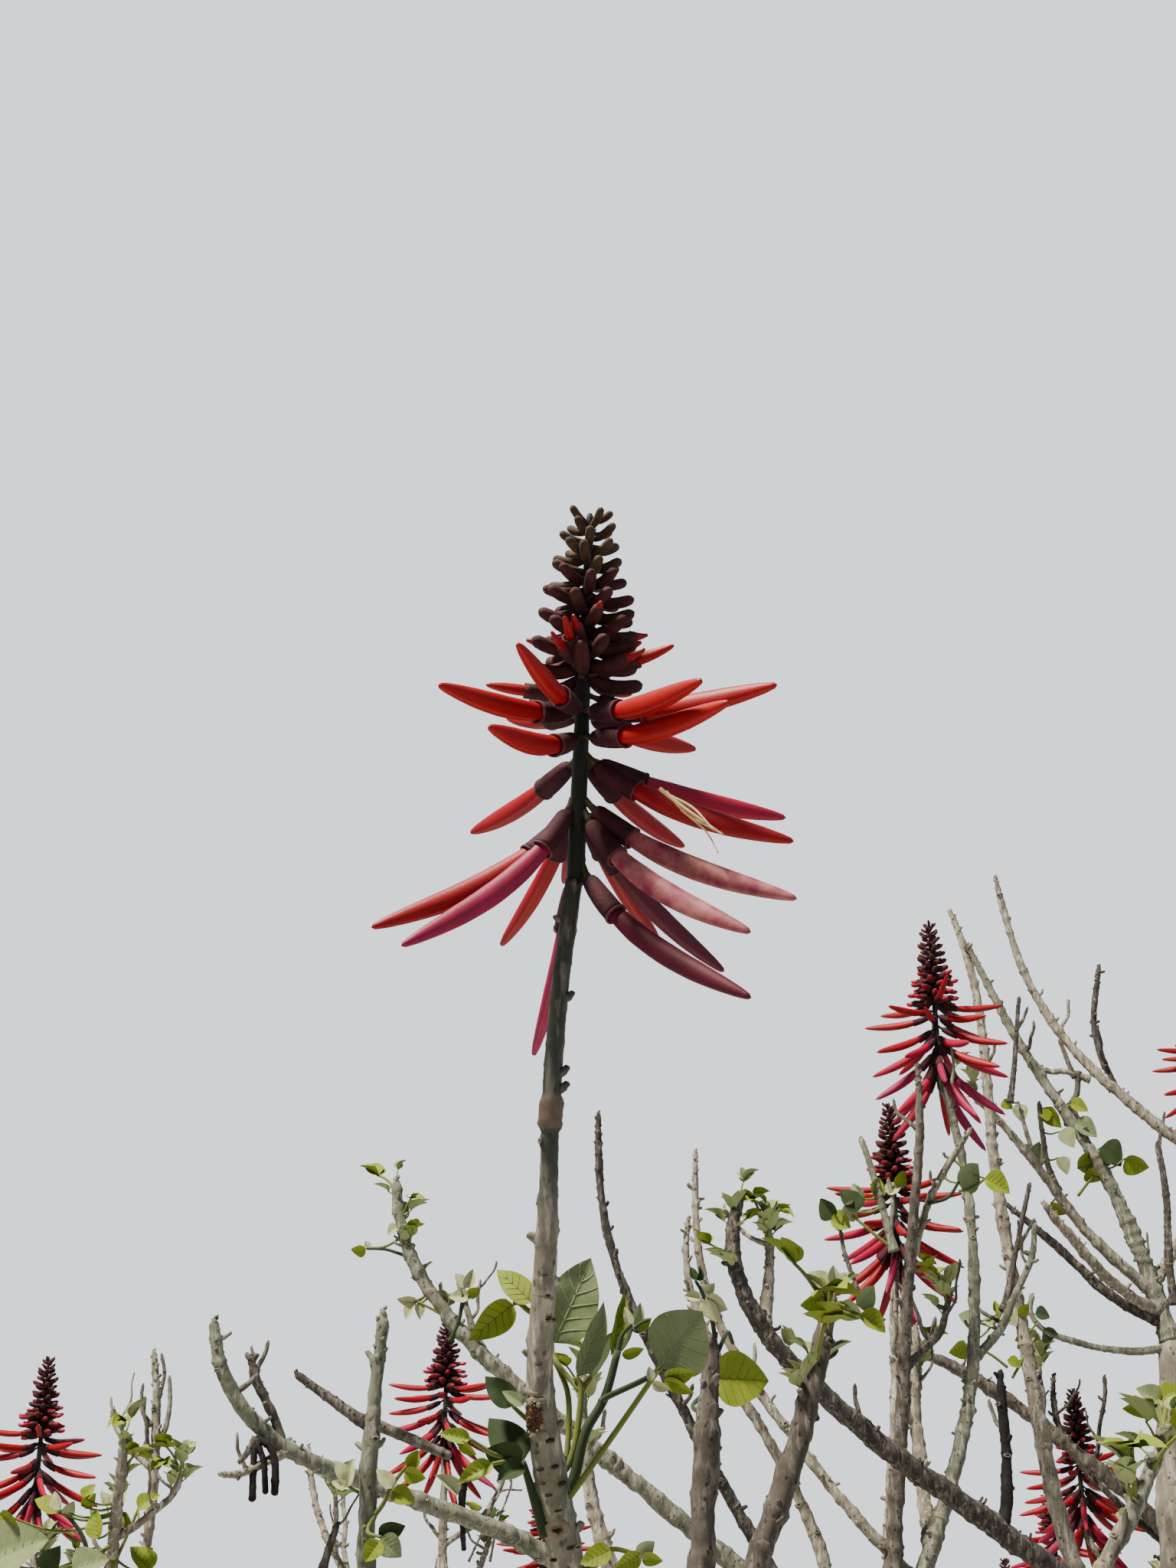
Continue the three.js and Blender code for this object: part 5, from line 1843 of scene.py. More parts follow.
@dataclass
class NearStem(Dressed):
    """The stem that carries the near spike: knobby and pale below, dark green above a scaly ring."""

    profile: tuple[Pair, ...] = (
        (0.0, 8.4), (0.3, 7.2), (0.559, 5.7), (0.625, 4.9), (0.685, 4.2), (0.731, 3.8), (0.759, 3.4),
        (0.802, 2.85), (0.832, 2.85), (0.836, 3.9), (0.85, 4.0), (0.856, 3.0), (0.87, 2.95), (0.913, 2.7),
        (1.0, 2.9),
    )
    spurs: tuple[tuple[float, float, float, float], ...] = (
        (0.763, 185, 3.0, 1.4), (0.916, -20, 3.0, 1.0), (0.868, -15, 3.0, 1.0), (0.858, -10, 3.0, 1.1),
        (0.967, 185, 2.4, 0.8), (0.992, 10, 2.2, 0.7), (0.735, -30, 2.0, 0.9), (0.69, 195, 1.8, 0.9),
        (0.645, -10, 2.2, 1.0), (0.605, 190, 2.4, 1.2), (0.58, -20, 2.4, 1.2),
    )
    banded: float = 0.35
    colour_shares: Triple = (0.79, 0.834, 0.855)
    green_from: float = 0.83
    seed: int = 7
    spur_seed: int = 40

    def build(self) -> None:
        """Make the stem, its scars and its spurs."""
        stem = self.tree.near_stem
        growth = Growth(stem.line, stem.radius, NEAR_RELIEF, self.seed, sides=28, step=1.3, round_end=False,
                        profile=self.profile)
        self.add("near_stem", growth.skin(), stem.name)
        self.add_marks(growth, stem.name, "near_stem_scars", "near_stem_scar_hearts", self.banded, 3,
                       stem.line.point(self.green_from)[2])
        for index, (share, heading, length, thick) in enumerate(self.spurs):
            root = stem.line.point(share)
            radius = float(np.interp(share, *zip(*self.profile)))
            line = LimbLine(root, root + pointing(heading, 28) * (radius + length), (10, 60), 0.04)
            radius, seed = (thick * 1.5, thick), self.spur_seed + index
            spur = Growth(line, radius, TWIG_RELIEF, seed, sides=10, step=0.9, power=0.7, collar=(0.4, 2.0))
            self.add("near_stem", spur.skin(), stem.name)
        levels = tuple(stem.line.point(share)[2] for share in self.colour_shares)
        self.dress({"stem_bark": {"near_stem": NearBark(levels), "near_stem_scars": BAND_FINISH,
                                  "near_stem_scar_hearts": HEART_FINISH}})


PETAL_DEPTHS = (
    (0, 0.14, 0.3, 0.5, 0.68, 0.82, 0.93, 0.985, 1),
    (0.55, 0.78, 0.97, 1, 0.9, 0.7, 0.47, 0.27, 0.06),
)
PETAL_WIDTHS = (0, 0.2, 0.5, 0.75, 0.92, 0.985, 1), (0.9, 1, 1, 0.8, 0.56, 0.34, 0.08)
CALYX_RADII = (0, 0.05, 0.14, 0.3, 0.5, 0.7, 0.88, 1), (0.42, 0.78, 0.95, 1, 1.02, 1.02, 0.99, 1)
BUD_RADII = (0, 0.08, 0.25, 0.5, 0.8, 0.92, 0.98, 1), (0.45, 0.7, 0.92, 1, 1, 0.85, 0.5, 0.15)


def spike_radius(share: Any) -> Any:
    """Return the radius of a spike's stalk at shares of its length."""
    return lerp(SPIKE_RADIUS, SPIKE_TOP_RADIUS, share**1.4)


@dataclass(frozen=True)
class Flower:
    """An open flower in its own frame: +X from the spike's stalk to the petal's tip, +Z up.

    The petal is folded along its length into a sabre that rises towards its tip, out of a tubular calyx.
    """

    length: float = 76.0
    sag: float = 0.07
    sides: int = 10
    rings: int = 10
    pedicel: float = 4.5
    pedicel_radius: float = 1.1
    calyx_length: float = 17.0
    calyx_radius: Pair = (2.75, 3.8)
    depth: float = 7.6
    width: float = 5.2

    def _drop(self, way: Vec) -> Vec:
        """Return how high the middle line lies at distances from the stalk, below level where it sags."""
        share = np.clip(way / self.length, 0, 1)
        return -self.sag * self.length * np.sin(np.pi * share**0.85)

    def _frames(self, way: Vec) -> tuple[Vec, Vec]:
        """Return the middle line's points and the upward vectors there.

        Args:
            way: Distances from the stalk.

        Returns:
            The points and the vectors, one row for each distance.
        """
        slope = self._drop(way + 0.5) - self._drop(way - 0.5)
        points = np.stack([way, np.zeros_like(way), self._drop(way)], axis=1)
        over = np.stack([-slope, np.zeros_like(way), np.ones_like(way)], axis=1)
        return points, over / np.linalg.norm(over, axis=1, keepdims=True)

    def _hull(self, way: Vec, across: Vec, over: Vec) -> Shape:
        """Return a skin over sections of the flower.

        Args:
            way: How far from the stalk each section is.
            across: The sections' points sideways, by section and side.
            over: Their points upwards.

        Returns:
            The shape.
        """
        middle, up = self._frames(way)
        side = np.array([0.0, 1.0, 0.0])
        rings = middle[:, None] + across[..., None] * side + over[..., None] * up[:, None]
        return skin(rings, middle[0], middle[-1])

    def _round(self, way: Sequence[float], radii: Sequence[float]) -> Shape:
        """Return a skin over round sections.

        Args:
            way: How far from the stalk each section is.
            radii: Their radii.

        Returns:
            The shape.
        """
        turn = turns(self.sides)
        thick = np.asarray(radii)[:, None]
        return self._hull(np.asarray(way, dtype=float), thick * np.cos(turn), thick * np.sin(turn))

    def petal(self) -> Shape:
        """Return the petal.

        Returns:
            The shape.
        """
        share = 1 - np.linspace(1, 0, self.rings) ** 1.25
        start = self.pedicel + 0.5 * self.calyx_length
        deep = self.depth * np.interp(share, *PETAL_DEPTHS)
        wide = self.width * np.interp(share, *PETAL_WIDTHS)
        turn = turns(self.sides)
        slit = np.exp(-(((turn + np.pi / 2 + np.pi) % (2 * np.pi) - np.pi) / 0.3) ** 2) * 0.3
        keel = np.exp(-(((turn - np.pi / 2 + np.pi) % (2 * np.pi) - np.pi) / 0.35) ** 2) * 0.08
        across = wide[:, None] / 2 * np.cos(turn)
        over = deep[:, None] / 2 * np.sin(turn) * (1 - slit + keel)
        return self._hull(start + share * (self.length - start), across, over)

    def calyx(self) -> Shape:
        """Return the calyx, a tube with an open mouth.

        Returns:
            The shape.
        """
        low, high = self.calyx_radius
        end = self.pedicel + self.calyx_length
        shares, swollen = np.array(CALYX_RADII)
        radii = lerp(low, high, shares**0.7) * swollen
        way = np.concatenate([self.pedicel + shares * self.calyx_length, [end - 0.2, end - 4]])
        return self._round(way, [*radii, high * 0.82, high * 0.7])

    def rim(self) -> Shape:
        """Return the pale rim of the calyx's mouth.

        Returns:
            The shape.
        """
        end, high = self.pedicel + self.calyx_length, self.calyx_radius[1]
        return self._round([end - 0.7, end - 0.4, end + 0.25, end + 0.2, end - 2],
                           [high * 0.9, high + 0.16, high + 0.1, high * 0.84, high * 0.76])

    def stalk(self) -> Shape:
        """Return the pedicel."""
        return self._round([-2, 0, self.pedicel * 0.6, self.pedicel + 1.5],
                           np.array([1.35, 1.15, 1.0, 1.4]) * self.pedicel_radius)


@dataclass(frozen=True)
class Bud:
    """A closed bud in its own frame: +X from the stalk to its blunt tip, curved upwards a little."""

    length: float = 18.0
    radius: float = 2.4
    sides: int = 10
    rings: int = 9

    def shape(self) -> Shape:
        """Return the bud.

        Returns:
            The shape.
        """
        share = 1 - (1 - np.linspace(0, 1, self.rings)) ** 1.3
        radii = self.radius * np.interp(share, *BUD_RADII)
        rise = self.length * 0.12 * (share * 2 - 0.9) ** 2
        path = np.stack([share * self.length, np.zeros_like(share), rise - rise[0]], axis=1)
        return round_tube(path, radii, self.sides, np.array([0.0, 1.0, 0.0]))


class PetalTone(Enum):
    """The petals' colours, from the newest flower to the oldest."""

    ORANGE = SoftFinish("orange red petal", "86040a", "700308", 9.0, 0.5, 0.5)
    SCARLET = SoftFinish("scarlet petal", "7c020e", "64020c", 9.0, 0.5, 0.5)
    ROSE = SoftFinish("rose petal", "840428", "6c0420", 9.0, 0.5, 0.52)
    DUSKY = SoftFinish("dusky pink petal", "7c1038", "600c2c", 8.0, 0.6, 0.55)
    FADED = SoftFinish("faded petal", "6c2038", "96665e", 7.0, 0.9, 0.6)
    PURPLE = SoftFinish("dull purple petal", "4a0820", "360616", 8.0, 0.6, 0.55)


CALYX_FINISH = SoftFinish("velvet calyx", "26060e", "3e1220", 5.0, 0.7, 0.8, 0.0, 0.12)
RIM_FINISH = SoftFinish("pale calyx rim", "4a1c28", "341018", 3.0, 0.7, 0.7, 0.03)
BUD_FINISH = SoftFinish("bloomed bud", "2c0d12", "462223", 4.0, 0.8, 0.8, 0.0, 0.14)
YOUNG_BUD_FINISH = SoftFinish("olive grey bud", "2c1e14", "463626", 3.0, 0.8, 0.8, 0.04, 0.14)
SPIKE_STALK_FINISH = SoftFinish("blackish green stalk", "0f120c", "1c2016", 5.0, 0.6, 0.6, 0.05, 0.15)
PEDICEL_FINISH = SoftFinish("greenish pedicel", "2f2c1a", "44301f", 3.0, 0.6, 0.65)
STAMEN_FINISH = SoftFinish("dry stamens", "c4ab80", "97805c", 2.0, 0.6, 0.7)


_ORANGE = PetalTone.ORANGE
_SCARLET = PetalTone.SCARLET
_PURPLE = PetalTone.PURPLE


@dataclass
class NearSpike(Dressed):
    """The near flower spike: open flowers in three whorls, half-open ones and a cone of buds above."""

    bud_count: int = 70
    bud_length: Pair = (18.5, 7.6)
    bud_radius: Pair = (2.5, 1.3)
    sides: int = 24
    rings: int = 30
    tiers: tuple[tuple[float, tuple[tuple[float, float, float, PetalTone], ...]], ...] = (
        (2, ((-25, 43, 80, _PURPLE), (102, 31, 84, PetalTone.DUSKY))),
        (20, ((-164, 36, 82, _SCARLET), (-28, 42, 80, PetalTone.FADED), (45, 29, 80, _PURPLE),
              (94, -4, 76, _SCARLET))),
        (24, ((-157, 46, 84, PetalTone.DUSKY), (112, 20, 78, _SCARLET), (-14, 31, 82, PetalTone.FADED),
              (68, 18, 78, _SCARLET))),
        (39, ((122, 1, 74, _SCARLET), (22, 8, 76, PetalTone.ROSE), (-10, 28, 78, _SCARLET),
              (61, 4, 76, _SCARLET))),
        (45, ((-50, 11, 72, _ORANGE), (-115, 21, 70, _ORANGE))),
        (54, ((-132, 13, 68, _ORANGE), (-108, 6, 64, _ORANGE), (-27, 5, 70, _ORANGE))),
        (54, ((-56, 14, 68, _ORANGE), (118, -22, 62, _ORANGE), (52, -9, 66, _ORANGE))),
    )
    half_open: tuple[tuple[float, float, float, float], ...] = (
        (66, -22, -10, 31), (60, -168, 0, 31), (65, -104, -24, 26), (60, 24, 6, 31), (62, 150, 4, 26),
    )
    red_share: float = 0.36
    young_from: float = 0.62
    stalk_seed: int = 3
    bud_seed: int = 5

    def __post_init__(self) -> None:
        """Find the spike's foot and set out the pieces under way."""
        super().__post_init__()
        self.foot = self.tree.near_stem.line.point(1)
        self.lean = np.array(NEAR_LEAN)

    def _on_stalk(self, height: float, heading: float) -> Vec:
        """Return a place on the stalk's side, by its height over the foot and its heading."""
        radius = spike_radius(height / SPIKE_LENGTH)
        return self.foot + self.lean * (height / SPIKE_LENGTH) + pointing(heading, 0) * radius * 0.8

    def _stalk(self) -> None:
        """Make the stalk, with a rounded top."""
        shares = np.concatenate([np.linspace(-0.02, 0.935, 90), [0.942, 0.946]])
        base = spike_radius(np.clip(shares, 0, 1))
        base[-2:] *= (0.7, 0.4)
        bark = Bark(SPIKE_RELIEF, SPIKE_LENGTH, np.random.default_rng(self.stalk_seed))
        radii = bark.radius(base, (shares + 0.02) * SPIKE_LENGTH, turns(20))
        self.add("near_spike_stalk", tube(self.foot + self.lean * shares[:, None], radii), NEAR_MASS)

    def _flower(self, height: float, row: tuple[float, float, float, PetalTone]) -> None:
        """Make an open flower.

        Args:
            height: How high over the spike's foot it is set.
            row: Its heading, droop, length and tone.
        """
        heading, droop, length, tone = row
        flower = Flower(length - 2, 0.045 + droop * 0.0009, self.sides, self.rings)
        shapes = {"near_petals_" + tone.name.lower(): flower.petal(), "near_calyces": flower.calyx(),
                  "near_calyx_rims": flower.rim(), "near_pedicels": flower.stalk()}
        self._place(shapes, height, heading, droop)

    def _half_open(self, height: float, heading: float, droop: float, length: float) -> None:
        """Make a flower whose petal has only just left its calyx.

        Args:
            height: How high over the spike's foot it is set.
            heading: Degrees round Z from +X.
            droop: Degrees by which it hangs below level.
            length: How long it is.
        """
        flower = Flower(length, sag=0.03, sides=self.sides, rings=16, pedicel=3.5, pedicel_radius=0.9,
                        calyx_length=14.5, calyx_radius=(2.2, 2.7), depth=4.0, width=3.2)
        self._place({"near_petals_orange": flower.petal(), "near_buds": flower.calyx(),
                     "near_pedicels": flower.stalk()}, height, heading, droop)

    def _place(self, shapes: dict[str, Shape], height: float, heading: float, droop: float) -> None:
        """Set a flower's shapes on the stalk.

        Args:
            shapes: The shapes, by the piece that takes each.
            height: How high over the spike's foot it is set.
            heading: Degrees round Z from +X.
            droop: Degrees by which it hangs below level.
        """
        axes, root = facing(pointing(heading, -droop)), self._on_stalk(height, heading)
        for name, shape in shapes.items():
            self.add(name, shape.placed(axes, root), NEAR_MASS)

    def _buds(self) -> None:
        """Make the cone of buds, the lowest with red tips."""
        random = np.random.default_rng(self.bud_seed)
        for i in range(self.bud_count):
            share = (i + 0.5) / self.bud_count
            height = SPIKE_LENGTH * lerp(FLOWER_ZONE + 0.04, 0.93, share)
            heading = i * GOLDEN_ANGLE + random.uniform(-8, 8)
            droop = lerp(4.0, -30.0, share**3) + random.uniform(-6, 6)
            length = lerp(*self.bud_length, share**1.3) * random.uniform(0.9, 1.05)
            bud = Bud(length, lerp(*self.bud_radius, share**1.3), sides=14, rings=14)
            axes, root = facing(pointing(heading, -droop)), self._on_stalk(height, heading)
            name = "near_young_buds" if share > self.young_from else "near_buds"
            self.add(name, bud.shape().placed(axes, root), NEAR_MASS)
            if share < self.red_share and i % 2:
                reach = lerp(9.0, 1.5, share / self.red_share) * random.uniform(0.3, 1.1)
                way = np.linspace(0, 1, 9)
                bend = axes[:, 0] + 0.25 * way[:, None] * axes[:, 2]
                path = root + axes[:, 0] * (length - 3.5) + way[:, None] * bend * (reach + 3.5)
                self.add("near_bud_points", round_tube(path, 1.9 * (1 - 0.72 * way**1.4), 12), NEAR_MASS)

    def build(self) -> None:
        """Make the pieces."""
        self._stalk()
        for height, flowers in self.tiers:
            for row in flowers:
                self._flower(height, row)
        for row in self.half_open:
            self._half_open(*row)
        self._buds()
        petals: dict[str, Finish] = {"near_petals_" + tone.name.lower(): tone.value for tone in PetalTone}
        self.dress({
            "petal": petals | {"near_bud_points": PetalTone.SCARLET.value},
            "calyx": {"near_calyces": CALYX_FINISH, "near_calyx_rims": RIM_FINISH, "near_buds": BUD_FINISH,
                      "near_young_buds": YOUNG_BUD_FINISH},
            "green_stem": {"near_spike_stalk": SPIKE_STALK_FINISH, "near_pedicels": PEDICEL_FINISH},
        })


@dataclass
class FarSpikes(Dressed):
    """Every other flower spike: flowers in three whorls under a ringed cone of buds.

    Droop, length and the buds' slope and size are for the lowest and the highest ones.
    """

    flowers: int = 30
    buds: int = 76
    pink_share: float = 0.34
    whorls: int = 3
    flower_length: float = 72.0
    size: Pair = (1.06, 1.13)
    droop: Pair = (62.0, 0.0)
    length: Pair = (80.0, 60.0)
    bud_slope: Pair = (-6.0, 38.0)
    bud_size: Pair = (1.3, 0.5)
    point_size: Pair = (1.3, 0.7)

    def __post_init__(self) -> None:
        """Shape one flower and one bud, which every spike repeats, and set out the pieces."""
        super().__post_init__()
        flower = Flower(self.flower_length, sag=0.07, sides=8, rings=10, depth=8.4, width=6.2)
        self.petal, self.calyx, self.stalk = flower.petal(), flower.calyx(), flower.stalk()
        self.bud = Bud(length=16.0, radius=2.6, sides=6, rings=6).shape()
        self.point = Bud(length=9.0, radius=1.7, sides=6, rings=5).shape()

    def _spike(self, stem: Limb, order: int) -> None:
        """Make one spike.

        Args:
            stem: The stem.
            order: Its place among its mass's stems.
        """
        owner = stem.name
        seed = self.tree.masses[owner].seed * 7 + order
        turn = SeededNumbers(seed).draw() * 360
        random = np.random.default_rng(seed)
        foot, lean = stem.line.point(1), lean_of(stem)
        size = random.uniform(*self.size)
        shares = np.concatenate([np.linspace(-0.03, 0.98, 24), [0.995]])
        base = spike_radius(np.clip(shares, 0, 1))
        self.add("far_spike_stalks", round_tube(foot + lean * size * shares[:, None], base, 8), owner)
        for i in range(self.flowers):
            share = i / (self.flowers - 1)
            whorl = math.floor(share * self.whorls * 0.999)
            level = (whorl + 0.7 * (share * self.whorls - whorl) + 0.1) / (self.whorls - 0.2)
            level += random.uniform(-0.05, 0.05)
            droop = lerp(*self.droop, np.clip(level, 0, 1) ** 0.8) + random.uniform(-7, 7)
            length = lerp(*self.length, level) / self.flower_length
            heading = i * GOLDEN_ANGLE + turn
            root = foot + lean * size * level * FLOWER_ZONE + pointing(heading, 0) * 2
            axes = facing(pointing(heading, -droop))
            tone = ("dusky", "rose", "scarlet")[min(int(random.integers(0, 3)) + whorl, 2)]
            for name, shape in (("far_petals_" + tone, self.petal), ("far_calyces", self.calyx),
                                ("far_spike_stalks", self.stalk)):
                self.add(name, shape.placed(axes, root, length), owner)
        for i in range(self.buds):
            share = (i + 0.5) / self.buds
            root = foot + lean * size * lerp(FLOWER_ZONE, 0.97, share)
            slope = lerp(*self.bud_slope, share**2) + random.uniform(-6, 6)
            axes = facing(pointing(i * GOLDEN_ANGLE + turn, slope))
            scale = lerp(*self.bud_size, share**1.2) * random.uniform(0.85, 1.1)
            self.add("far_buds", self.bud.placed(axes, root, scale), owner)
            if share < self.pink_share:
                at = root + axes[:, 0] * random.uniform(9.0, 13.0) * scale
                self.add("far_bud_points", self.point.placed(axes, at, lerp(*self.point_size, share)), owner)

    def build(self) -> None:
        """Make the pieces."""
        for mass in self.tree.masses.values():
            for order, stem in enumerate(mass.stems):
                if stem.bears is Bears.SPIKE:
                    self._spike(stem, order)
        tones = PetalTone.SCARLET, PetalTone.ROSE, PetalTone.DUSKY
        petals: dict[str, Finish] = {"far_petals_" + tone.name.lower(): tone.value for tone in tones}
        self.dress({
            "petal": petals | {"far_bud_points": PetalTone.ROSE.value},
            "calyx": {"far_calyces": CALYX_FINISH, "far_buds": BUD_FINISH},
            "green_stem": {"far_spike_stalks": SPIKE_STALK_FINISH},
        })


@dataclass(frozen=True)
class Leaflet:
    """A leaflet in its own frame, 1 long along +X, upper face to +Z: oval, pointed, folded and arched."""

    rows: int = 8
    columns: int = 2
    fold: float = 0.25
    arch: float = 0.16
    wave: float = 0.02
    shape: float = LEAFLET_SHAPE

    def half_width(self, share: Vec) -> Vec:
        """Return half the leaflet's width at shares of its length."""
        outline = np.clip(share, 0, 1) ** 0.62 * np.clip(1 - share, 0, 1) ** 0.95
        return self.shape / 2 * outline / 0.365

    def surface(self, share: Vec, side: Vec) -> Vec:
        """Return points of the leaflet.

        Args:
            share: How far along each lies, from 0 to 1.
            side: How far across, from -1 at one margin to 1 at the other.

        Returns:
            The points, with the coordinates in the last place.
        """
        across = self.half_width(share) * side
        lift = np.abs(across) * self.fold - self.arch * share**2 + 0.06 * self.arch
        wave = self.wave * np.sin(share * 14 + side * 2) * np.abs(side)
        return np.stack([share - 0.1 * np.abs(side) * self.half_width(share), across, lift + wave], axis=-1)

    def blade(self) -> Shape:
        """Return the leaflet's face.

        Returns:
            The shape.
        """
        along, across = np.linspace(0.0, 1, self.rows + 1), np.linspace(-1, 1, 2 * self.columns + 1)
        share, side = np.meshgrid(along, across, indexing="ij")
        count = 2 * self.columns + 1
        row, column = np.meshgrid(np.arange(self.rows), np.arange(count - 1), indexing="ij")
        corner = row * count + column
        quads = np.stack([corner, corner + count, corner + count + 1, corner + 1], axis=-1).reshape(-1, 4)
        return Shape(self.surface(share, side).reshape(-1, 3), quads, np.zeros((0, 3), dtype=int))

    def veins(self, shares: Sequence[float], rise: float, radius: Pair) -> list[Shape]:
        """Return the leaflet's veins, which stand out of both faces.

        Args:
            shares: Where the side veins leave the midrib.
            rise: How much farther along they meet the margin.
            radius: Their radius at root and tip.

        Returns:
            The midrib and the side veins.
        """
        steps = np.linspace(0, 1, 7)
        rib = plain_tube(self.surface(steps * 0.97, np.zeros(7)), (radius[0] * 1.5, radius[1]), 4)
        shapes = [rib]
        for share in shares:
            for side in (-0.94, 0.94):
                path = self.surface(share + rise * steps**0.85, side * steps)
                shapes.append(plain_tube(path, radius, 4))
        return shapes


class LeafTone(Enum):
    """How a near leaf looks: lit through (painted light), downy from below, in shade (painted shade), or just
    unfolded.
    """

    # painted light: the yellow-green of a leaf with the sun shining through it
    LIT = SoftFinish("sunlit leaf", "6c7a1a", "566816", 10.0, 0.6, 0.68)
    GREY = SoftFinish("downy leaf underside", "5a6642", "6e7a56", 8.0, 0.6, 0.78, 0.05)
    # painted shade: the dark green of a leaf that lies in shade
    DEEP = SoftFinish("shaded leaf", "263619", "1e2d13", 10.0, 0.6, 0.85)
    PALE = SoftFinish("unfolding leaf", "7d845c", "979c76", 6.0, 0.6, 0.78, 0.1)


_LIT = LeafTone.LIT
_GREY = LeafTone.GREY
_PAINTED_SHADE = LeafTone.DEEP
_WHITE = LeafTone.PALE
VEIN_FINISH = SoftFinish("leaf veins", "76805a", "687250", 4.0, 0.5, 0.6, 0.1)
# veins of the leaves with painted sunlight; their darker green is part of that painted light
LIT_VEIN_FINISH = SoftFinish("sunlit leaf veins", "4a5712", "55611c", 4.0, 0.5, 0.6, 0.1)
GREEN_STALK_FINISH = SoftFinish("green leaf stalk", "525c1c", "3e4818", 6.0, 0.5, 0.7, 0.1)
DARK_STALK_FINISH = SoftFinish("dark green stalk", "1c2b0e", "141f0b", 6.0, 0.5, 0.75, 0.1)
TORN_FINISH = SoftFinish("torn brown wood", "57381e", "2e1a0e", 1.6, 1.0, 0.85, 0.0, 0.5)


@dataclass(frozen=True)
class NearLeaflet:
    """A leaflet placed where the photograph shows it: its base, tip and width in the photograph's pixels.

    Depth is its base's Y, lean how much farther its tip lies, and roll turns it from facing the view.
    """

    base: Pair
    tip: Pair
    width: float
    tone: LeafTone
    depth: float = -1400.0
    lean: float = 0.0
    roll: float = 12.0
    fold: float = 0.2


@dataclass(frozen=True)
class NearStalk:
    """A leaf stalk, soft green shoot or stamen, with its path and its radius and depth at both ends.

    The path is in the photograph's pixels, X and Y by turns.
    """

    path: tuple[float, ...]
    radius: Pair
    depth: Pair = (-1400.0, -1400.0)
    dark: bool = False
    owner: str = NEAR_MASS


SeenLeaflet = tuple[float, float, float, float, float, LeafTone]
SEEN_LEAFLETS: tuple[tuple[float, tuple[SeenLeaflet, ...]], ...] = (
    (-950, (
        (1080, 1682, 1056, 1660, 24, _WHITE), (1078, 1694, 1046, 1707, 28, _LIT),
        (1085, 1676, 1090, 1652, 16, _WHITE), (1092, 1680, 1114, 1671, 18, _WHITE),
        (1100, 1700, 1127, 1723, 28, _WHITE), (1124, 1716, 1158, 1739, 26, _LIT),
        (1118, 1704, 1144, 1680, 28, _GREY), (1090, 1700, 1098, 1718, 16, _LIT),
        (1075, 1684, 1058, 1672, 18, _LIT),
    )),
    (-880, (
        (1514, 1830, 1484, 1812, 24, _GREY), (1508, 1832, 1467, 1842, 24, _LIT),
        (1512, 1828, 1512, 1860, 16, _WHITE), (1520, 1826, 1548, 1816, 26, _LIT),
    )),
    (-252, (
        (1120, 1583, 1098, 1552, 28, _PAINTED_SHADE), (1092, 1588, 1070, 1566, 26, _PAINTED_SHADE),
        (1100, 1590, 1118, 1568, 24, _WHITE), (1085, 1594, 1112, 1602, 26, _LIT),
        (1140, 1560, 1150, 1538, 22, _LIT), (1160, 1560, 1177, 1545, 18, _WHITE),
        (1168, 1548, 1184, 1530, 18, _LIT), (1128, 1566, 1112, 1546, 20, _WHITE),
        (1250, 1545, 1280, 1521, 36, _GREY), (1286, 1539, 1320, 1557, 28, _LIT),
    )),
    (16, (
        (1268, 1726, 1252, 1716, 20, _GREY), (1262, 1756, 1240, 1768, 24, _LIT),
        (1300, 1714, 1300, 1698, 10, _LIT), (1311, 1714, 1329, 1732, 22, _WHITE),
        (1329, 1716, 1345, 1704, 16, _LIT), (1316, 1776, 1334, 1786, 14, _LIT),
        (1298, 1730, 1284, 1722, 16, _WHITE),
    )),
    (112, (
        (1311, 1436, 1323, 1449, 14, _LIT), (1326, 1444, 1337, 1466, 20, _WHITE),
        (1345, 1521, 1360, 1491, 24, _GREY), (1384, 1478, 1404, 1498, 24, _WHITE),
        (1407, 1526, 1427, 1506, 24, _LIT), (1437, 1499, 1466, 1522, 34, _PAINTED_SHADE),
        (1469, 1513, 1501, 1527, 28, _LIT), (1404, 1466, 1434, 1484, 24, _GREY),
        (1368, 1446, 1385, 1474, 22, _LIT), (1382, 1512, 1395, 1534, 18, _WHITE),
        (1420, 1528, 1438, 1543, 20, _LIT), (1398, 1442, 1422, 1450, 18, _LIT),
        (1372, 1462, 1356, 1450, 16, _LIT), (1340, 1740, 1326, 1752, 16, _LIT),
        (1362, 1738, 1382, 1744, 22, _PAINTED_SHADE), (1352, 1716, 1372, 1720, 18, _PAINTED_SHADE),
        (1372, 1572, 1396, 1586, 16, _LIT),
    )),
    (-160, (
        (75, 1976, 46, 1956, 24, _LIT), (78, 1972, 70, 1948, 16, _WHITE), (82, 1978, 98, 1961, 16, _WHITE),
        (110, 1958, 124, 1938, 16, _LIT), (106, 1966, 126, 1951, 16, _LIT), (128, 2010, 124, 1970, 22, _LIT),
        (0, 1976, 24, 1999, 24, _LIT), (-12, 2040, 62, 2006, 62, _GREY), (50, 2046, 80, 2020, 28, _PAINTED_SHADE),
        (95, 2052, 142, 2034, 36, _GREY),
    )),
    (-120, (
        (140, 1968, 133, 1946, 14, _WHITE), (150, 1972, 163, 1944, 22, _WHITE),
        (160, 1975, 171, 2001, 16, _LIT), (180, 1970, 208, 1951, 20, _LIT), (196, 2052, 171, 2018, 28, _LIT),
    )),
    (-232, (
        (520, 1601, 506, 1613, 14, _WHITE), (528, 1604, 546, 1606, 12, _WHITE),
        (518, 1594, 529, 1587, 10, _LIT), (478, 1631, 458, 1633, 16, _LIT), (480, 1630, 478, 1620, 9, _WHITE),
        (545, 1698, 518, 1698, 15, _WHITE), (540, 1702, 529, 1723, 14, _WHITE),
        (545, 1703, 549, 1723, 13, _WHITE),
    )),
)


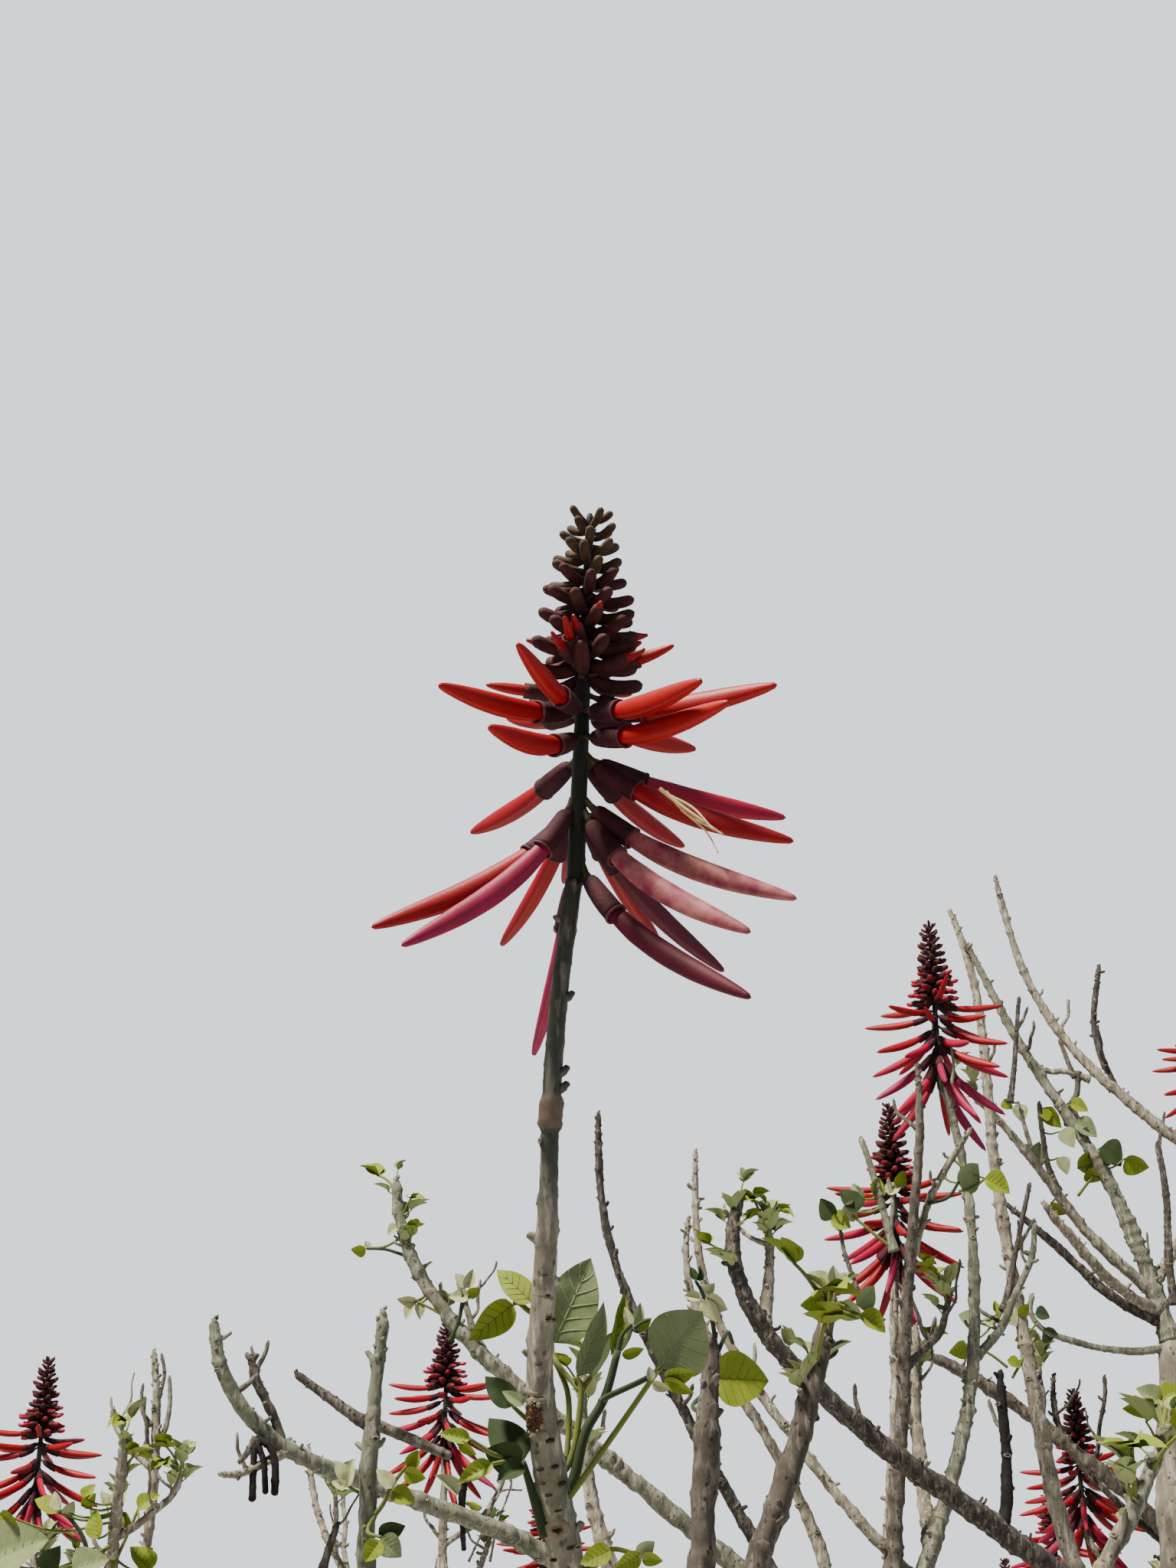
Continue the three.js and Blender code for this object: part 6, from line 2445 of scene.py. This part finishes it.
@dataclass
class NearShoots(Dressed):
    """The leafy shoots low on the near stem and on the stems by it, and the small marks on its bark.

    Each leaflet and mark is where the photograph has it. A mark's row is the pixel of its middle, and half
    its breadth and height in millimetres.
    """

    vein_shares: tuple[float, ...] = (0.1, 0.25, 0.4, 0.55, 0.7)
    vein_rise: float = 0.2
    vein_radius: Pair = (0.009, 0.004)
    veined_width: float = 18.0
    stalks: tuple[NearStalk, ...] = (
        NearStalk((726, 1962, 748, 1936, 764, 1872, 790, 1825, 807, 1764), (2.0, 1.2), dark=True),
        NearStalk((734, 1966, 750, 1947, 800, 1876, 849, 1805, 862, 1786), (1.1, 0.8), (-1402, -1424)),
        NearStalk((724, 1930, 742, 1914, 753, 1876, 759, 1815, 751, 1798), (1.2, 0.9)),
        NearStalk((758, 1822, 764, 1810, 772, 1799), (0.9, 0.7)),
        NearStalk((721, 1755, 723, 1772, 735, 1790, 759, 1818), (0.7, 0.9), (-1388, -1400)),
        NearStalk((722, 1930, 739, 1908, 743, 1831, 732, 1793, 721, 1774), (1.1, 0.8), (-1400, -1390)),
        NearStalk((785, 1830, 796, 1823, 847, 1799, 862, 1785), (1.1, 0.8), (-1398, -1422), True),
        NearStalk((806, 1772, 812, 1745, 825, 1730), (0.9, 0.6), dark=True),
        NearStalk((828, 1735, 838, 1728, 847, 1724), (0.6, 0.5), dark=True),
        NearStalk((706, 1722, 689, 1711, 678, 1702, 670, 1703), (1.0, 0.7)),
        NearStalk((703, 1866, 683, 1849, 670, 1837), (0.9, 0.6), (-1408, -1412)),
        NearStalk((712, 2006, 697, 1955, 683, 1909), (1.9, 1.0), (-1404, -1412), True),
        NearStalk((684, 1912, 662, 1909, 643, 1912), (0.7, 0.6), (-1412, -1418)),
        NearStalk((690, 1925, 660, 1905, 641, 1898, 624, 1887, 614, 1880), (0.8, 0.6), (-1410, -1424)),
        NearStalk((745, 2052, 775, 2047, 798, 2024, 832, 2030), (1.0, 0.7), (-1396, -1410)),
        NearStalk((938, 1765, 950, 1740, 957, 1754), (1.2, 1.0), (-1000, -975), True, "mass_front_right"),
        NearStalk((935, 1760, 930, 1725, 918, 1690, 908, 1672), (1.3, 0.8), (-1000, -1006), True,
            "mass_front_right"),
        NearStalk((927, 1850, 905, 1838, 918, 1822, 936, 1811), (1.3, 0.9), (-1002, -965), True,
            "mass_front_right"),
        NearStalk((484, 1985, 500, 1965, 512, 1940, 532, 1914), (1.4, 0.9), (-946, -960), False,
            "mass_front_left"),
        NearStalk((492, 1975, 480, 2000, 498, 2008), (1.2, 0.8), (-946, -962), False, "mass_front_left"),
        NearStalk((472, 1950, 462, 1946, 454, 1940), (1.1, 0.8), (-946, -952), False, "mass_front_left"),
        NearStalk((588, 1752, 600, 1722, 606, 1682), (2.2, 1.4), (-228, -236), True, "mass_middle"),
        NearStalk((602, 1712, 606, 1702, 613, 1694), (1.6, 1.2), (-232, -236), True, "mass_middle"),
        NearStalk((596, 1729, 572, 1714, 545, 1700), (1.5, 1.1), (-228, -232), False, "mass_middle"),
        NearStalk((529, 1640, 504, 1632, 479, 1631), (1.5, 1.1), (-230, -232), True, "mass_middle"),
        NearStalk((1168, 1632, 1142, 1612, 1114, 1588), (1.6, 1.2), (-252, -252), False, "mass_centre"),
        NearStalk((1212, 1572, 1238, 1564, 1252, 1544), (1.8, 1.3), (-247, -252), True, "mass_centre"),
        NearStalk((1252, 1556, 1270, 1552, 1287, 1539), (1.4, 1.1), (-250, -252), False, "mass_centre"),
        NearStalk((1408, 1562, 1424, 1541, 1438, 1526, 1448, 1514), (1.6, 1.2), (114, 112), False,
            "mass_top"),
        NearStalk((1322, 1800, 1336, 1776, 1350, 1750), (1.5, 1.1), (20, 16), False, "mass_top_left"),
        NearStalk((1316, 1786, 1292, 1768, 1264, 1756), (1.5, 1.1), (20, 16), False, "mass_top_left"),
        NearStalk((1312, 1744, 1292, 1732, 1270, 1726), (1.5, 1.1), (20, 16), False, "mass_top_left"),
        NearStalk((116, 2050, 110, 2012, 92, 1984, 76, 1974), (2.4, 1.4), (-150, -160), True,
            "mass_far_left"),
        NearStalk((146, 2050, 150, 2006, 151, 1972), (2.0, 1.3), (-120, -120), False, "mass_far_left"),
        NearStalk((146, 2050, 170, 1996, 181, 1970), (1.7, 1.2), (-120, -120), False, "mass_far_left"),
    )
    stamens: tuple[NearStalk, ...] = (
        NearStalk((862, 1030, 884, 1048, 912, 1068, 945, 1091), (0.7, 0.3), (-1458, -1462)),
        NearStalk((870, 1034, 896, 1062, 926, 1080, 944, 1089), (0.5, 0.25), (-1458, -1461)),
        NearStalk((876, 1040, 906, 1056, 932, 1084), (0.6, 0.25), (-1457, -1463)),
        NearStalk((890, 1058, 922, 1086, 938, 1114), (0.35, 0.2), (-1457, -1460)),
    )
    leaflets: tuple[NearLeaflet, ...] = (
        NearLeaflet((723, 1754), (776, 1640), 74, _GREY, -1386, 6),
        NearLeaflet((753, 1798), (794, 1700), 31, _GREY, -1400, 0, 30, 0.6),
        NearLeaflet((772, 1799), (800, 1735), 24, _PAINTED_SHADE, -1396, 4, -30, 0.5),
        NearLeaflet((798, 1770), (820, 1684), 20, _LIT, -1396, 2, 30, 0.6),
        NearLeaflet((806, 1768), (826, 1712), 22, _PAINTED_SHADE, -1392, 2, -20, 0.4),
        NearLeaflet((862, 1783), (921, 1712), 92, _GREY, -1424, 4),
        NearLeaflet((932, 1800), (1006, 1803), 72, _LIT, -965, 4, -6),
        NearLeaflet((944, 1818), (990, 1826), 26, _GREY, -955, 0, 30),
        NearLeaflet((922, 1694), (950, 1712), 26, _WHITE, -1006, 0, 20, 0.5),
        NearLeaflet((916, 1700), (940, 1727), 22, _WHITE, -1006, 0, -10, 0.4),
        NearLeaflet((914, 1696), (893, 1692), 14, _WHITE, -1010, 0, 20, 0.8),
        NearLeaflet((920, 1688), (934, 1676), 13, _WHITE, -1008, 0, 20, 0.8),
        NearLeaflet((908, 1672), (902, 1654), 11, _PAINTED_SHADE, -1006, 0, 10, 1.0),
        NearLeaflet((909, 1672), (916, 1655), 10, _PAINTED_SHADE, -1004, 0, 40, 1.0),
        NearLeaflet((850, 1804), (848, 1784), 12, _WHITE, -1426, 0, 10, 0.8),
        NearLeaflet((868, 1799), (909, 1793), 24, _LIT, -1428, -4, 20, 0.5),
        NearLeaflet((868, 1802), (906, 1821), 18, _LIT, -1428, -2, 20, 0.4),
        NearLeaflet((852, 1806), (876, 1816), 14, _WHITE, -1432, 0, 20, 0.6),
        NearLeaflet((823, 1734), (816, 1706), 13, _WHITE, -1396, 0, 10, 0.9),
        NearLeaflet((826, 1731), (838, 1701), 16, _WHITE, -1394, 0, 30, 0.8),
        NearLeaflet((830, 1734), (852, 1722), 14, _LIT, -1396, 0, 20, 0.8),
        NearLeaflet((812, 1770), (842, 1762), 15, _LIT, -1398, 0, 20, 0.5),
        NearLeaflet((696, 1702), (648, 1655), 36, _LIT, -1404, 4, 15),
        NearLeaflet((670, 1703), (614, 1751), 42, _LIT, -1412, -4, -12, 0.35),
        NearLeaflet((670, 1837), (634, 1796), 34, _PAINTED_SHADE, -1412, 0, 15),
        NearLeaflet((684, 1836), (656, 1816), 17, _GREY, -1414, 0, 20, 0.5),
        NearLeaflet((684, 1908), (638, 1849), 50, _PAINTED_SHADE, -1412, 4, 12),
        NearLeaflet((682, 1909), (632, 1896), 44, _PAINTED_SHADE, -1414, -2, -18),
        NearLeaflet((682, 1912), (650, 1932), 27, _PAINTED_SHADE, -1414, -4, 20, 0.4),
        NearLeaflet((643, 1912), (597, 1936), 24, _LIT, -1418, -4, 25, 0.5),
        NearLeaflet((598, 1952), (570, 1925), 18, _WHITE, -1418, -4, 35, 0.9),
        NearLeaflet((614, 1880), (573, 1871), 20, _LIT, -1424, 0, 20, 0.5),
        NearLeaflet((600, 1884), (622, 1901), 14, _LIT, -1424, 0, 20, 0.6),
        NearLeaflet((798, 2024), (757, 2042), 28, _LIT, -1410, 0, 15),
        NearLeaflet((836, 2030), (803, 2050), 24, _LIT, -1410, 0, -20, 0.4),
        NearLeaflet((831, 2030), (856, 2014), 22, _WHITE, -1410, 0, 20, 0.5),
        NearLeaflet((838, 2032), (866, 2040), 18, _LIT, -1410, 0, 20, 0.5),
        NearLeaflet((532, 1916), (547, 1894), 20, _LIT, -960, 0, 20, 0.5),
        NearLeaflet((528, 1922), (556, 1932), 22, _LIT, -962, 0, 20, 0.4),
        NearLeaflet((512, 1944), (492, 1918), 20, _WHITE, -958, 0, 20, 0.6),
        NearLeaflet((512, 1948), (542, 1962), 26, _LIT, -955, 0, -15, 0.4),
        NearLeaflet((498, 2008), (524, 2034), 32, _GREY, -962, 0, 10, 0.2),
        NearLeaflet((494, 2004), (530, 1994), 26, _PAINTED_SHADE, -960, 0, 20, 0.3),
        NearLeaflet((496, 2012), (476, 2040), 26, _LIT, -964, 0, 10, 0.3),
        NearLeaflet((454, 1940), (438, 1906), 20, _WHITE, -952, 0, 20, 0.7),
        NearLeaflet((455, 1942), (460, 1904), 16, _WHITE, -954, 0, -20, 0.8),
        NearLeaflet((452, 1944), (434, 1934), 14, _WHITE, -955, 0, 20, 0.6),
        NearLeaflet((613, 1694), (586, 1693), 18, _WHITE, -236, 0, 20, 0.5),
        NearLeaflet((606, 1682), (595, 1662), 15, _WHITE, -236, 0, 20, 0.8),
        NearLeaflet((606, 1682), (619, 1657), 15, _WHITE, -240, 0, 20, 0.8),
        NearLeaflet((610, 1690), (628, 1684), 15, _LIT, -236, 0, 20, 0.6),
    )
    holes: tuple[Mark, ...] = (
        (718, 1879, 1.6, 0.7), (700, 1893, 1.2, 0.4), (705, 1914, 1.4, 0.6), (724, 1912, 1.4, 0.6),
        (734, 1936, 1.7, 0.7), (716, 1948, 1.3, 0.4), (745, 2016, 1.6, 0.7), (722, 2030, 1.4, 0.5),
        (704, 1780, 1.0, 0.4), (722, 1722, 1.4, 0.6), (711, 1665, 1.0, 0.4), (716, 1690, 0.9, 0.4),
        (728, 1968, 1.4, 0.5), (708, 1930, 1.1, 0.4), (737, 1990, 1.2, 0.4),
    )
    patches: tuple[Mark, ...] = (
        (703, 1870, 3.4, 1.8), (726, 1990, 4.2, 3.2), (700, 1826, 3.2, 1.4),
    )
    torn: tuple[Mark, ...] = (
        (697, 1848, 3.0, 5.2), (701, 1836, 1.6, 2.4), (716, 1719, 1.2, 1.3), (727, 1992, 1.8, 0.9),
    )
    scraps: int = 34
    torn_rim: float = 0.8
    mark_thickness: float = 0.6
    mark_stand: float = 1.02
    mark_aside: float = 0.92
    far_roll: float = 35.0
    far_fold: float = 0.5
    wood_steps: int = 160
    seed: int = 21
    pixels_per_millimetre: float = 4.0

    def _leaflet(self, row: NearLeaflet) -> None:
        """Make a leaflet with its veins.

        Args:
            row: What the photograph shows of it.
        """
        base, tip = VIEW.place(row.base, row.depth), VIEW.place(row.tip, row.depth + row.lean)
        length = float(np.linalg.norm(tip - base))
        ahead = (tip - base) / length
        side = unit(np.cross(ahead, base - np.array(VIEW.eye)))
        turn = math.radians(row.roll)
        across = side * math.cos(turn) + np.cross(ahead, side) * math.sin(turn)
        axes = np.stack([ahead, across, np.cross(ahead, across)], axis=1)
        shape = VIEW.width(row.width, base) / length / math.cos(turn)
        leaflet = Leaflet(rows=12, columns=4, fold=row.fold, arch=0.1, wave=0.012, shape=shape)
        owner = min(self.tree.masses, key=lambda name: float(
            np.linalg.norm(self.tree.masses[name].spine - base, axis=1).min()))
        self.add(f"near_leaves_{row.tone.name.lower()}", leaflet.blade().placed(axes, base, length), owner)
        veins = {LeafTone.LIT: "near_veins_lit", LeafTone.GREY: "near_veins"}.get(row.tone)
        if veins and row.width > self.veined_width:
            for vein in leaflet.veins(self.vein_shares, self.vein_rise, self.vein_radius):
                self.add(veins, vein.placed(axes, base, length), owner)

    def _stalk(self, row: NearStalk, name: str) -> None:
        """Make a leaf stalk or stamen."""
        self.add(name, plain_tube(curved(seen_path(row.path, row.depth), 20), row.radius, 12), row.owner)

    def _far_leaflets(self) -> None:
        """Make the leaflets seen farther off, each on a short stalk from the nearest stem or twig."""
        limbs = [limb for mass in self.tree.masses.values() for limb in mass.stems + mass.shoots]
        lines = [(limb.name, limb.line) for limb in limbs] + [(row.owner, row.line()) for row in SEEN_TWIGS]
        shares = np.linspace(0, 1, self.wood_steps)
        wood = np.concatenate([line.points(shares) for _, line in lines])
        names = [name for name, _ in lines for _ in shares]
        for depth, rows in SEEN_LEAFLETS:
            for index, (base_x, base_y, tip_x, tip_y, width, tone) in enumerate(rows):
                base = base_x, base_y
                roll = self.far_roll * (-1) ** index
                self._leaflet(NearLeaflet(base, (tip_x, tip_y), width, tone, depth, 0, roll, self.far_fold))
                end = VIEW.place(base, depth)
                nearest = int(np.linalg.norm(wood - end, axis=1).argmin())
                start = wood[nearest]
                rise = np.array([0.0, 0.0, 0.12 * float(np.linalg.norm(end - start))])
                path = curved(np.array([start, (start + end) / 2 - rise, end]), 8)
                self.add("near_leaf_stalks", plain_tube(path, (1.3, 0.8), 8), names[nearest])

    def _torn_wood(self, row: Mark, random: np.random.Generator) -> None:
        """Make a torn place in the near stem's bark: brown wood, and dark holes and scraps of bark in it.

        Args:
            row: What the photograph shows of it.
            random: What sizes and angles are drawn from.
        """
        self._mark("near_stem_torn_wood", row, -0.2)
        for i in range(self.scraps):
            reach, turn = math.sqrt((i + 0.5) / self.scraps), math.radians(i * GOLDEN_ANGLE)
            scale = self.pixels_per_millimetre
            right = row[0] + math.cos(turn) * reach * row[2] * scale
            down = row[1] + math.sin(turn) * reach * row[3] * scale
            scrap = (right, down, row[2] * random.uniform(0.1, 0.3), row[3] * random.uniform(0.06, 0.22))
            kind = "patches" if reach > self.torn_rim else ("holes", "torn_wood", "holes")[i % 3]
            self._mark("near_stem_" + kind, scrap, random.uniform(0.2, 0.7))

    def _mark(self, name: str, row: Mark, proud: float) -> None:
        """Set a flat round mark on the near stem's bark.

        Args:
            name: The piece that takes it.
            row: The mark.
            proud: How far its middle stands out, as a share of its thickness.
        """
        shape = MARK.placed(np.eye(3), np.array([0, 0, proud]))
        line = self.tree.near_stem.line
        shares = np.linspace(0.5, 1, 400)
        points = line.points(shares)
        aims = np.array([VIEW.place(row[:2], point[1]) for point in points])
        index = int(np.abs(aims[:, 2] - points[:, 2]).argmin())
        radius = float(np.interp(shares[index], *zip(*NearStem.profile)))
        along = line.heading_at(float(shares[index]))
        towards = np.array(VIEW.eye) - points[index]
        towards = unit(towards - along * (towards @ along))
        right = np.cross(along, towards)
        aside = (aims[index] - points[index]) @ right / radius
        aside = float(np.clip(aside, -self.mark_aside, self.mark_aside))
        out = towards * math.sqrt(1 - aside**2) + right * aside
        axes = np.stack([np.cross(along, out) * row[2], along * row[3], out * self.mark_thickness], axis=1)
        self.add(name, shape.placed(axes, points[index] + out * radius * self.mark_stand), NEAR_MASS)

    def build(self) -> None:
        """Make the pieces."""
        for stalk in self.stalks:
            self._stalk(stalk, "dark_leaf_stalks" if stalk.dark else "near_leaf_stalks")
        for stamen in self.stamens:
            self._stalk(stamen, "near_stamens")
        for row in self.leaflets:
            self._leaflet(row)
        self._far_leaflets()
        for patch in self.patches:
            self._mark("near_stem_patches", patch, -0.45)
        for hole in self.holes:
            self._mark("near_stem_holes", hole, 0.12)
        random = np.random.default_rng(self.seed)
        for wound in self.torn:
            self._torn_wood(wound, random)
        leaves: dict[str, Finish] = {f"near_leaves_{tone.name.lower()}": tone.value for tone in LeafTone}
        self.dress({
            "leaf": leaves | {"near_veins": VEIN_FINISH, "near_veins_lit": LIT_VEIN_FINISH},
            "green_stem": {"near_leaf_stalks": GREEN_STALK_FINISH, "dark_leaf_stalks": DARK_STALK_FINISH},
            "stem_bark": {"near_stem_patches": BAND_FINISH, "near_stem_holes": HEART_FINISH,
                          "near_stem_torn_wood": TORN_FINISH},
            "petal": {"near_stamens": STAMEN_FINISH},
        })


LEAF_FINISHES: dict[str, Finish] = {
    "leaves_fresh": SoftFinish("fresh leaf", "69761c", "526418", 12.0, 0.6, 0.72),
    "leaves_deep": SoftFinish("deep leaf", "2e4415", "243813", 12.0, 0.6, 0.8),
    "leaves_young": SoftFinish("downy young leaf", "7f8a58", "6b7746", 7.0, 0.6, 0.78, 0.1),
}
LEAF_STALK_FINISH = SoftFinish("leaf stalk", "5c6726", "485222", 6.0, 0.5, 0.7)


@dataclass
class Foliage(Dressed):
    """The tufts of leaves at the ends of stems and shoots."""

    young_leaves: int = 8
    stalk_share: float = 0.8
    leaf_share: Pair = (0.68, 0.5)
    hang: Pair = (-50.0, 40.0)
    turns: Triple = (0.0, 62.0, -62.0)
    side_share: float = 0.86
    fresh_share: float = 0.65
    stem_leaves: int = 3
    shoot_leaves: int = 2
    tuft_seed: int = 5000

    def __post_init__(self) -> None:
        """Shape the leaflets that every leaf repeats, and set out the pieces."""
        super().__post_init__()
        self.grown = Leaflet(fold=0.45, arch=0.24).blade()
        self.young = Leaflet(rows=6, columns=2, fold=0.9, arch=0.3, wave=0.0, shape=0.6).blade()

    def _leaf(self, leaf: Leaf, tint: str, random: np.random.Generator) -> None:
        """Make a leaf: its stalk and three leaflets.

        Args:
            leaf: Where it grows, and its size.
            tint: The piece that takes its leaflets.
            random: What sizes and angles are drawn from.
        """
        young = tint == "leaves_young"
        end = leaf.root + pointing(leaf.heading, leaf.slope) * STALK_LENGTH * leaf.size * self.stalk_share
        shares = np.linspace(0, 1, 6)[:, None]
        path = lerp(leaf.root, end, shares) + np.array([0, 0, 3.0 * leaf.size]) * np.sin(np.pi * shares)
        radius = 1.2 * leaf.size + 0.3, 0.8 * leaf.size + 0.2
        self.add("leaf_stalks", plain_tube(path, radius, 6), leaf.owner)
        hang = random.uniform(*self.hang)
        for turn in self.turns:
            slope = leaf.slope * 0.8 + 10 if young else leaf.slope * 0.5 + hang + random.uniform(-14, 14)
            along = pointing(leaf.heading + turn * (0.6 if young else 0.85), slope)
            share = self.leaf_share[leaf.owner not in UNSEEN_MASSES]
            length = leaf.size * LEAFLET_LENGTH * (self.side_share if turn else 1) * (1 if young else share)
            shape = self.young if young else self.grown
            axes = facing(along, random.uniform(-35, 35))
            self.add(tint, shape.placed(axes, end - along, length), leaf.owner)

    def _tuft(self, limb: Limb, count: int, seed: int) -> None:
        """Make the leaves of a tuft, with small young ones among them.

        Args:
            limb: The stem, shoot or twig.
            count: How many it may have.
            seed: The seed of what is drawn.
        """
        random = np.random.default_rng(seed)
        for leaf in self.tree.tuft(limb, count):
            deep = leaf.owner in UNSEEN_MASSES and random.random() > self.fresh_share
            self._leaf(leaf, "leaves_deep" if deep else "leaves_fresh", random)
        for i in range(self.young_leaves):
            share = 1 - i * 0.03 * random.uniform(0.5, 1.5)
            young = Leaf(limb.name, limb.line.point(share), i * GOLDEN_ANGLE + random.uniform(0, 90),
                         random.uniform(40, 80), random.uniform(0.26, 0.5))
            self._leaf(young, "leaves_young", random)

    def build(self) -> None:
        """Make the pieces."""
        for number, mass in enumerate(self.tree.masses.values()):
            for index, limb in enumerate(mass.stems + mass.shoots):
                if limb.bears is Bears.LEAVES:
                    seed = self.tuft_seed + number * SEEDS_PER_MASS + index
                    count = self.stem_leaves if index < len(mass.stems) else self.shoot_leaves
                    self._tuft(limb, count, seed)
        self.dress({"leaf": LEAF_FINISHES, "green_stem": {"leaf_stalks": LEAF_STALK_FINISH}})


@dataclass
class Studio:
    """A plain pale floor, soft light and the camera."""

    sensor: float = 36.0
    floor_side: float = 14.0
    ambient: float = 0.4
    backdrop: float = 1.7

    def _floor(self) -> None:
        """Lay the floor."""
        half = self.floor_side / 2
        mesh = bpy.data.meshes.new("floor")
        corners = [(-half, -half, 0), (half, -half, 0), (half, half, 0), (-half, half, 0)]
        mesh.from_pydata(corners, [], [(0, 1, 2, 3)])
        floor = linked("floor", mesh)
        mesh.materials.append(SoftFinish("pale floor", "dcdad5", "d3d1cc", 400.0, 0.5, 0.85).make())

    @staticmethod
    def _light(name: str, at: Triple, aim: Triple, size: float, power: float, tint: str) -> None:
        """Hang a soft lamp.

        Args:
            name: Its name.
            at: Where it hangs, in metres.
            aim: What it points at.
            size: How wide it is.
            power: How strong it is, in watts.
            tint: Its colour's code.
        """
        lamp = bpy.data.lights.new(name, "AREA")
        lamp.size = size
        lamp.energy = power
        lamp.color = colour(tint)[:3]
        holder = linked(name, lamp)
        holder.location = at
        holder.rotation_euler = (Vector(aim) - Vector(at)).to_track_quat("-Z", "Y").to_euler()

    def _camera(self) -> None:
        """Set up the camera where the photograph has it."""
        lens = bpy.data.cameras.new("camera")
        lens.sensor_width = self.sensor
        lens.lens = VIEW.focal / VIEW.frame[1] * self.sensor
        lens.clip_start = 0.01
        camera = linked("camera", lens)
        camera.location = [place * MILLIMETRE for place in VIEW.eye]
        camera.rotation_euler = (math.radians(90 + VIEW.pitch), 0, 0)
        bpy.context.scene.camera = camera

    def build(self) -> None:
        """Lay the floor, hang the lamps and set up the camera."""
        self._floor()
        self._camera()
        self._light("key_light", (-2.5, -2.5, 6.8), (-0.4, -0.4, 2.2), size=0.7, power=1400, tint="fff3e2")
        self._light("fill_light", (3.4, -2.6, 3.2), (-0.2, -0.2, 2.0), size=3.0, power=40, tint="eaf2ff")
        self._light("back_light", (0.5, 4.0, 4.6), (0.0, 0.0, 2.0), size=2.6, power=120, tint="ffffff")
        world = bpy.data.worlds.new("studio")
        bpy.context.scene.world = world
        world.use_nodes = True
        sky = world.node_tree.nodes["Background"]
        sky.inputs["Color"].default_value = colour("e6ecf4")
        rays = world.node_tree.nodes.new("ShaderNodeLightPath")
        strength = world.node_tree.nodes.new("ShaderNodeMapRange")
        strength.inputs["To Min"].default_value = self.ambient
        strength.inputs["To Max"].default_value = self.backdrop
        world.node_tree.links.new(rays.outputs["Is Camera Ray"], strength.inputs["Value"])
        world.node_tree.links.new(strength.outputs["Result"], sky.inputs["Strength"])


def main() -> None:
    """Grow the tree, dress it piece by piece and set it in the studio."""
    logging.basicConfig(level=logging.INFO, format="%(message)s")
    tree = Tree()
    kinds = TrunkAndLimbs, Boughs, Stems, NearStem, NearShoots, NearSpike, FarSpikes, Foliage
    for part in [kind(tree) for kind in kinds] + [Studio()]:
        LOG.info("building %s", type(part).__name__)
        part.build()


if __name__ == "__main__":
    main()
